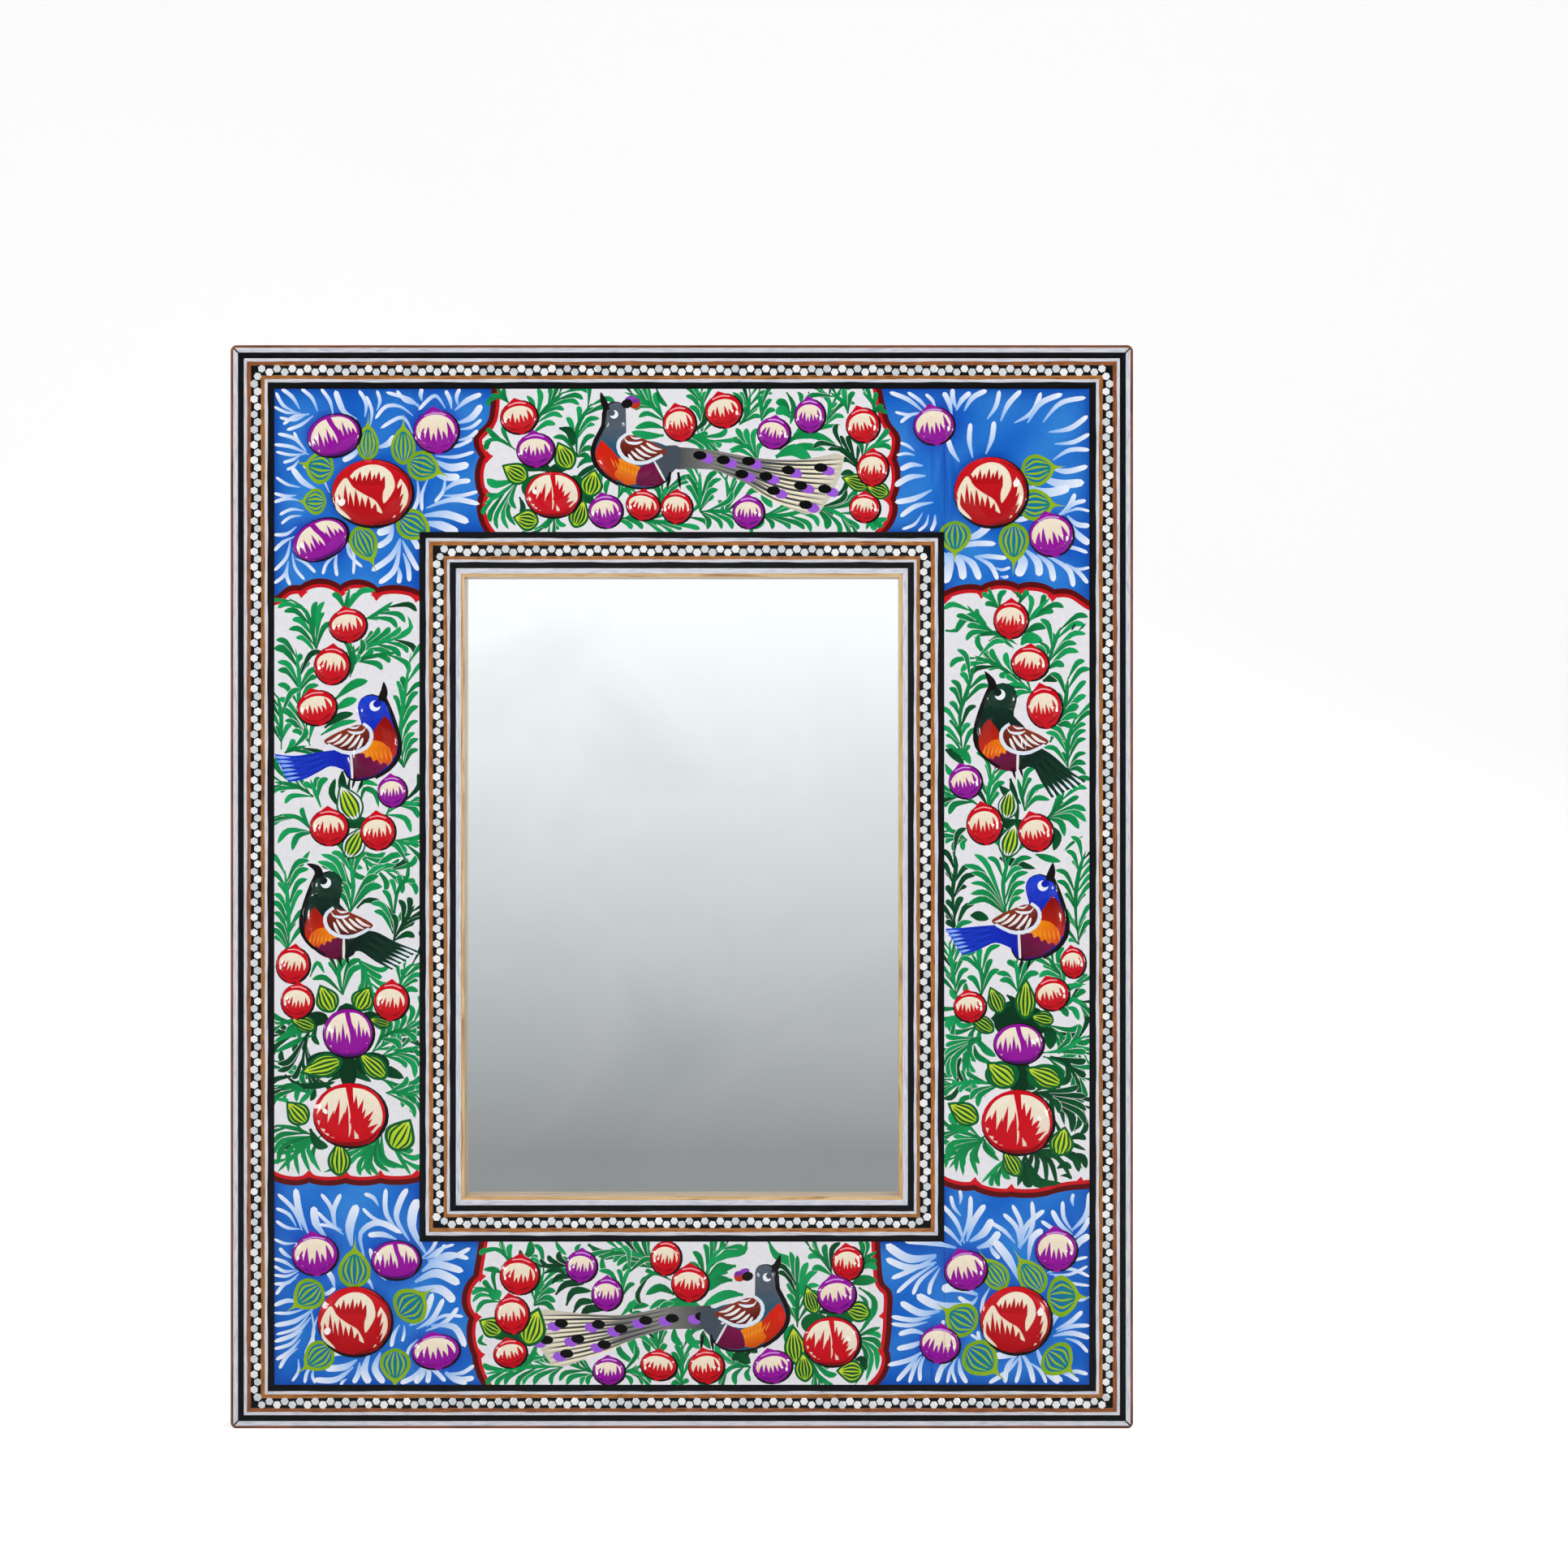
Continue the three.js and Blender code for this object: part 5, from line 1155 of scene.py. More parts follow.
# Bottom right corner
plumes(
    (72, 62, 77.5, 52.5, 1.2), (74.5, 64.5, 77, 59.5), (77, 66, 77, 62.5, 0.9), (80, 64.5, 77.5, 53, 1.3),
    (84, 62, 79.5, 53, 1.7), (86, 58, 80.5, 52.5, 2.1), (88, 54.5, 82.5, 50.5, 2),
    (69.5, 57.5, 76.5, 51.5, 1.2), (91.5, 62, 93, 51.5, 1.2), (89, 59.5, 93, 51.5, 1.2),
    (85.5, 57, 91.5, 52, 1.1), (97, 63, 94, 51.5, 1.2), (100.5, 60.5, 94.5, 51, 1.4),
    (99.5, 57.5, 107, 54, 1.1), (102.5, 60.5, 107.5, 54.5, 1.4), (105.5, 63, 108, 55.5, 1.1),
    (108.5, 65, 108.5, 62, 0.9), (113, 65.5, 108.5, 56, 1.6), (113, 58.5, 108.5, 53, 1.3),
    (113, 53.5, 109, 48.5, 1.9), (112.5, 47.5, 102.5, 43.5, 0.9), (112.5, 45, 103, 43, 0.8),
    (113, 42, 103, 43, 0.9), (113, 39.5, 103.5, 42.5, 0.8), (106.5, 34, 103, 29, 1.8),
    (111, 32.5, 104.5, 28, 1.3), (113, 28.5, 105, 27, 1.1), (113, 25, 104, 25.5, 1.4),
    (112.5, 21, 107, 24.5, 1), (85, 12.5, 93, 19.5, 1.2), (89.5, 12.5, 93, 20, 1.3),
    (92.5, 12.5, 93.5, 20, 1.1), (97.5, 12.5, 94, 20.5, 1.4), (101, 12.5, 97, 17.5, 1),
    (110, 13, 103.5, 15.5, 1.2), (112.5, 15, 106.5, 15, 1.1), (70.5, 12.5, 75.5, 19, 1.5),
    (73.5, 12.5, 76, 19), (76, 12.5, 76, 19), (79, 12.5, 77, 18.5, 1.3), (80, 26, 82.5, 23.5),
    (82, 27, 83.5, 23.5), (83, 31.5, 85, 38, 0.9), (72.5, 30, 71, 27.5, 1), (88, 47, 85.5, 50.5, 1.2),
    (104.5, 12.5, 100.5, 18, 1.2), (108.5, 36, 112.5, 36.5, 0.9),
)
bent_plumes(
    (76, 50, 69, 51.5, 61.5, 52, 1.8), (70.5, 48, 63, 47, 56.5, 51, 2.4),
    (70.5, 46, 63, 44.5, 56.5, 47, 1.8), (70.5, 47.5, 64, 44, 58, 41.5, 1.3),
    (70, 45.5, 64, 41.5, 59.5, 37.5, 1.1), (71, 45, 66, 41, 64, 37, 1.1),
    (71.5, 44.5, 69, 40, 68.5, 37, 1.1), (82, 37, 76, 39, 72, 38.5, 2.4), (79, 34.5, 71, 34, 65, 37, 2.3),
    (71.5, 32.5, 66, 32, 60.5, 35, 1.9), (69, 31, 64, 30, 58, 31, 1.3), (68, 29.5, 63, 28.5, 58, 29, 1.1),
    (67.5, 26, 64, 27, 60, 26, 1.4), (67.5, 24.5, 64, 23, 59.5, 22, 1.5), (67, 21.5, 63, 19, 57, 17.5, 1.3),
    (65.5, 20, 63, 17, 59.5, 13, 1.3), (66.5, 20, 64.5, 17, 63, 12.5, 1.1),
    (67.5, 20.5, 66, 17, 66, 13, 1.1), (93.5, 41, 90.5, 47, 86.5, 52, 2.3),
    (96, 46.5, 97, 52.5, 100, 55, 1.8), (95, 21.5, 91, 20.5, 86.5, 20, 1.9),
    (98, 23, 100.5, 17, 105.5, 13, 1.7), (82, 36.5, 80, 34.5, 76.5, 36.5, 1.2),
)


# Foliage: green ferns and lone blades on the white fields, each blade one pull of a pointed brush.
# A fern is written as its stalk and the tips of its blades, which leave the stalk along its way.
FERN_GREENS = ((GREEN, "109650"), ("0d8a4a", LIGHT_GREEN), (DARK_GREEN, "0b8a48"), ("08723c", "109452"))
DARK_GREENS = ((DEEP_GREEN, "064a26"), ("053f22", "07552a"))
BLADE_FULLNESS = 1.25
HALO = 0.28
LEAFLET_GAP, LEAFLET_PITCH = 1.6, 2.5
LEAFLET_TURNS, LEAFLET_REACHES = (0.62, 0.92), (6.8, 9.6)
DARK_LEAFLETS = 0.12
ARCH_SHARE = 0.27
WHITE_REACH_UP, WHITE_REACH_OUT, HALO_MARGIN = 77.5, 52, 2.4
leaflets = []


def pull(points, width, dark=False, belly=0.56):
    """One green blade."""
    root, tip = brush.choice(DARK_GREENS if dark else FERN_GREENS)
    blade(points, BLADE_FULLNESS * width, root, tip, belly, blunt=0.3, steps=4)


def lone(*blades, dark=False):
    """Blades that stand by themselves, between the ferns: the places of each, and then its width."""
    for *places, width in blades:
        pull(pairs(places), width, dark)


def on_white(x, z, margin=0.0):
    """Whether a place lies on one of the four white fields."""
    return abs(z - MIDDLE_HEIGHT) < WHITE_REACH_UP - margin or abs(x) < WHITE_REACH_OUT - margin


def arch(root, way, tip):
    """The middle of a blade that leaves its stalk along the stalk's own way."""
    reach = math.dist(root, tip)
    return tuple((r + t) / 2 + ARCH_SHARE * reach * w for r, t, w in zip(root, tip, way))


def leaflet(root, way, tip, width, dark):
    """One blade of a fern, with bare white ground left beside it."""
    bend = arch(root, way, tip)
    leaflets.extend((bend, tip, tuple((b + t) / 2 for b, t in zip(bend, tip))))
    if on_white(*tip, HALO_MARGIN):
        blade([root, bend, tip], BLADE_FULLNESS * width + HALO, WHITE, steps=4)
    pull([root, bend, tip], width, dark, 0.6)


def fern(stalk, *tips, dark=False, width=1.3):
    """The blades whose tips are given, then more wherever a side has room left, then the stalk."""
    line = smooth(pairs(stalk), 10)
    ways = []
    for i in range(len(line)):
        ahead, behind = line[min(i + 1, len(line) - 1)], line[max(i - 1, 0)]
        length = math.dist(ahead, behind) or 1
        ways.append(((ahead[0] - behind[0]) / length, (ahead[1] - behind[1]) / length))
    for tip in tips:
        stroke = tip[2] if len(tip) > 2 else width * brush.uniform(0.9, 1.15)
        near = min(range(len(line)), key=lambda i: math.dist(line[i], tip[:2]))
        step = math.dist(line[0], line[1]) or 1
        start = max(0, near - round(0.9 * math.dist(line[near], tip[:2]) / step))
        leaflet(line[start], ways[start], tip[:2], stroke, dark)
    for hand in (1, -1):
        walked = 1.3 + 0.6 * hand
        for here, there, way in zip(line, line[1:], ways):
            walked += math.dist(here, there)
            turn = hand * brush.uniform(*LEAFLET_TURNS)
            reach = brush.uniform(*LEAFLET_REACHES)
            tip = (here[0] + reach * (way[0] * math.cos(turn) - way[1] * math.sin(turn)),
                   here[1] + reach * (way[0] * math.sin(turn) + way[1] * math.cos(turn)))
            bend = arch(here, way, tip)
            crowded = any(
                math.dist(point, other) < LEAFLET_GAP for other in leaflets for point in (bend, tip)
            )
            if walked > LEAFLET_PITCH and on_white(*tip) and not crowded:
                walked = 0
                leaflet(here, way, tip, width, dark or brush.random() < DARK_LEAFLETS)
    pull(pairs(stalk), 1.0, dark)


# Left panel, upper half
fern((-101, 214, -102, 219, -104, 226, -109, 230), (-108, 224), (-107, 219), (-101, 229), (-99, 226),
     (-99, 229))
fern((-93, 226, -93, 228, -92, 233), (-97, 231), (-89, 231), (-89, 231), (-85, 232))
fern((-88, 224, -84, 226, -80, 229), (-81, 226), (-84, 224))
lone((-88, 216, -85, 218, -80, 219, -77, 220, -75, 222, -76, 225, 1.4))
fern((-91, 215, -86, 217, -78, 219), (-86, 221), (-84, 222), (-81, 222), (-78, 222))
fern((-92, 212, -85, 214, -78, 215), (-81, 212, 1.3), (-83, 210, 1.4), (-86, 216))
fern((-92, 208, -91, 212, -91, 217), (-93, 215), (-89, 214))
lone((-96, 202, -91, 206, -87, 207, 2), (-96, 199, -93, 201, -90, 202, 2))
lone((-99, 194, -95, 197, -91, 198, 1.8), dark=True)
lone((-100, 192, -95, 195, -90, 196, 1.3))
fern((-103, 189, -106, 200, -106, 208, -107, 216), (-113, 216, 1.8), (-112, 210), (-112, 206), (-112, 202),
     (-112, 199), (-110, 196), (-108, 193), (-103, 212), (-101, 208), (-105, 214))
fern((-111, 188, -111, 197, -112, 203), (-108, 195), (-113, 194))
fern((-110, 187, -108, 188, -104, 189), (-108, 191))
fern((-77, 183, -78, 191, -77, 202, -75, 215), (-80, 203), (-79, 207), (-78, 208), (-73, 196), (-73, 191),
     (-73, 204), (-73, 200), (-73, 188), (-81, 187), width=1.2)
fern((-102, 175, -107, 178, -113, 179), (-111, 176), (-110, 173))
fern((-93, 163, -94, 156, -96, 152))
fern((-91, 161, -86, 156, -78, 154))
fern((-100, 172, -103, 180), (-100, 180, 1.4), (-98, 180, 1.5), (-105, 178))
lone((-89, 173, -88, 177, -85, 176, -84, 172, 1.3), (-90, 176, -88, 179, -84, 178, 1.2))
lone((-95, 172, -97, 176, -96, 180, 1.5), dark=True)
fern((-82, 170, -78, 173, -73, 173), (-73, 175), (-73, 169, 1.4), (-75, 165))
fern((-102, 165, -106, 169, -111, 170), (-105, 172), (-113, 167), (-111, 163), (-112, 162), (-108, 160))
fern((-80, 163, -76, 162, -73, 163), (-73, 161), (-77, 159))

# Left panel, lower half
fern((-86, 104, -80, 108, -73, 113))
fern((-84, 103, -78, 104, -73, 106))
fern((-84, 97, -79, 95, -73, 92))
fern((-100, 114, -107, 109, -113, 110), dark=True)
fern((-100, 97, -107, 98, -112, 102))
fern((-101, 92, -106, 94, -113, 95))
fern((-100, 81, -107, 76, -112, 71))
fern((-83, 83, -86, 76, -89, 71))
fern((-81, 80, -78, 75, -75, 70))
lone((-110, 148, -107, 154, -103, 160, 1.4))
fern((-109, 132, -109, 143, -110, 155), (-112, 151), (-113, 148), (-105, 149), (-113, 143), (-113, 140),
     (-113, 136), (-107, 140, 1.2))
fern((-92, 143, -91, 150, -92, 158), (-98, 155), (-101, 157, 1.5), (-100, 159), (-95, 151), (-96, 148),
     (-75, 159), (-79, 156, 1.3), (-82, 156), (-84, 153, 1.6), (-83, 150, 1.8))
lone((-90, 144, -88, 146, -85, 146, -81, 143, -80, 138, 1.5), dark=True)
fern((-80, 137, -79, 148, -76, 153, -76, 158), (-79, 153), (-81, 152), (-83, 149), (-74, 151))
fern((-80, 135, -77, 140, -74, 145), (-74, 140, 1.6), (-74, 136, 1.5), (-76, 147), dark=True)
fern((-94, 120, -95, 125, -95, 130), (-98, 129), (-92, 130), (-89, 130), (-88, 128))
lone((-103, 125, -101, 129, -99, 126, 1))
fern((-90, 130, -88, 127, -85, 119), (-83, 125), (-81, 128))
fern((-79, 119, -77, 126, -74, 129), (-78, 127), (-73, 124), (-73, 121), width=1.2)
fern((-101, 115, -107, 113, -113, 112), (-113, 115), (-109, 109))
lone((-102, 110, -107, 110, -113, 107, 1.6), (-102, 109, -107, 107, -113, 104, 1.3))
fern((-104, 109, -105, 101, -103, 98, -100, 97), (-102, 102), (-112, 99), (-112, 101), (-108, 97),
     dark=True)
lone((-110, 98, -106, 95, -100, 95, -96, 96, 1.4), dark=True)
lone((-113, 94, -108, 95, -104, 93, 1.2), (-102, 94, -104, 92, -106, 90, 1.2),
     (-113, 91, -110, 91, -109, 90, 1))
fern((-102, 81, -107, 83, -113, 84), (-113, 79), (-113, 76), (-112, 73), (-109, 71), (-106, 70), (-103, 71),
     (-100, 71), width=1.15)
lone((-103, 83, -101, 79, -98, 78, 2.2), dark=True)
lone((-99, 71, -96, 72, -93, 72, 0.9))
fern((-84, 80, -88, 78, -92, 78), (-93, 75), (-92, 73), (-89, 70), (-86, 70), (-84, 70), (-81, 71),
     (-79, 72), (-76, 72), width=1.15)
fern((-80, 104, -76, 105, -73, 105), (-73, 103), (-73, 100), (-74, 97))
lone((-84, 97, -82, 99, -77, 97, 2.6), dark=True)
fern((-82, 93, -78, 93, -73, 92), (-74, 90), (-74, 86), (-74, 95))
fern((-84, 108, -79, 110, -74, 110), (-74, 113, 1.6), (-74, 107, 1.4), (-78, 105))
lone((-92, 104, -92, 100, -92, 95, 3.4), (-96, 113, -93, 116, -88, 113, 3),
     (-98, 96, -94, 98, -91, 96, 1.6), (-94, 97, -90, 98, -86, 96, 1.6), (-94, 182, -94, 178, -92, 168, 2),
     (-96, 169, -92, 168, -86, 168, 3), (-92, 180, -93, 174, -94, 168, 1.4), dark=True)

# Right panel, upper half
fern((88, 227, 86, 230, 85, 233), (90, 232), (84, 228), (83, 231), width=1.2)
lone((73, 221, 76, 221, 78, 224, 82, 225, 85, 221, 1.7))
fern((87, 220, 83, 223, 79, 228), (76, 225), (82, 227, 1.2), (79, 222))
lone((81, 219, 84, 220, 88, 220, 93, 217, 1.1), (85, 218, 88, 219, 92, 216, 1))
fern((95, 206, 88, 211, 81, 214), (84, 216), (86, 216, 1.4), (90, 215), (82, 212), (85, 210), (88, 208))
fern((98, 203, 94, 206, 90, 206), (91, 204), (92, 202, 1.4), (90, 209))
fern((93, 228, 94, 230, 92, 232), (96, 232))
fern((95, 222, 98, 226, 102, 230), (96, 231), (103, 226, 1.6), (100, 231))
lone((95, 220, 98, 222, 102, 222, 1.7), (94, 217, 96, 219, 100, 218, 2.6),
     (99, 218, 101, 216, 101, 214, 1.4))
fern((101, 210, 103, 217, 105, 222), (102, 220), (112, 220), (110, 215, 1.4), (106, 211, 1.6))
lone((108, 221, 109, 223, 0.6), dark=True)
lone((110, 221, 112, 223, 0.6))
lone((109, 208, 111, 211, 0.6), (100, 207, 103, 208, 105, 208, 2.2), dark=True)
fern((103, 194, 106, 200, 107, 208), (112, 207), (112, 203, 1.4), (110, 200, 1.8), (110, 197, 1.5),
     (108, 194), (105, 206))
lone((102, 190, 104, 193, 107, 188, 1.5))
fern((107, 182, 107, 190, 109, 197), (112, 195), (112, 191), (112, 187), (112, 184), (105, 190), (112, 181),
     (105, 187), width=1.15)
fern((78, 184, 77, 197, 79, 204, 82, 214), (77, 209), (74, 205), (74, 201), (74, 196), (73, 192), (73, 189),
     (80, 203), (80, 195), (80, 189), width=1.2)
lone((73, 188, 75, 187, 78, 184, 1.9), dark=True)
lone((75, 188, 78, 187, 80, 184, 1.9), (73, 184, 74, 182, 75, 181, 1.4))
fern((85, 171, 85, 177, 87, 183), (84, 184), (88, 180), (83, 178), (88, 176), width=1.3)
lone((88, 178, 90, 176, 94, 173, 1.9), dark=True)
fern((95, 171, 94, 176, 93, 180), (97, 180), (99, 177), (101, 178), (102, 174), width=1.2)
fern((83, 172, 78, 175, 73, 175), (73, 172), (74, 170, 1.5), (73, 177), (77, 177))
fern((79, 163, 76, 165, 73, 166), (73, 162), (75, 160), (73, 168), (78, 160))
fern((101, 169, 104, 172, 106, 177), (106, 173), (110, 175), (112, 171), (112, 168, 1.5), (110, 166, 1.8),
     (106, 164, 1.5), width=1.2)
lone((102, 167, 104, 164, 103, 160, 2), dark=True)
lone((111, 164, 108, 162, 106, 160, 0.7))
lone((91, 180, 92, 175, 93, 168, 1.8), (88, 169, 91, 167, 95, 168, 3),
     (88, 158, 91, 157, 98, 155, 1.9), dark=True)
lone((98, 159, 101, 158, 105, 157, 1.6))

# Right panel, lower half
fern((84, 114, 79, 107, 78, 94))
fern((85, 118, 79, 117, 74, 112))
fern((101, 112, 106, 108, 112, 103))
fern((100, 103, 106, 101, 112, 96))
fern((101, 95, 107, 93, 112, 88), dark=True)
fern((84, 92, 79, 94, 74, 97))
fern((84, 81, 79, 78, 74, 72))
for tip_x, tip_z in ((93, 67), (97, 67), (101, 67), (104, 67), (108, 69), (111, 72), (112, 77)):
    pull([(97, 77), ((97 + tip_x) / 2 + 1.5, (77 + tip_z) / 2 + 2), (tip_x, tip_z)], 1.2, True)
for tip_x, tip_z in ((111, 90), (112, 86), (109, 82), (106, 84)):
    pull([(101, 91), ((101 + tip_x) / 2 + 1, (91 + tip_z) / 2 + 2), (tip_x, tip_z)], 1.15, True)
fern((76, 137, 75, 148, 76, 156, 75, 160), (75, 157), (73, 154), (73, 150), (73, 146), (73, 142, 1.5),
     (73, 140, 1.5), (79, 150), (78, 147), dark=True)
fern((90, 142, 89, 151, 91, 159), (81, 159), (78, 156), (80, 154), (80, 151), (80, 148), (79, 145, 1.4),
     (96, 154), (95, 149), (94, 147), (97, 158), width=1.2)
lone((80, 142, 82, 142, 85, 141, 2.2), dark=True)
fern((110, 134, 109, 145, 110, 154, 112, 160), (108, 157), (106, 148), (107, 141), (112, 142), (112, 148),
     (107, 135), (112, 138), width=1.15)
fern((106, 124, 104, 127, 101, 131), (100, 128), (101, 124), (106, 130))
fern((76, 120, 75, 127, 74, 135), (73, 130), (77, 129), (73, 126), (79, 124), (76, 133), width=1.2)
fern((83, 120, 83, 126, 80, 132), (77, 130), (83, 133), (86, 130), (88, 127), (79, 125), width=1.2)
fern((93, 121, 93, 126, 92, 130), (90, 129), (95, 129), (98, 130), (87, 126), (99, 126), (88, 124),
     width=1.3)
lone((86, 113, 91, 116, 98, 113, 4), (90, 120, 92, 118, 92, 113, 1.6),
     (100, 111, 102, 109, 102, 105, 3), dark=True)
lone((78, 113, 75, 113, 73, 111, 2.3))
fern((83, 108, 80, 107, 79, 98), (73, 109), (73, 106), (73, 103), (73, 100), (74, 97), (76, 96))
lone((82, 108, 84, 105, 87, 103, 1.7), (81, 106, 82, 103, 86, 101, 1.4))
fern((88, 95, 81, 96, 73, 95), (73, 92), (77, 93), (80, 91), (82, 89, 1.4), (79, 99), width=1.15)
fern((100, 104, 106, 105, 112, 109), (110, 112), (107, 110), (112, 104), width=1.2)
fern((106, 116, 108, 119, 112, 117), (112, 121), (112, 114), (110, 113, 1.4), width=1.3)
fern((104, 116, 106, 122, 112, 123), (112, 126), (107, 114, 1.6))
fern((102, 103, 107, 101, 109, 97), (112, 98, 1.6), (112, 102), (105, 95), dark=True, width=1.5)
fern((97, 93, 102, 92, 103, 83), (108, 82, 1.8), (112, 84, 1.4), (112, 88, 1.3), (112, 92, 1.3),
     (110, 95, 1.3), dark=True, width=1.5)
lone((107, 80, 110, 81, 112, 80, 1.6), (106, 77, 109, 75, 110, 71, 1.9), (108, 76, 111, 75, 112, 72, 1.7),
     (99, 75, 101, 76, 104, 75, 1.5), dark=True)
fern((95, 76, 94, 72, 93, 67), (97, 67, 1.9), (101, 67, 1.6), (105, 68, 1.5), dark=True, width=2)
lone((104, 72, 106, 73, 108, 72, 1.6), (105, 70, 107, 70, 108, 69, 1), dark=True)
fern((84, 80, 78, 82, 73, 83), (73, 80), (73, 76), (73, 72), (76, 71), (78, 70), (82, 70), (87, 76),
     (88, 74), width=1.3)
lone((73, 84, 76, 83, 80, 83, 2.1))
fern((90, 75, 87, 72, 83, 68), (86, 67), (88, 67), (91, 69), width=1.3)
lone((95, 102, 95, 98, 94, 93, 3.2), (91, 94, 95, 95, 98, 94, 2), dark=True)

# Top panel
fern((-48, 284, -51, 286, -53, 286), (-49, 288), (-54, 283), width=1.2)
fern((-46, 271, -51, 274, -55, 273), (-54, 277), (-54, 271), (-53, 276), width=1.2)
fern((-42, 275, -39, 281, -35, 285, -33, 287), (-40, 288), (-37, 288), (-33, 284), (-33, 280), (-35, 278),
     (-43, 286), width=1.2)
fern((-29, 269, -29, 277, -25, 284), (-32, 280), (-29, 283), (-24, 282), (-24, 278), (-31, 276), (-24, 275),
     (-24, 271), (-25, 268), width=1.2)
lone((-34, 277, -31, 276, -30, 272, 2), (-36, 265, -40, 267, -45, 266, 3.2),
     (-31, 266, -34, 266, -38, 264, 2.4), dark=True)
fern((-45, 263, -50, 259, -55, 256), (-54, 263, 1.9), (-54, 259), (-55, 253), (-53, 251), (-51, 249),
     (-48, 249), (-46, 250), width=1.15)
lone((-45, 258, -44, 255, -45, 252, 1.3), dark=True)
fern((-35, 254, -36, 252, -38, 249), (-41, 249), (-34, 249), (-32, 250), width=1.1)
lone((-30, 257, -27, 259, -25, 256, 3.2), (-30, 262, -27, 265, -23, 267, 1.3), dark=True)
lone((-29, 266, -27, 268, -24, 268, 1.2), (-24, 258, -23, 262, -22, 266, 1.3),
     (-21, 258, -21, 261, -20, 263, 1.2))
fern((-18, 257, -16, 260, -13, 260), (-17, 262), (-14, 258), width=1.1)
fern((-19, 252, -13, 252, -5, 251, 3, 253), (-14, 249), (-11, 249), (-7, 249), (-3, 249), (0, 249),
     (5, 249), (-13, 254), width=1.15)
fern((-6, 256, -5, 259, -4, 261), (-8, 261), (-1, 261), (2, 262), width=1.2)
lone((-5, 275, -10, 275, -14, 276, 1.9), (-5, 277, -9, 278, -13, 277, 1.6))
fern((-4, 278, -7, 282, -11, 285, -16, 287), (-12, 288), (-9, 288), (-7, 287), (-13, 282), (-12, 280),
     width=1.3)
lone((-7, 288, -6, 285, -4, 283, 1.2))
fern((5, 274, 6, 280, 5, 287), (1, 286), (3, 288), (7, 287), (2, 283), (8, 284), width=1.15)
fern((-3, 274, 3, 275, 9, 273), (1, 276, 1.6), (11, 272, 1.4), (9, 271, 1.2), (7, 276))
fern((16, 278, 18, 281, 19, 287), (16, 287), (17, 283), (22, 280), (21, 283), (14, 287), width=1.15)
fern((21, 268, 18, 272, 13, 271), (15, 277, 1.3), (18, 277), (14, 274), (23, 273), (21, 277), width=1.25)
fern((22, 279, 22, 283, 21, 287), (23, 286), (25, 285), (26, 282), width=1.2)
lone((30, 281, 28, 284, 26, 284, 1.9), (30, 280, 28, 282, 26, 281, 2.2), (29, 287, 31, 283, 30, 278, 1.2),
     (32, 287, 33, 286, 33, 284, 1.1))
lone((35, 287, 36, 286, 38, 287, 1), dark=True)
fern((40, 278, 41, 283, 40, 287), (43, 284), (45, 280), (43, 282), (38, 286), width=1.15)
lone((27, 271, 32, 275, 37, 277, 44, 278, 1.5), (31, 274, 37, 275, 43, 272, 1.7),
     (28, 271, 34, 272, 40, 271, 1.7), (26, 269, 31, 271, 36, 268, 2.8), (31, 275, 34, 278, 34, 276, 1.4))
fern((49, 263, 48, 268, 44, 272), (44, 275), (46, 275), (44, 268), (44, 264), dark=True, width=1.2)
fern((50, 269, 53, 272, 58, 274), (57, 277), (58, 271), (47, 274), width=1.15)
fern((46, 281, 45, 284, 41, 287), (48, 287), (45, 288), width=1.15)
fern((53, 281, 53, 284, 50, 287), (54, 287), (56, 283), (57, 281), width=1.15)
lone((40, 255, 46, 257, 49, 261, 1.6))
lone((42, 258, 45, 260, 46, 264, 1.2), dark=True)
fern((5, 254, 5, 259, 5, 265), (10, 265), (11, 263), (1, 261), (1, 264), (9, 258, 1.7), (10, 260),
     width=1.2)
fern((11, 252, 13, 257, 12, 264), (15, 263), (18, 263), (10, 257), width=1.15)
fern((5, 254, 10, 254, 14, 254), (7, 249), (11, 249), (14, 249), width=1.2)
lone((17, 257, 20, 260, 25, 259, 1.4), (22, 259, 23, 258, 25, 255, 2))
fern((22, 253, 29, 253, 36, 255), (29, 257, 1.5), (25, 249), (30, 249), (34, 249), (33, 256), (20, 249),
     width=1.2)
fern((37, 255, 42, 254, 47, 251), (40, 249, 1.8), (46, 249, 1.4), (49, 249), (43, 256), width=1.2)
fern((53, 253, 52, 251, 51, 249), (54, 249), (57, 252), (56, 250), width=1.3)
lone((49, 262, 51, 260, 53, 260, 1.8), dark=True)

# Bottom panel
fern((-47, 45, -50, 49, -54, 50), (-56, 48, 1.3), (-50, 52), (-47, 51), width=1.2)
lone((-50, 43, -52, 44, -55, 44, 1.3), (-44, 47, -42, 49, -42, 52, 1.9), (-42, 45, -41, 47, -40, 48, 1.5))
fern((-50, 35, -53, 38, -58, 39), (-55, 41, 1.3), (-58, 37), (-58, 35), (-57, 32), width=1.1)
lone((-53, 39, -52, 37, -50, 38, 2.6))
fern((-41, 34, -40, 38, -38, 44), (-38, 40), (-35, 38, 1.5), (-35, 35, 1.6), (-35, 32, 1.3), (-41, 41),
     width=1.2)
fern((-31, 45, -36, 45, -40, 45), (-39, 47), (-37, 48), (-34, 49, 1.4), dark=True, width=1.1)
lone((-35, 52, -34, 50, -32, 48, 1.1), (-28, 51, -29, 50, -29, 48, 1.1))
lone((-38, 43, -35, 44, -32, 43, 1.2), (-36, 40, -34, 42, -30, 42, 1.4), (-35, 37, -32, 40, -27, 40, 1.6),
     (-32, 34, -30, 38, -25, 38, 1.7), (-30, 32, -28, 35, -24, 35, 1.6),
     (-28, 30, -26, 33, -21, 33, 1.9), dark=True)
lone((-26, 51, -21, 48, -15, 50, 2.2))
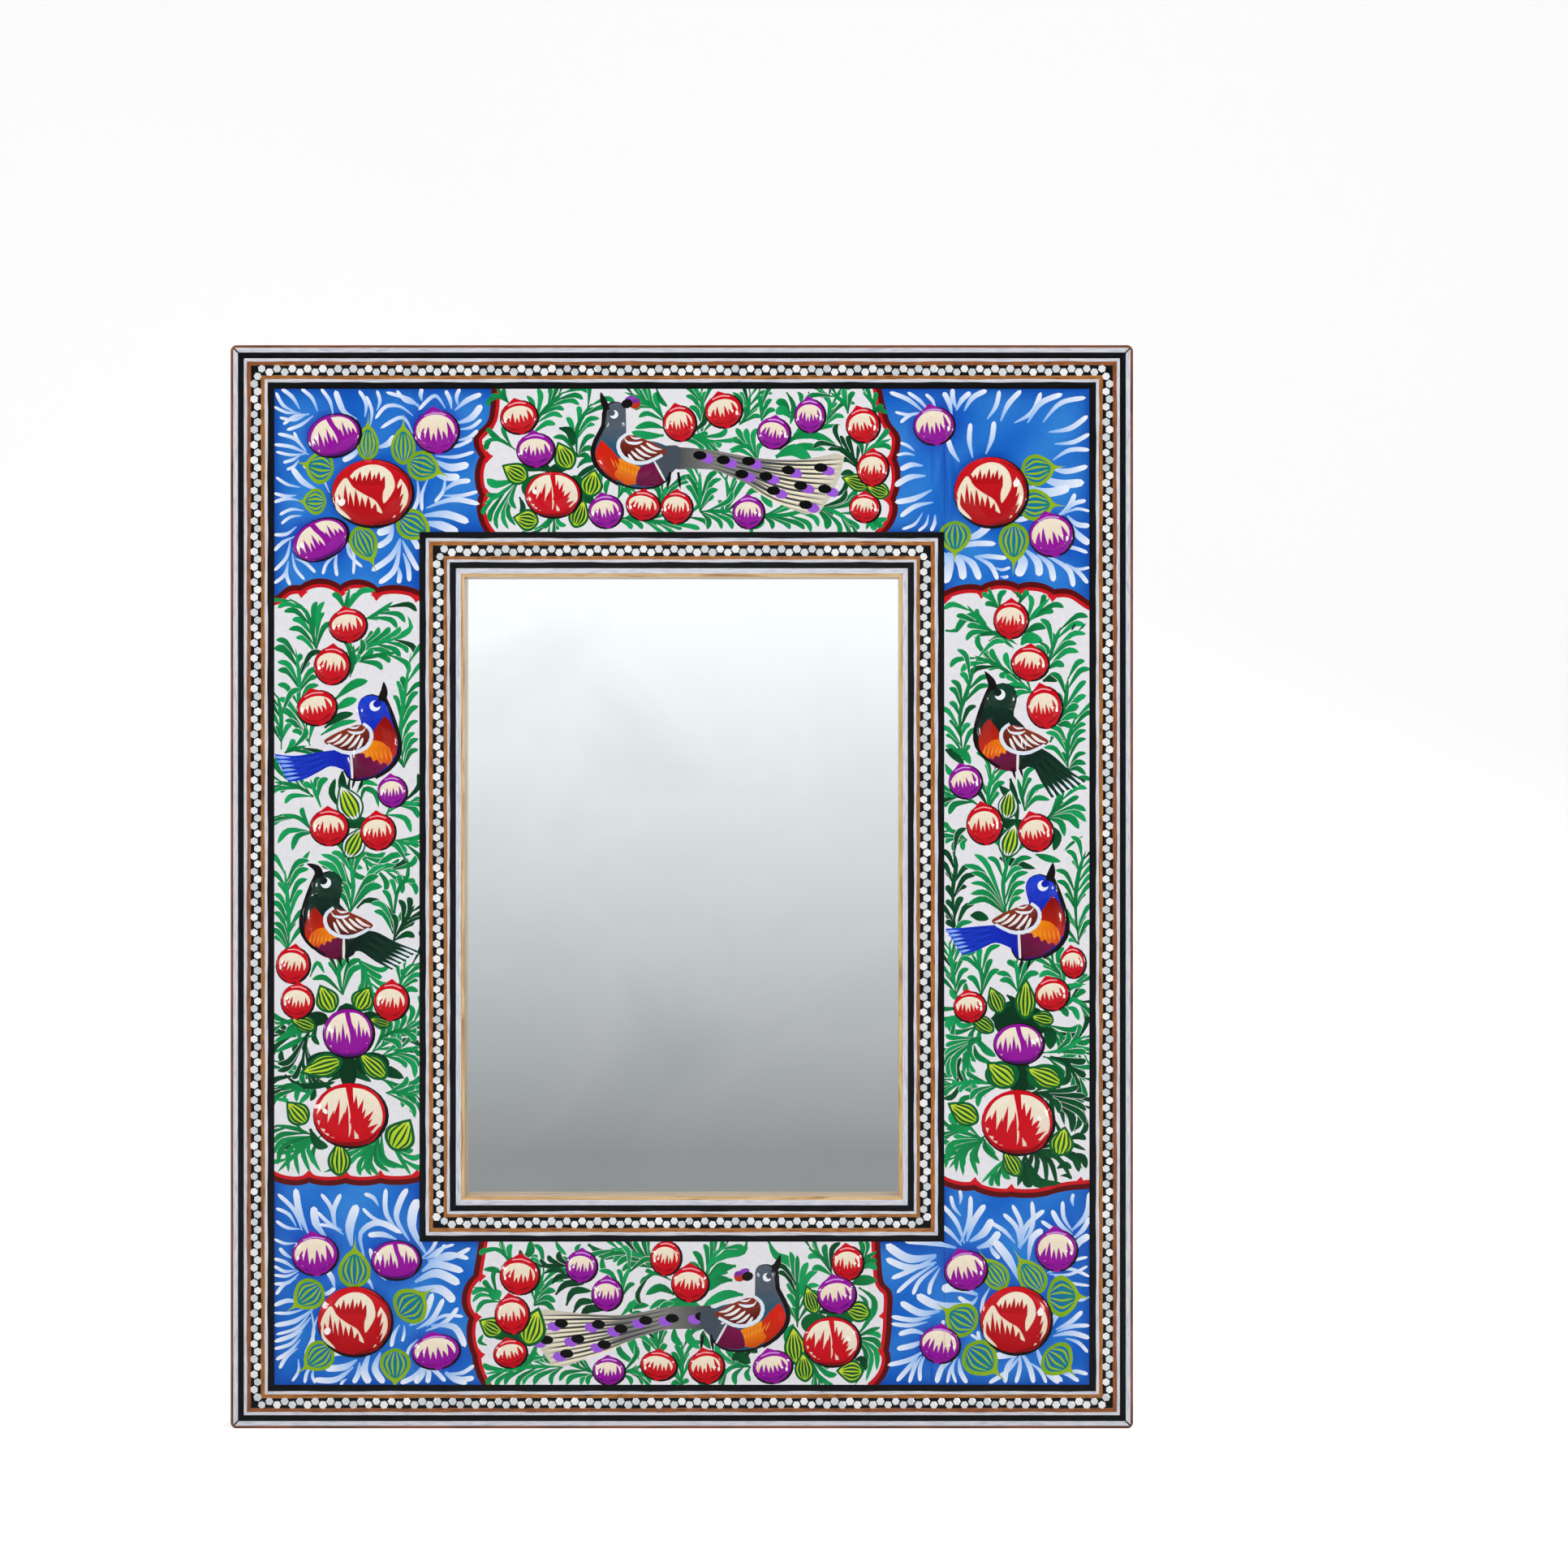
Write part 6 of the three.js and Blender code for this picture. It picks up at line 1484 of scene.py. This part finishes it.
fern((-7, 44, -12, 48, -20, 50), (-19, 46, 1.3), (-15, 52), (-13, 52), (-9, 52), (-22, 47), (-18, 45),
     (-10, 45), width=1.3)
lone((-22, 48, -22, 45, -21, 43, 1.3))
fern((-17, 35, -16, 41, -14, 45), (-18, 44), (-13, 40), (-19, 41), width=1.2)
lone((-14, 32, -14, 34, -9, 34, 1.9), (-17, 31, -14, 34, -12, 36, 1.4))
fern((-3, 41, -7, 43, -10, 42), (-10, 44), (-11, 39), width=1.1)
lone((-2, 37, -6, 39, -10, 37, 1.9), (-3, 35, -6, 35, -9, 33, 1.3), (-7, 33, -1, 35, 5, 34, 2.3))
fern((-33, 17, -43, 17, -55, 15), (-54, 12), (-49, 12), (-44, 12), (-41, 12), (-36, 12), (-55, 18),
     (-41, 22), (-38, 21), width=1.2)
fern((-24, 15, -31, 18, -37, 20), (-28, 12), (-32, 12), (-26, 12), (-34, 22), (-27, 19), width=1.2)
lone((-54, 23, -56, 24, -55, 26, 1), (-45, 17, -42, 19, -40, 24, 1.3))
lone((-43, 23, -46, 26, -52, 25, 2.6), dark=True)
lone((-16, 27, -14, 24, -12, 19, 2), (-18, 25, -17, 21, -13, 18, 1.5), (-12, 28, -10, 24, -9, 21, 1.6))
fern((-6, 20, -7, 24, -8, 29), (-9, 25, 1.4), (-4, 27), (-4, 23), width=1.3)
fern((-17, 15, -14, 16, -11, 15), (-12, 17), (-14, 12), (-11, 12), width=1.2)
fern((0, 12, 0, 17, 0, 24), (-3, 12), (-3, 15), (-3, 21), (2, 13), (2, 21), (-2, 23), width=1.15)
lone((-2, 28, -2, 25, 0, 23, 1.7), (2, 28, 2, 25, 5, 22, 1.9), (6, 27, 6, 25, 8, 22, 1.7))
fern((6, 37, 7, 43, 9, 48, 13, 51), (3, 49), (6, 51), (8, 52), (2, 46), (11, 52), width=1.25)
lone((18, 52, 17, 49, 12, 48, 7, 45, 1.8), (15, 45, 11, 44, 7, 40, 2.1), (14, 41, 10, 41, 7, 38, 2.2),
     (17, 37, 12, 37, 6, 34, 2.2), (24, 52, 26, 48, 30, 46, 32, 42, 2.1))
fern((32, 28, 32, 34, 32, 42), (30, 49), (32, 48), (35, 46, 1.5), (29, 40, 1.5), (29, 37, 1.3),
     (30, 33, 1.4), width=1.2)
lone((33, 37, 35, 42, 38, 44, 1.4))
fern((42, 42, 39, 47, 35, 50), (35, 47, 1.3), (37, 52), (40, 51), (36, 44), width=1.3)
fern((49, 44, 51, 47, 54, 49), (51, 52), (49, 52), (54, 46), (54, 44, 1.5), width=1.25)
lone((47, 40, 50, 41, 54, 41, 2.4), (49, 39, 53, 36, 53, 32, 50, 28, 1.5), (49, 37, 51, 35, 51, 31, 1))
fern((48, 25, 52, 27, 55, 28), (55, 25), (55, 22), (54, 16), (51, 13), (48, 12), width=1.25)
lone((48, 19, 50, 19, 51, 16, 1.8), dark=True)
fern((35, 20, 37, 16, 39, 12), (42, 18), (43, 15), (36, 12), (42, 12), width=1.25)
fern((19, 17, 14, 17, 11, 14), (11, 12), (15, 12), (19, 13), (12, 20, 1.4), (13, 24, 1.5), width=1.35)
lone((14, 19, 16, 20, 19, 18, 2.8), (18, 20, 19, 22, 21, 21, 1.9), dark=True)
lone((29, 23, 29, 26, 31, 29, 1.4))
lone((38, 32, 42, 33, 46, 32, 2.6), (32, 21, 34, 20, 36, 22, 2.2), dark=True)


# Birds, flowers and leaves, over the foliage: birds first, then leaves, buds and great flowers.
# Each row below is a middle, a half width and half height, and for some a lean in degrees.
GREY_TAIL_RIGHT = (
    [(-4, 272), (8, 271), (22, 268.6), (34, 268.4), (45, 269.2)],
    [(-4, 266), (8, 265.6), (18, 261.6), (26, 256.6), (38, 253.6)],
)
GREY_TAIL_LEFT = (
    [(8, 34), (-4, 33.6), (-16, 31.4), (-28, 31.8), (-41, 32)],
    [(8, 28), (-4, 27.4), (-14, 24.4), (-24, 20.4), (-36, 17.4)],
)
TOP_SPOTS = ((5, 269.5), (11.5, 268.2), (18.5, 267.9), (16.6, 264.3), (23.3, 263.7), (25.4, 259.7),
             (29.5, 265.4), (38.5, 266.1), (32.9, 261.1), (39.6, 260.2), (34.3, 255.8))
LOW_SPOTS = ((-33.4, 29.1), (-23.1, 28.8), (-37.5, 24.5), (-28.8, 24.8), (-16.9, 27.6), (-10, 29.9),
             (-2.7, 30.5), (-21.5, 23.2), (-31.9, 20.7), (5.5, 31))
perched_bird(-85.3, 199.2, 1, BIRD_BLUE, [(-92, 188.4), (-100, 187.4), (-107, 186.3), (-112.9, 186.8)],
             [(-92, 181.4), (-97.4, 183.4), (-104, 180), (-109, 179)], (2.7, 7.6))
perched_bird(-98.3, 150.2, -1, BIRD_BLACK, [(-91, 138), (-85, 137.6), (-79.4, 134.8), (-73, 132.2)],
             [(-93, 130.8), (-89.4, 132.2), (-85, 129.4), (-80.4, 127)], (5.6, 6.2), (1.1, -2.0))
perched_bird(88.4, 202.3, -1, BIRD_BLACK, [(95, 190.6), (102, 187), (107.5, 182.2), (112, 179.2)],
             [(93, 182.6), (97.2, 183), (99.6, 179), (102.4, 174.6)], (4.5, 7.4), (0.6, -3.2))
perched_bird(99.7, 149.4, 1, BIRD_BLUE, [(93, 139.6), (85, 139.3), (78, 138.7), (73, 138.4)],
             [(92, 132.6), (86.8, 134.5), (81.6, 132.2), (77.6, 131.2)], (3.1, 7.3))
long_tailed_bird(-18.2, 279.4, -1, GREY_TAIL_RIGHT, TOP_SPOTS)
long_tailed_bird(23.0, 40.5, 1, GREY_TAIL_LEFT, LOW_SPOTS, (-1.8, -2.8))

RED_BUDS = (
    (-92.6, 222.5, 5.1, 4.4), (-97, 211.4, 4.8, 5), (-101.2, 199.7, 5.4, 4.6), (-97.8, 166.6, 5.2, 4.8),
    (-84.3, 165.4, 4.7, 4.8), (-107.8, 128.5, 4.5, 4.8), (-106.6, 118.4, 4.4, 4.5), (-80.6, 118.4, 4.7, 5),
    (91.1, 224.1, 4.6, 4.9), (96.4, 212, 5, 4.5), (100.4, 199.9, 4.7, 5.6), (83.8, 167.4, 4.8, 5.3),
    (98, 165.2, 4.7, 5), (108.3, 129.1, 3.3, 4), (102.5, 120.4, 4.6, 4.3), (79.7, 116.9, 4.3, 4),
    (-45.2, 280.2, 5, 4.4), (-10.8, 255.7, 4.6, 3.8), (-1.5, 255.2, 4.2, 4.2), (-0.7, 278.5, 4.4, 4.7),
    (11.5, 282, 5, 4.5), (50.1, 278, 4.5, 4.6), (52.8, 266, 4.2, 4.6), (50.6, 255.1, 4.1, 3.8),
    (-45, 42.5, 5.3, 5), (-47.1, 31.6, 4.6, 5), (-47.6, 20.9, 4.5, 3.7), (-4.5, 47.3, 4.1, 4.5),
    (-6.5, 17.5, 4.9, 3.8), (2.2, 40.2, 5, 4.7), (6.7, 17.2, 4.8, 4.4), (45.9, 46, 4.2, 4.5),
)
PURPLE_BUDS = (
    (-80.3, 176.5, 3.9, 4.1), (78.5, 179.2, 4.4, 4.4), (-40.6, 271.1, 5.1, 4.5), (-21.2, 254.1, 4.6, 4.4),
    (25.4, 275.8, 4.4, 4.1), (35.4, 280.6, 4.1, 4.4), (18.4, 253.8, 4.2, 4.2), (-27.9, 45, 4.2, 4.2),
    (-20.8, 37.3, 4.1, 4.3), (-20.3, 16, 4.3, 3.6), (25.1, 17.2, 5.3, 4.3), (42.8, 37.1, 5.2, 4.8),
)
CORNER_BUDS = (
    (-68.1, 276.2, 6.1, 5.7), (69.8, 277.8, 5.5, 5), (102.3, 247.5, 6, 5.6), (-101.7, 48.2, 6.2, 5.4),
    (-68.2, 21.4, 6.5, 4.6), (78.6, 43.9, 5.8, 5.2), (103.7, 49.5, 5.6, 5.5), (71.4, 23.3, 5.4, 4.8),
)
STRIPED_LEAVES = (
    (-92.1, 172.8, 3.4, 4.5), (-90.8, 161.8, 3, 4), (-98.3, 118.7, 3, 3.4), (-88.4, 118.7, 3, 3),
    (-104.6, 112, 3, 2.2), (-83.4, 112.5, 2.5, 1.8), (-99.3, 100.4, 4.9, 3), (-85.3, 100.2, 4.2, 2.8),
    (-106.4, 87.2, 3.3, 3), (-78, 81, 4, 4), (-94.9, 74.3, 3, 4),
    (90.4, 172.5, 2.6, 3.5), (91, 162.4, 3, 4), (87.1, 118.3, 2.3, 3.2), (95.2, 118.4, 2.7, 4.6),
    (83.3, 112, 3.4, 2.2), (100.2, 113.4, 2.6, 2.2), (88.7, 97.9, 4, 3.4), (100.8, 97.3, 4.5, 3),
    (78.3, 87.2, 4, 3), (105.2, 79.1, 3.2, 3.4), (91.5, 73.2, 2.4, 3.5),
    (-45.9, 264.5, 2.9, 2.5), (-32.4, 269, 2.5, 3), (-25.1, 261.5, 2.7, 2.8), (-28.5, 253, 2.3, 3),
    (-42.9, 251.6, 2.6, 2.5), (48.6, 262, 3, 2), (54.5, 259.8, 2.5, 2),
    (-52.7, 28, 2.6, 2.4), (-41.5, 27.6, 3.2, 4), (36, 35.2, 2, 3), (48.8, 32.4, 2.8, 2.4),
    (31.4, 22.5, 2.5, 4), (33.9, 16.6, 2.2, 3), (46.9, 15.8, 2.7, 2.6),
)
CORNER_LEAVES = (
    (-87, 272.7, 2.8, 4.2, 0), (-77.2, 271.9, 3.1, 4.5, 0), (-71.8, 266.5, 3.8, 4, -110),
    (-100.2, 266.2, 4.2, 3.4, 80), (-101.6, 256.7, 3.3, 2.8, 90), (-88.1, 245.2, 3.5, 4.4, -155),
    (-74.6, 250.2, 3.9, 4.3, -120),
    (98.4, 265.4, 4, 4, -80), (97.9, 255.8, 4, 4.2, -90), (75.7, 247.1, 4, 3.8, 180),
    (92, 245.7, 3.8, 4.6, 180),
    (-90.7, 43.9, 4.1, 4.6, 0), (-103.3, 37.1, 4, 4, 130), (-75.2, 34, 4.8, 4, -50),
    (-100.5, 20, 3.8, 4, 130), (-79.4, 17.7, 3.9, 4, 180),
    (86.9, 42.5, 3.2, 4.2, 35), (97, 41.9, 3.5, 4.6, 35), (105.4, 36.6, 5.2, 3.8, -90),
    (77.6, 30.1, 4.5, 4, 60), (82.6, 19.4, 4.6, 4.6, -130), (104, 19.1, 4.7, 3.6, -130),
)
SPLIT_FLOWERS = (
    (-92.5, 109.6, 6.8, 6.5, 0), (93.2, 106.6, 6.7, 5.4, 0), (-96.5, 275.1, 7.2, 5.6, 15),
    (-100.3, 246.2, 7.8, 5.2, 25), (-79.3, 46.7, 6.6, 5.1, 0),
)
SPLIT_ROSES = (
    (-92.1, 87, 10, 8.6), (92.9, 85, 9.8, 8.7), (-35.8, 258.8, 7.5, 6.1), (41.4, 24.2, 7.7, 6.6),
)
ROSES = (
    (-85.9, 259.2, 11.1, 9.1), (85.5, 259.5, 10, 9.5), (-90.7, 29.8, 10.1, 9.4), (92.4, 30.1, 9.7, 9.2),
)
# Dark green is dabbed in round the flowers, over the ferns.
for place in ((-101, 113.5, 3, 2), (-86.5, 113.5, 3, 2), (-98.5, 101, 5.6, 3.4), (-86, 101, 5, 3.2),
              (-92.4, 99, 2.4, 5), (94, 112.4, 7.6, 5), (93.5, 97, 2.6, 5)):
    oval(*place, DEEP_GREEN)
for place in ((88.7, 98, 4.8, 3.8), (100.8, 97.4, 5.2, 3.6), (-38.5, 260.5, 6, 4), (-29.5, 260, 3, 4),
              (37, 29, 4, 3), (44, 31, 4, 2.6)):
    oval(*place, DARK_GREEN)
for draw, places, style in (
    (leaf, STRIPED_LEAVES, {}), (corner_leaf, CORNER_LEAVES, {}), (bud, RED_BUDS, {}),
    (bud, PURPLE_BUDS, {"rim": PURPLE}), (bud, CORNER_BUDS, {"rim": PURPLE, "heart": (0.88, 0.78)}),
    (split_flower, SPLIT_ROSES, {"rim": RED}), (split_flower, SPLIT_FLOWERS, {}), (rose, ROSES, {}),
):
    for place in places:
        draw(*place, **style)


# The painted sheets: each is one closed body. Its face is cut along every stroke that shows,
# takes each stroke's colour there, and rises over the domes.
lacquer, lacquer_tree, lacquer_shader = new_surface(
    "lacquered_paint",
    {"Roughness": 0.3, "Specular IOR Level": 0.07, "Coat Weight": 0.26, "Coat Roughness": 0.05},
)
paint_pool = add_node(lacquer_tree, "ShaderNodeTexNoise", {
    "Scale": 1, "Detail": 4, "Vector": pattern_place(lacquer_tree, (900, 900, 900)),
}).outputs["Fac"]
paint_level = add_node(lacquer_tree, "ShaderNodeMapRange", {
    "Value": paint_pool, "To Min": 0.9, "To Max": 1.08,
})
paint_mix = add_node(lacquer_tree, "ShaderNodeVectorMath", {
    0: add_node(lacquer_tree, "ShaderNodeAttribute", attribute_name="paint").outputs["Color"],
    "Scale": paint_level.outputs[0],
}, operation="SCALE")
paint_bump = add_node(lacquer_tree, "ShaderNodeBump", {
    "Strength": 0.12, "Distance": 3e-5, "Height": paint_pool,
})
feed(lacquer_tree, lacquer_shader, {
    "Base Color": paint_mix.outputs[0], "Normal": paint_bump.outputs["Normal"],
})


RELIEF_ALLOWANCE = 0.8
GROUND_GRID = 2.3
DOME_RINGS = ((0, 1), (0.35, 8), (0.6, 12), (0.78, 16), (0.9, 20), (1, 24))
SLOPE_STEP = 0.04
BLUE_INNER_X, BLUE_OUTER_X, BLUE_INNER_Z, BLUE_LOW, BLUE_HIGH = 72.7, 112.9, 98.3, 12.1, 287.9
BLUE_FIELD_REACH = 76
BORDER_SHADE, FLOWER_SHADE = 2.4, 1.8
VIOLET_BLUE = "2030ac"
BARE_WOOD = "8a7a66"


def rise(x, z):
    """How far the painting stands proud of the sheet at these places, in millimetres."""
    height = np.zeros_like(x)
    for centre_x, centre_z, half_width, half_height, lean, top in domes:
        dx, dz = x - centre_x, z - centre_z
        u = (dx * math.cos(lean) + dz * math.sin(lean)) / half_width
        v = (dz * math.cos(lean) - dx * math.sin(lean)) / half_height
        power = max(2.0, DOME_RIM_SLOPE * (half_width + half_height) / 2 / top)
        radius = np.minimum(np.hypot(u, v), 1)
        height = np.maximum(height, top * (1 - radius ** power))
    return height


def blend(first, second, share):
    return [a + (b - a) * share for a, b in zip(first, second)]


def blue_at(x, z):
    """The blue ground: pale in the open, cobalt by the borders and roses, violet by purple flowers."""
    beside = max(abs(x) - BLUE_INNER_X, abs(z - MIDDLE_HEIGHT) - BLUE_INNER_Z)
    border = min(BLUE_OUTER_X - abs(x), z - BLUE_LOW, BLUE_HIGH - z, beside)
    cobalt = 0.85 * math.exp(-max(border, 0) / BORDER_SHADE)
    violet = 0
    for flowers, purple in ((ROSES, False), (SPLIT_FLOWERS, True), (CORNER_BUDS, True)):
        for flower_x, flower_z, half_width, half_height, *_ in flowers:
            away = math.hypot((x - flower_x) / half_width, (z - flower_z) / half_height) - 1
            near = math.exp(-max(away, 0) * half_width / FLOWER_SHADE)
            if purple:
                violet = max(violet, near)
            else:
                cobalt = max(cobalt, 0.8 * near)
    drift = 0.5 + 0.5 * math.sin(0.21 * x + 1.9 * math.sin(0.13 * z)) * math.cos(0.17 * z - 0.09 * x)
    open_blue = blend(linear(BLUE), linear(SKY), drift)
    return blend(blend(open_blue, linear(COBALT), cobalt), linear(VIOLET_BLUE), 0.75 * violet)


def in_reach(points, low_x, high_x, low_z, high_z):
    xs, zs = [p[0] for p in points], [p[1] for p in points]
    return max(xs) > low_x and min(xs) < high_x and max(zs) > low_z and min(zs) < high_z


def paint_sheet(name):
    """Cuts, colours and closes one sheet out of the strokes and domes that lie on it."""
    low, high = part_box(f"painted_panel_{name}")
    low_x, high_x, low_z, high_z = low.x / MM, high.x / MM, low.z / MM, high.z / MM
    front, back = cad_low.y / MM + RELIEF_ALLOWANCE, high.y / MM
    sheet = [(low_x, low_z), (high_x, low_z), (high_x, high_z), (low_x, high_z)]
    shown = [s for s in strokes if in_reach(s[0], low_x, high_x, low_z, high_z)]
    points, outlines = list(sheet), [[0, 1, 2, 3]]
    for outline, *_ in shown:
        outlines.append(list(range(len(points), len(points) + len(outline))))
        points += outline
    for centre_x, centre_z, half_width, half_height, lean, _ in domes:
        at = about(centre_x, centre_z, half_width, half_height, math.degrees(lean))
        for ring, count in DOME_RINGS:
            for i in range(count):
                angle = 2 * math.pi * (i + 0.37) / count
                spot = at(ring * math.cos(angle), ring * math.sin(angle))
                if low_x < spot[0] < high_x and low_z < spot[1] < high_z:
                    points.append(spot)
    for column in range(round((high_x - low_x) / GROUND_GRID)):
        for row in range(round((high_z - low_z) / GROUND_GRID)):
            spot = (low_x + GROUND_GRID * (column + 0.47), low_z + GROUND_GRID * (row + 0.43))
            in_blue = abs(spot[1] - MIDDLE_HEIGHT) > BLUE_FIELD_REACH
            if in_blue and spot[0] < high_x and spot[1] < high_z:
                points.append(spot)
    found, _, triangles, _, _, owners = delaunay_2d_cdt(points, [], outlines, 0, 1e-5, True)
    kept = [(face, max(owner)) for face, owner in zip(triangles, owners) if 0 in owner]
    used = sorted({i for face, _ in kept for i in face})
    number = {old: new for new, old in enumerate(used)}
    x = np.array([found[i][0] for i in used])
    z = np.array([found[i][1] for i in used])
    x[abs(x - low_x) < 1e-4], x[abs(x - high_x) < 1e-4] = low_x, high_x
    z[abs(z - low_z) < 1e-4], z[abs(z - high_z) < 1e-4] = low_z, high_z
    y = front - rise(x, z)
    faces = [tuple(number[i] for i in face) for face, _ in kept]
    faced = [owner for _, owner in kept]

    edges = dict.fromkeys((a, b) for face in faces for a, b in zip(face, face[1:] + face[:1]))
    rim = {a: b for a, b in edges if (b, a) not in edges}
    first = next(iter(rim))
    loop = [first]
    while rim[loop[-1]] != first:
        loop.append(rim[loop[-1]])
    vertices = list(zip(x * MM, y * MM, z * MM))
    behind = {}
    for i in loop:
        behind[i] = len(vertices)
        vertices.append((x[i] * MM, back * MM, z[i] * MM))
    middle = len(vertices)
    vertices.append(((low_x + high_x) / 2 * MM, back * MM, (low_z + high_z) / 2 * MM))
    for a, b in zip(loop, loop[1:] + loop[:1]):
        faces.append((b, a, behind[a], behind[b]))
        faces.append((behind[b], behind[a], middle))
        faced += [0, 0]

    piece = mesh_object(f"painted_panel_{name}_sheet", vertices, faces, [lacquer])
    mesh = piece.data
    slope_x = (rise(x + SLOPE_STEP, z) - rise(x - SLOPE_STEP, z)) / (2 * SLOPE_STEP)
    slope_z = (rise(x, z + SLOPE_STEP) - rise(x, z - SLOPE_STEP)) / (2 * SLOPE_STEP)
    length = np.sqrt(1 + slope_x ** 2 + slope_z ** 2)
    normals = np.stack([-slope_x / length, -1 / length, -slope_z / length], 1)
    split_normals = []
    paint = mesh.color_attributes.new("paint", "FLOAT_COLOR", "CORNER")
    colours = np.ones((len(mesh.loops), 4), np.float32)
    bare = linear(BARE_WOOD)
    for index, (polygon, owner) in enumerate(zip(mesh.polygons, faced)):
        _, root, tip, start, end = shown[max(owner, 1) - 1]
        run_x, run_z = end[0] - start[0], end[1] - start[1]
        run = run_x * run_x + run_z * run_z or 1
        for corner in polygon.loop_indices:
            i = mesh.loops[corner].vertex_index
            if index < len(kept):
                share = ((x[i] - start[0]) * run_x + (z[i] - start[1]) * run_z) / run
                share = min(1, max(0, share))
                colours[corner, :3] = blend(root, tip, share) if root else blue_at(x[i], z[i])
                split_normals.append(tuple(normals[i]))
            else:
                colours[corner, :3] = bare
                split_normals.append(tuple(polygon.normal))
        polygon.use_smooth = True
    paint.data.foreach_set("color", colours.ravel())
    mesh.normals_split_custom_set(split_normals)
    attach(piece, "frame")
    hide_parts(f"painted_panel_{name}")


for name in PANELS:
    paint_sheet(name)


# Mirror glass: 3 mm float glass, silvered on its back. It lies loose in the rebate, behind the
# lip of the rails, and the card and board press it forward.
mirror_sockets = {"Roughness": 0.015, "Metallic": 1.0}
mirror = grained(
    "silvered_glass", ("e3e8e9", "eef2f2", "e8edee"), (14, 14, 14), mirror_sockets, bump=0.0
)
dress("mirror_glass", mirror)


# Card and backing board: a grey card cut to the glass, which keeps its silvering from scratches,
# and a brown hardboard that closes the back. Both lie loose, and the turn buttons hold them.
grey_card = grained(
    "grey_card", ("8c8a84", "a3a19b", "b3b0a8"), (900, 900, 900), {"Roughness": 0.9}, bump=0.4
)
hardboard = grained(
    "hardboard", ("4c3220", "664530", "7a563c"), (700, 700, 700), {"Roughness": 0.72}, detail=10, bump=0.5
)
dress("card_spacer", grey_card)
dress("backing_board", hardboard)


# Turn buttons: four tongues stamped from brass sheet, two at the top and two at the bottom.
# Each turns on its own steel screw in a rail, and its tip holds the board in.
brass = grained(
    "brass", ("b8893a", "dcb25a", "ecca7c"), (300, 300, 300),
    {"Roughness": 0.28, "Metallic": 1.0}, bump=0.15,
)
screw_steel = grained(
    "screw_steel", ("85878a", "a9abae", "c4c6c8"), (500, 500, 500),
    {"Roughness": 0.3, "Metallic": 1.0}, bump=0.2,
)
for height in ("top", "bottom"):
    for hand in ("left", "right"):
        dress(f"turn_button_{height}_{hand}", brass)
        dress(f"turn_button_screw_{height}_{hand}", screw_steel)


# Easel strut: a tapered leg of the same hardboard, hung on a butt hinge of two brass leaves and
# a steel pin. Two rivets hold one leaf to the board, and two hold the other to the strut.
dress("easel_strut", hardboard)
for node in ("hinge_leaf_board", "hinge_leaf_strut", "board_rivet_left", "board_rivet_right",
             "strut_rivet_left", "strut_rivet_right"):
    dress(node, brass)
dress("hinge_pin", screw_steel)


# Hanging ring: brass wire bent round, which swings in the fold of a brass strap. One steel screw
# holds the strap to the back of the top rail.
dress("hanger_strap", brass)
dress("hanging_ring", brass)
dress("hanger_screw", screw_steel)
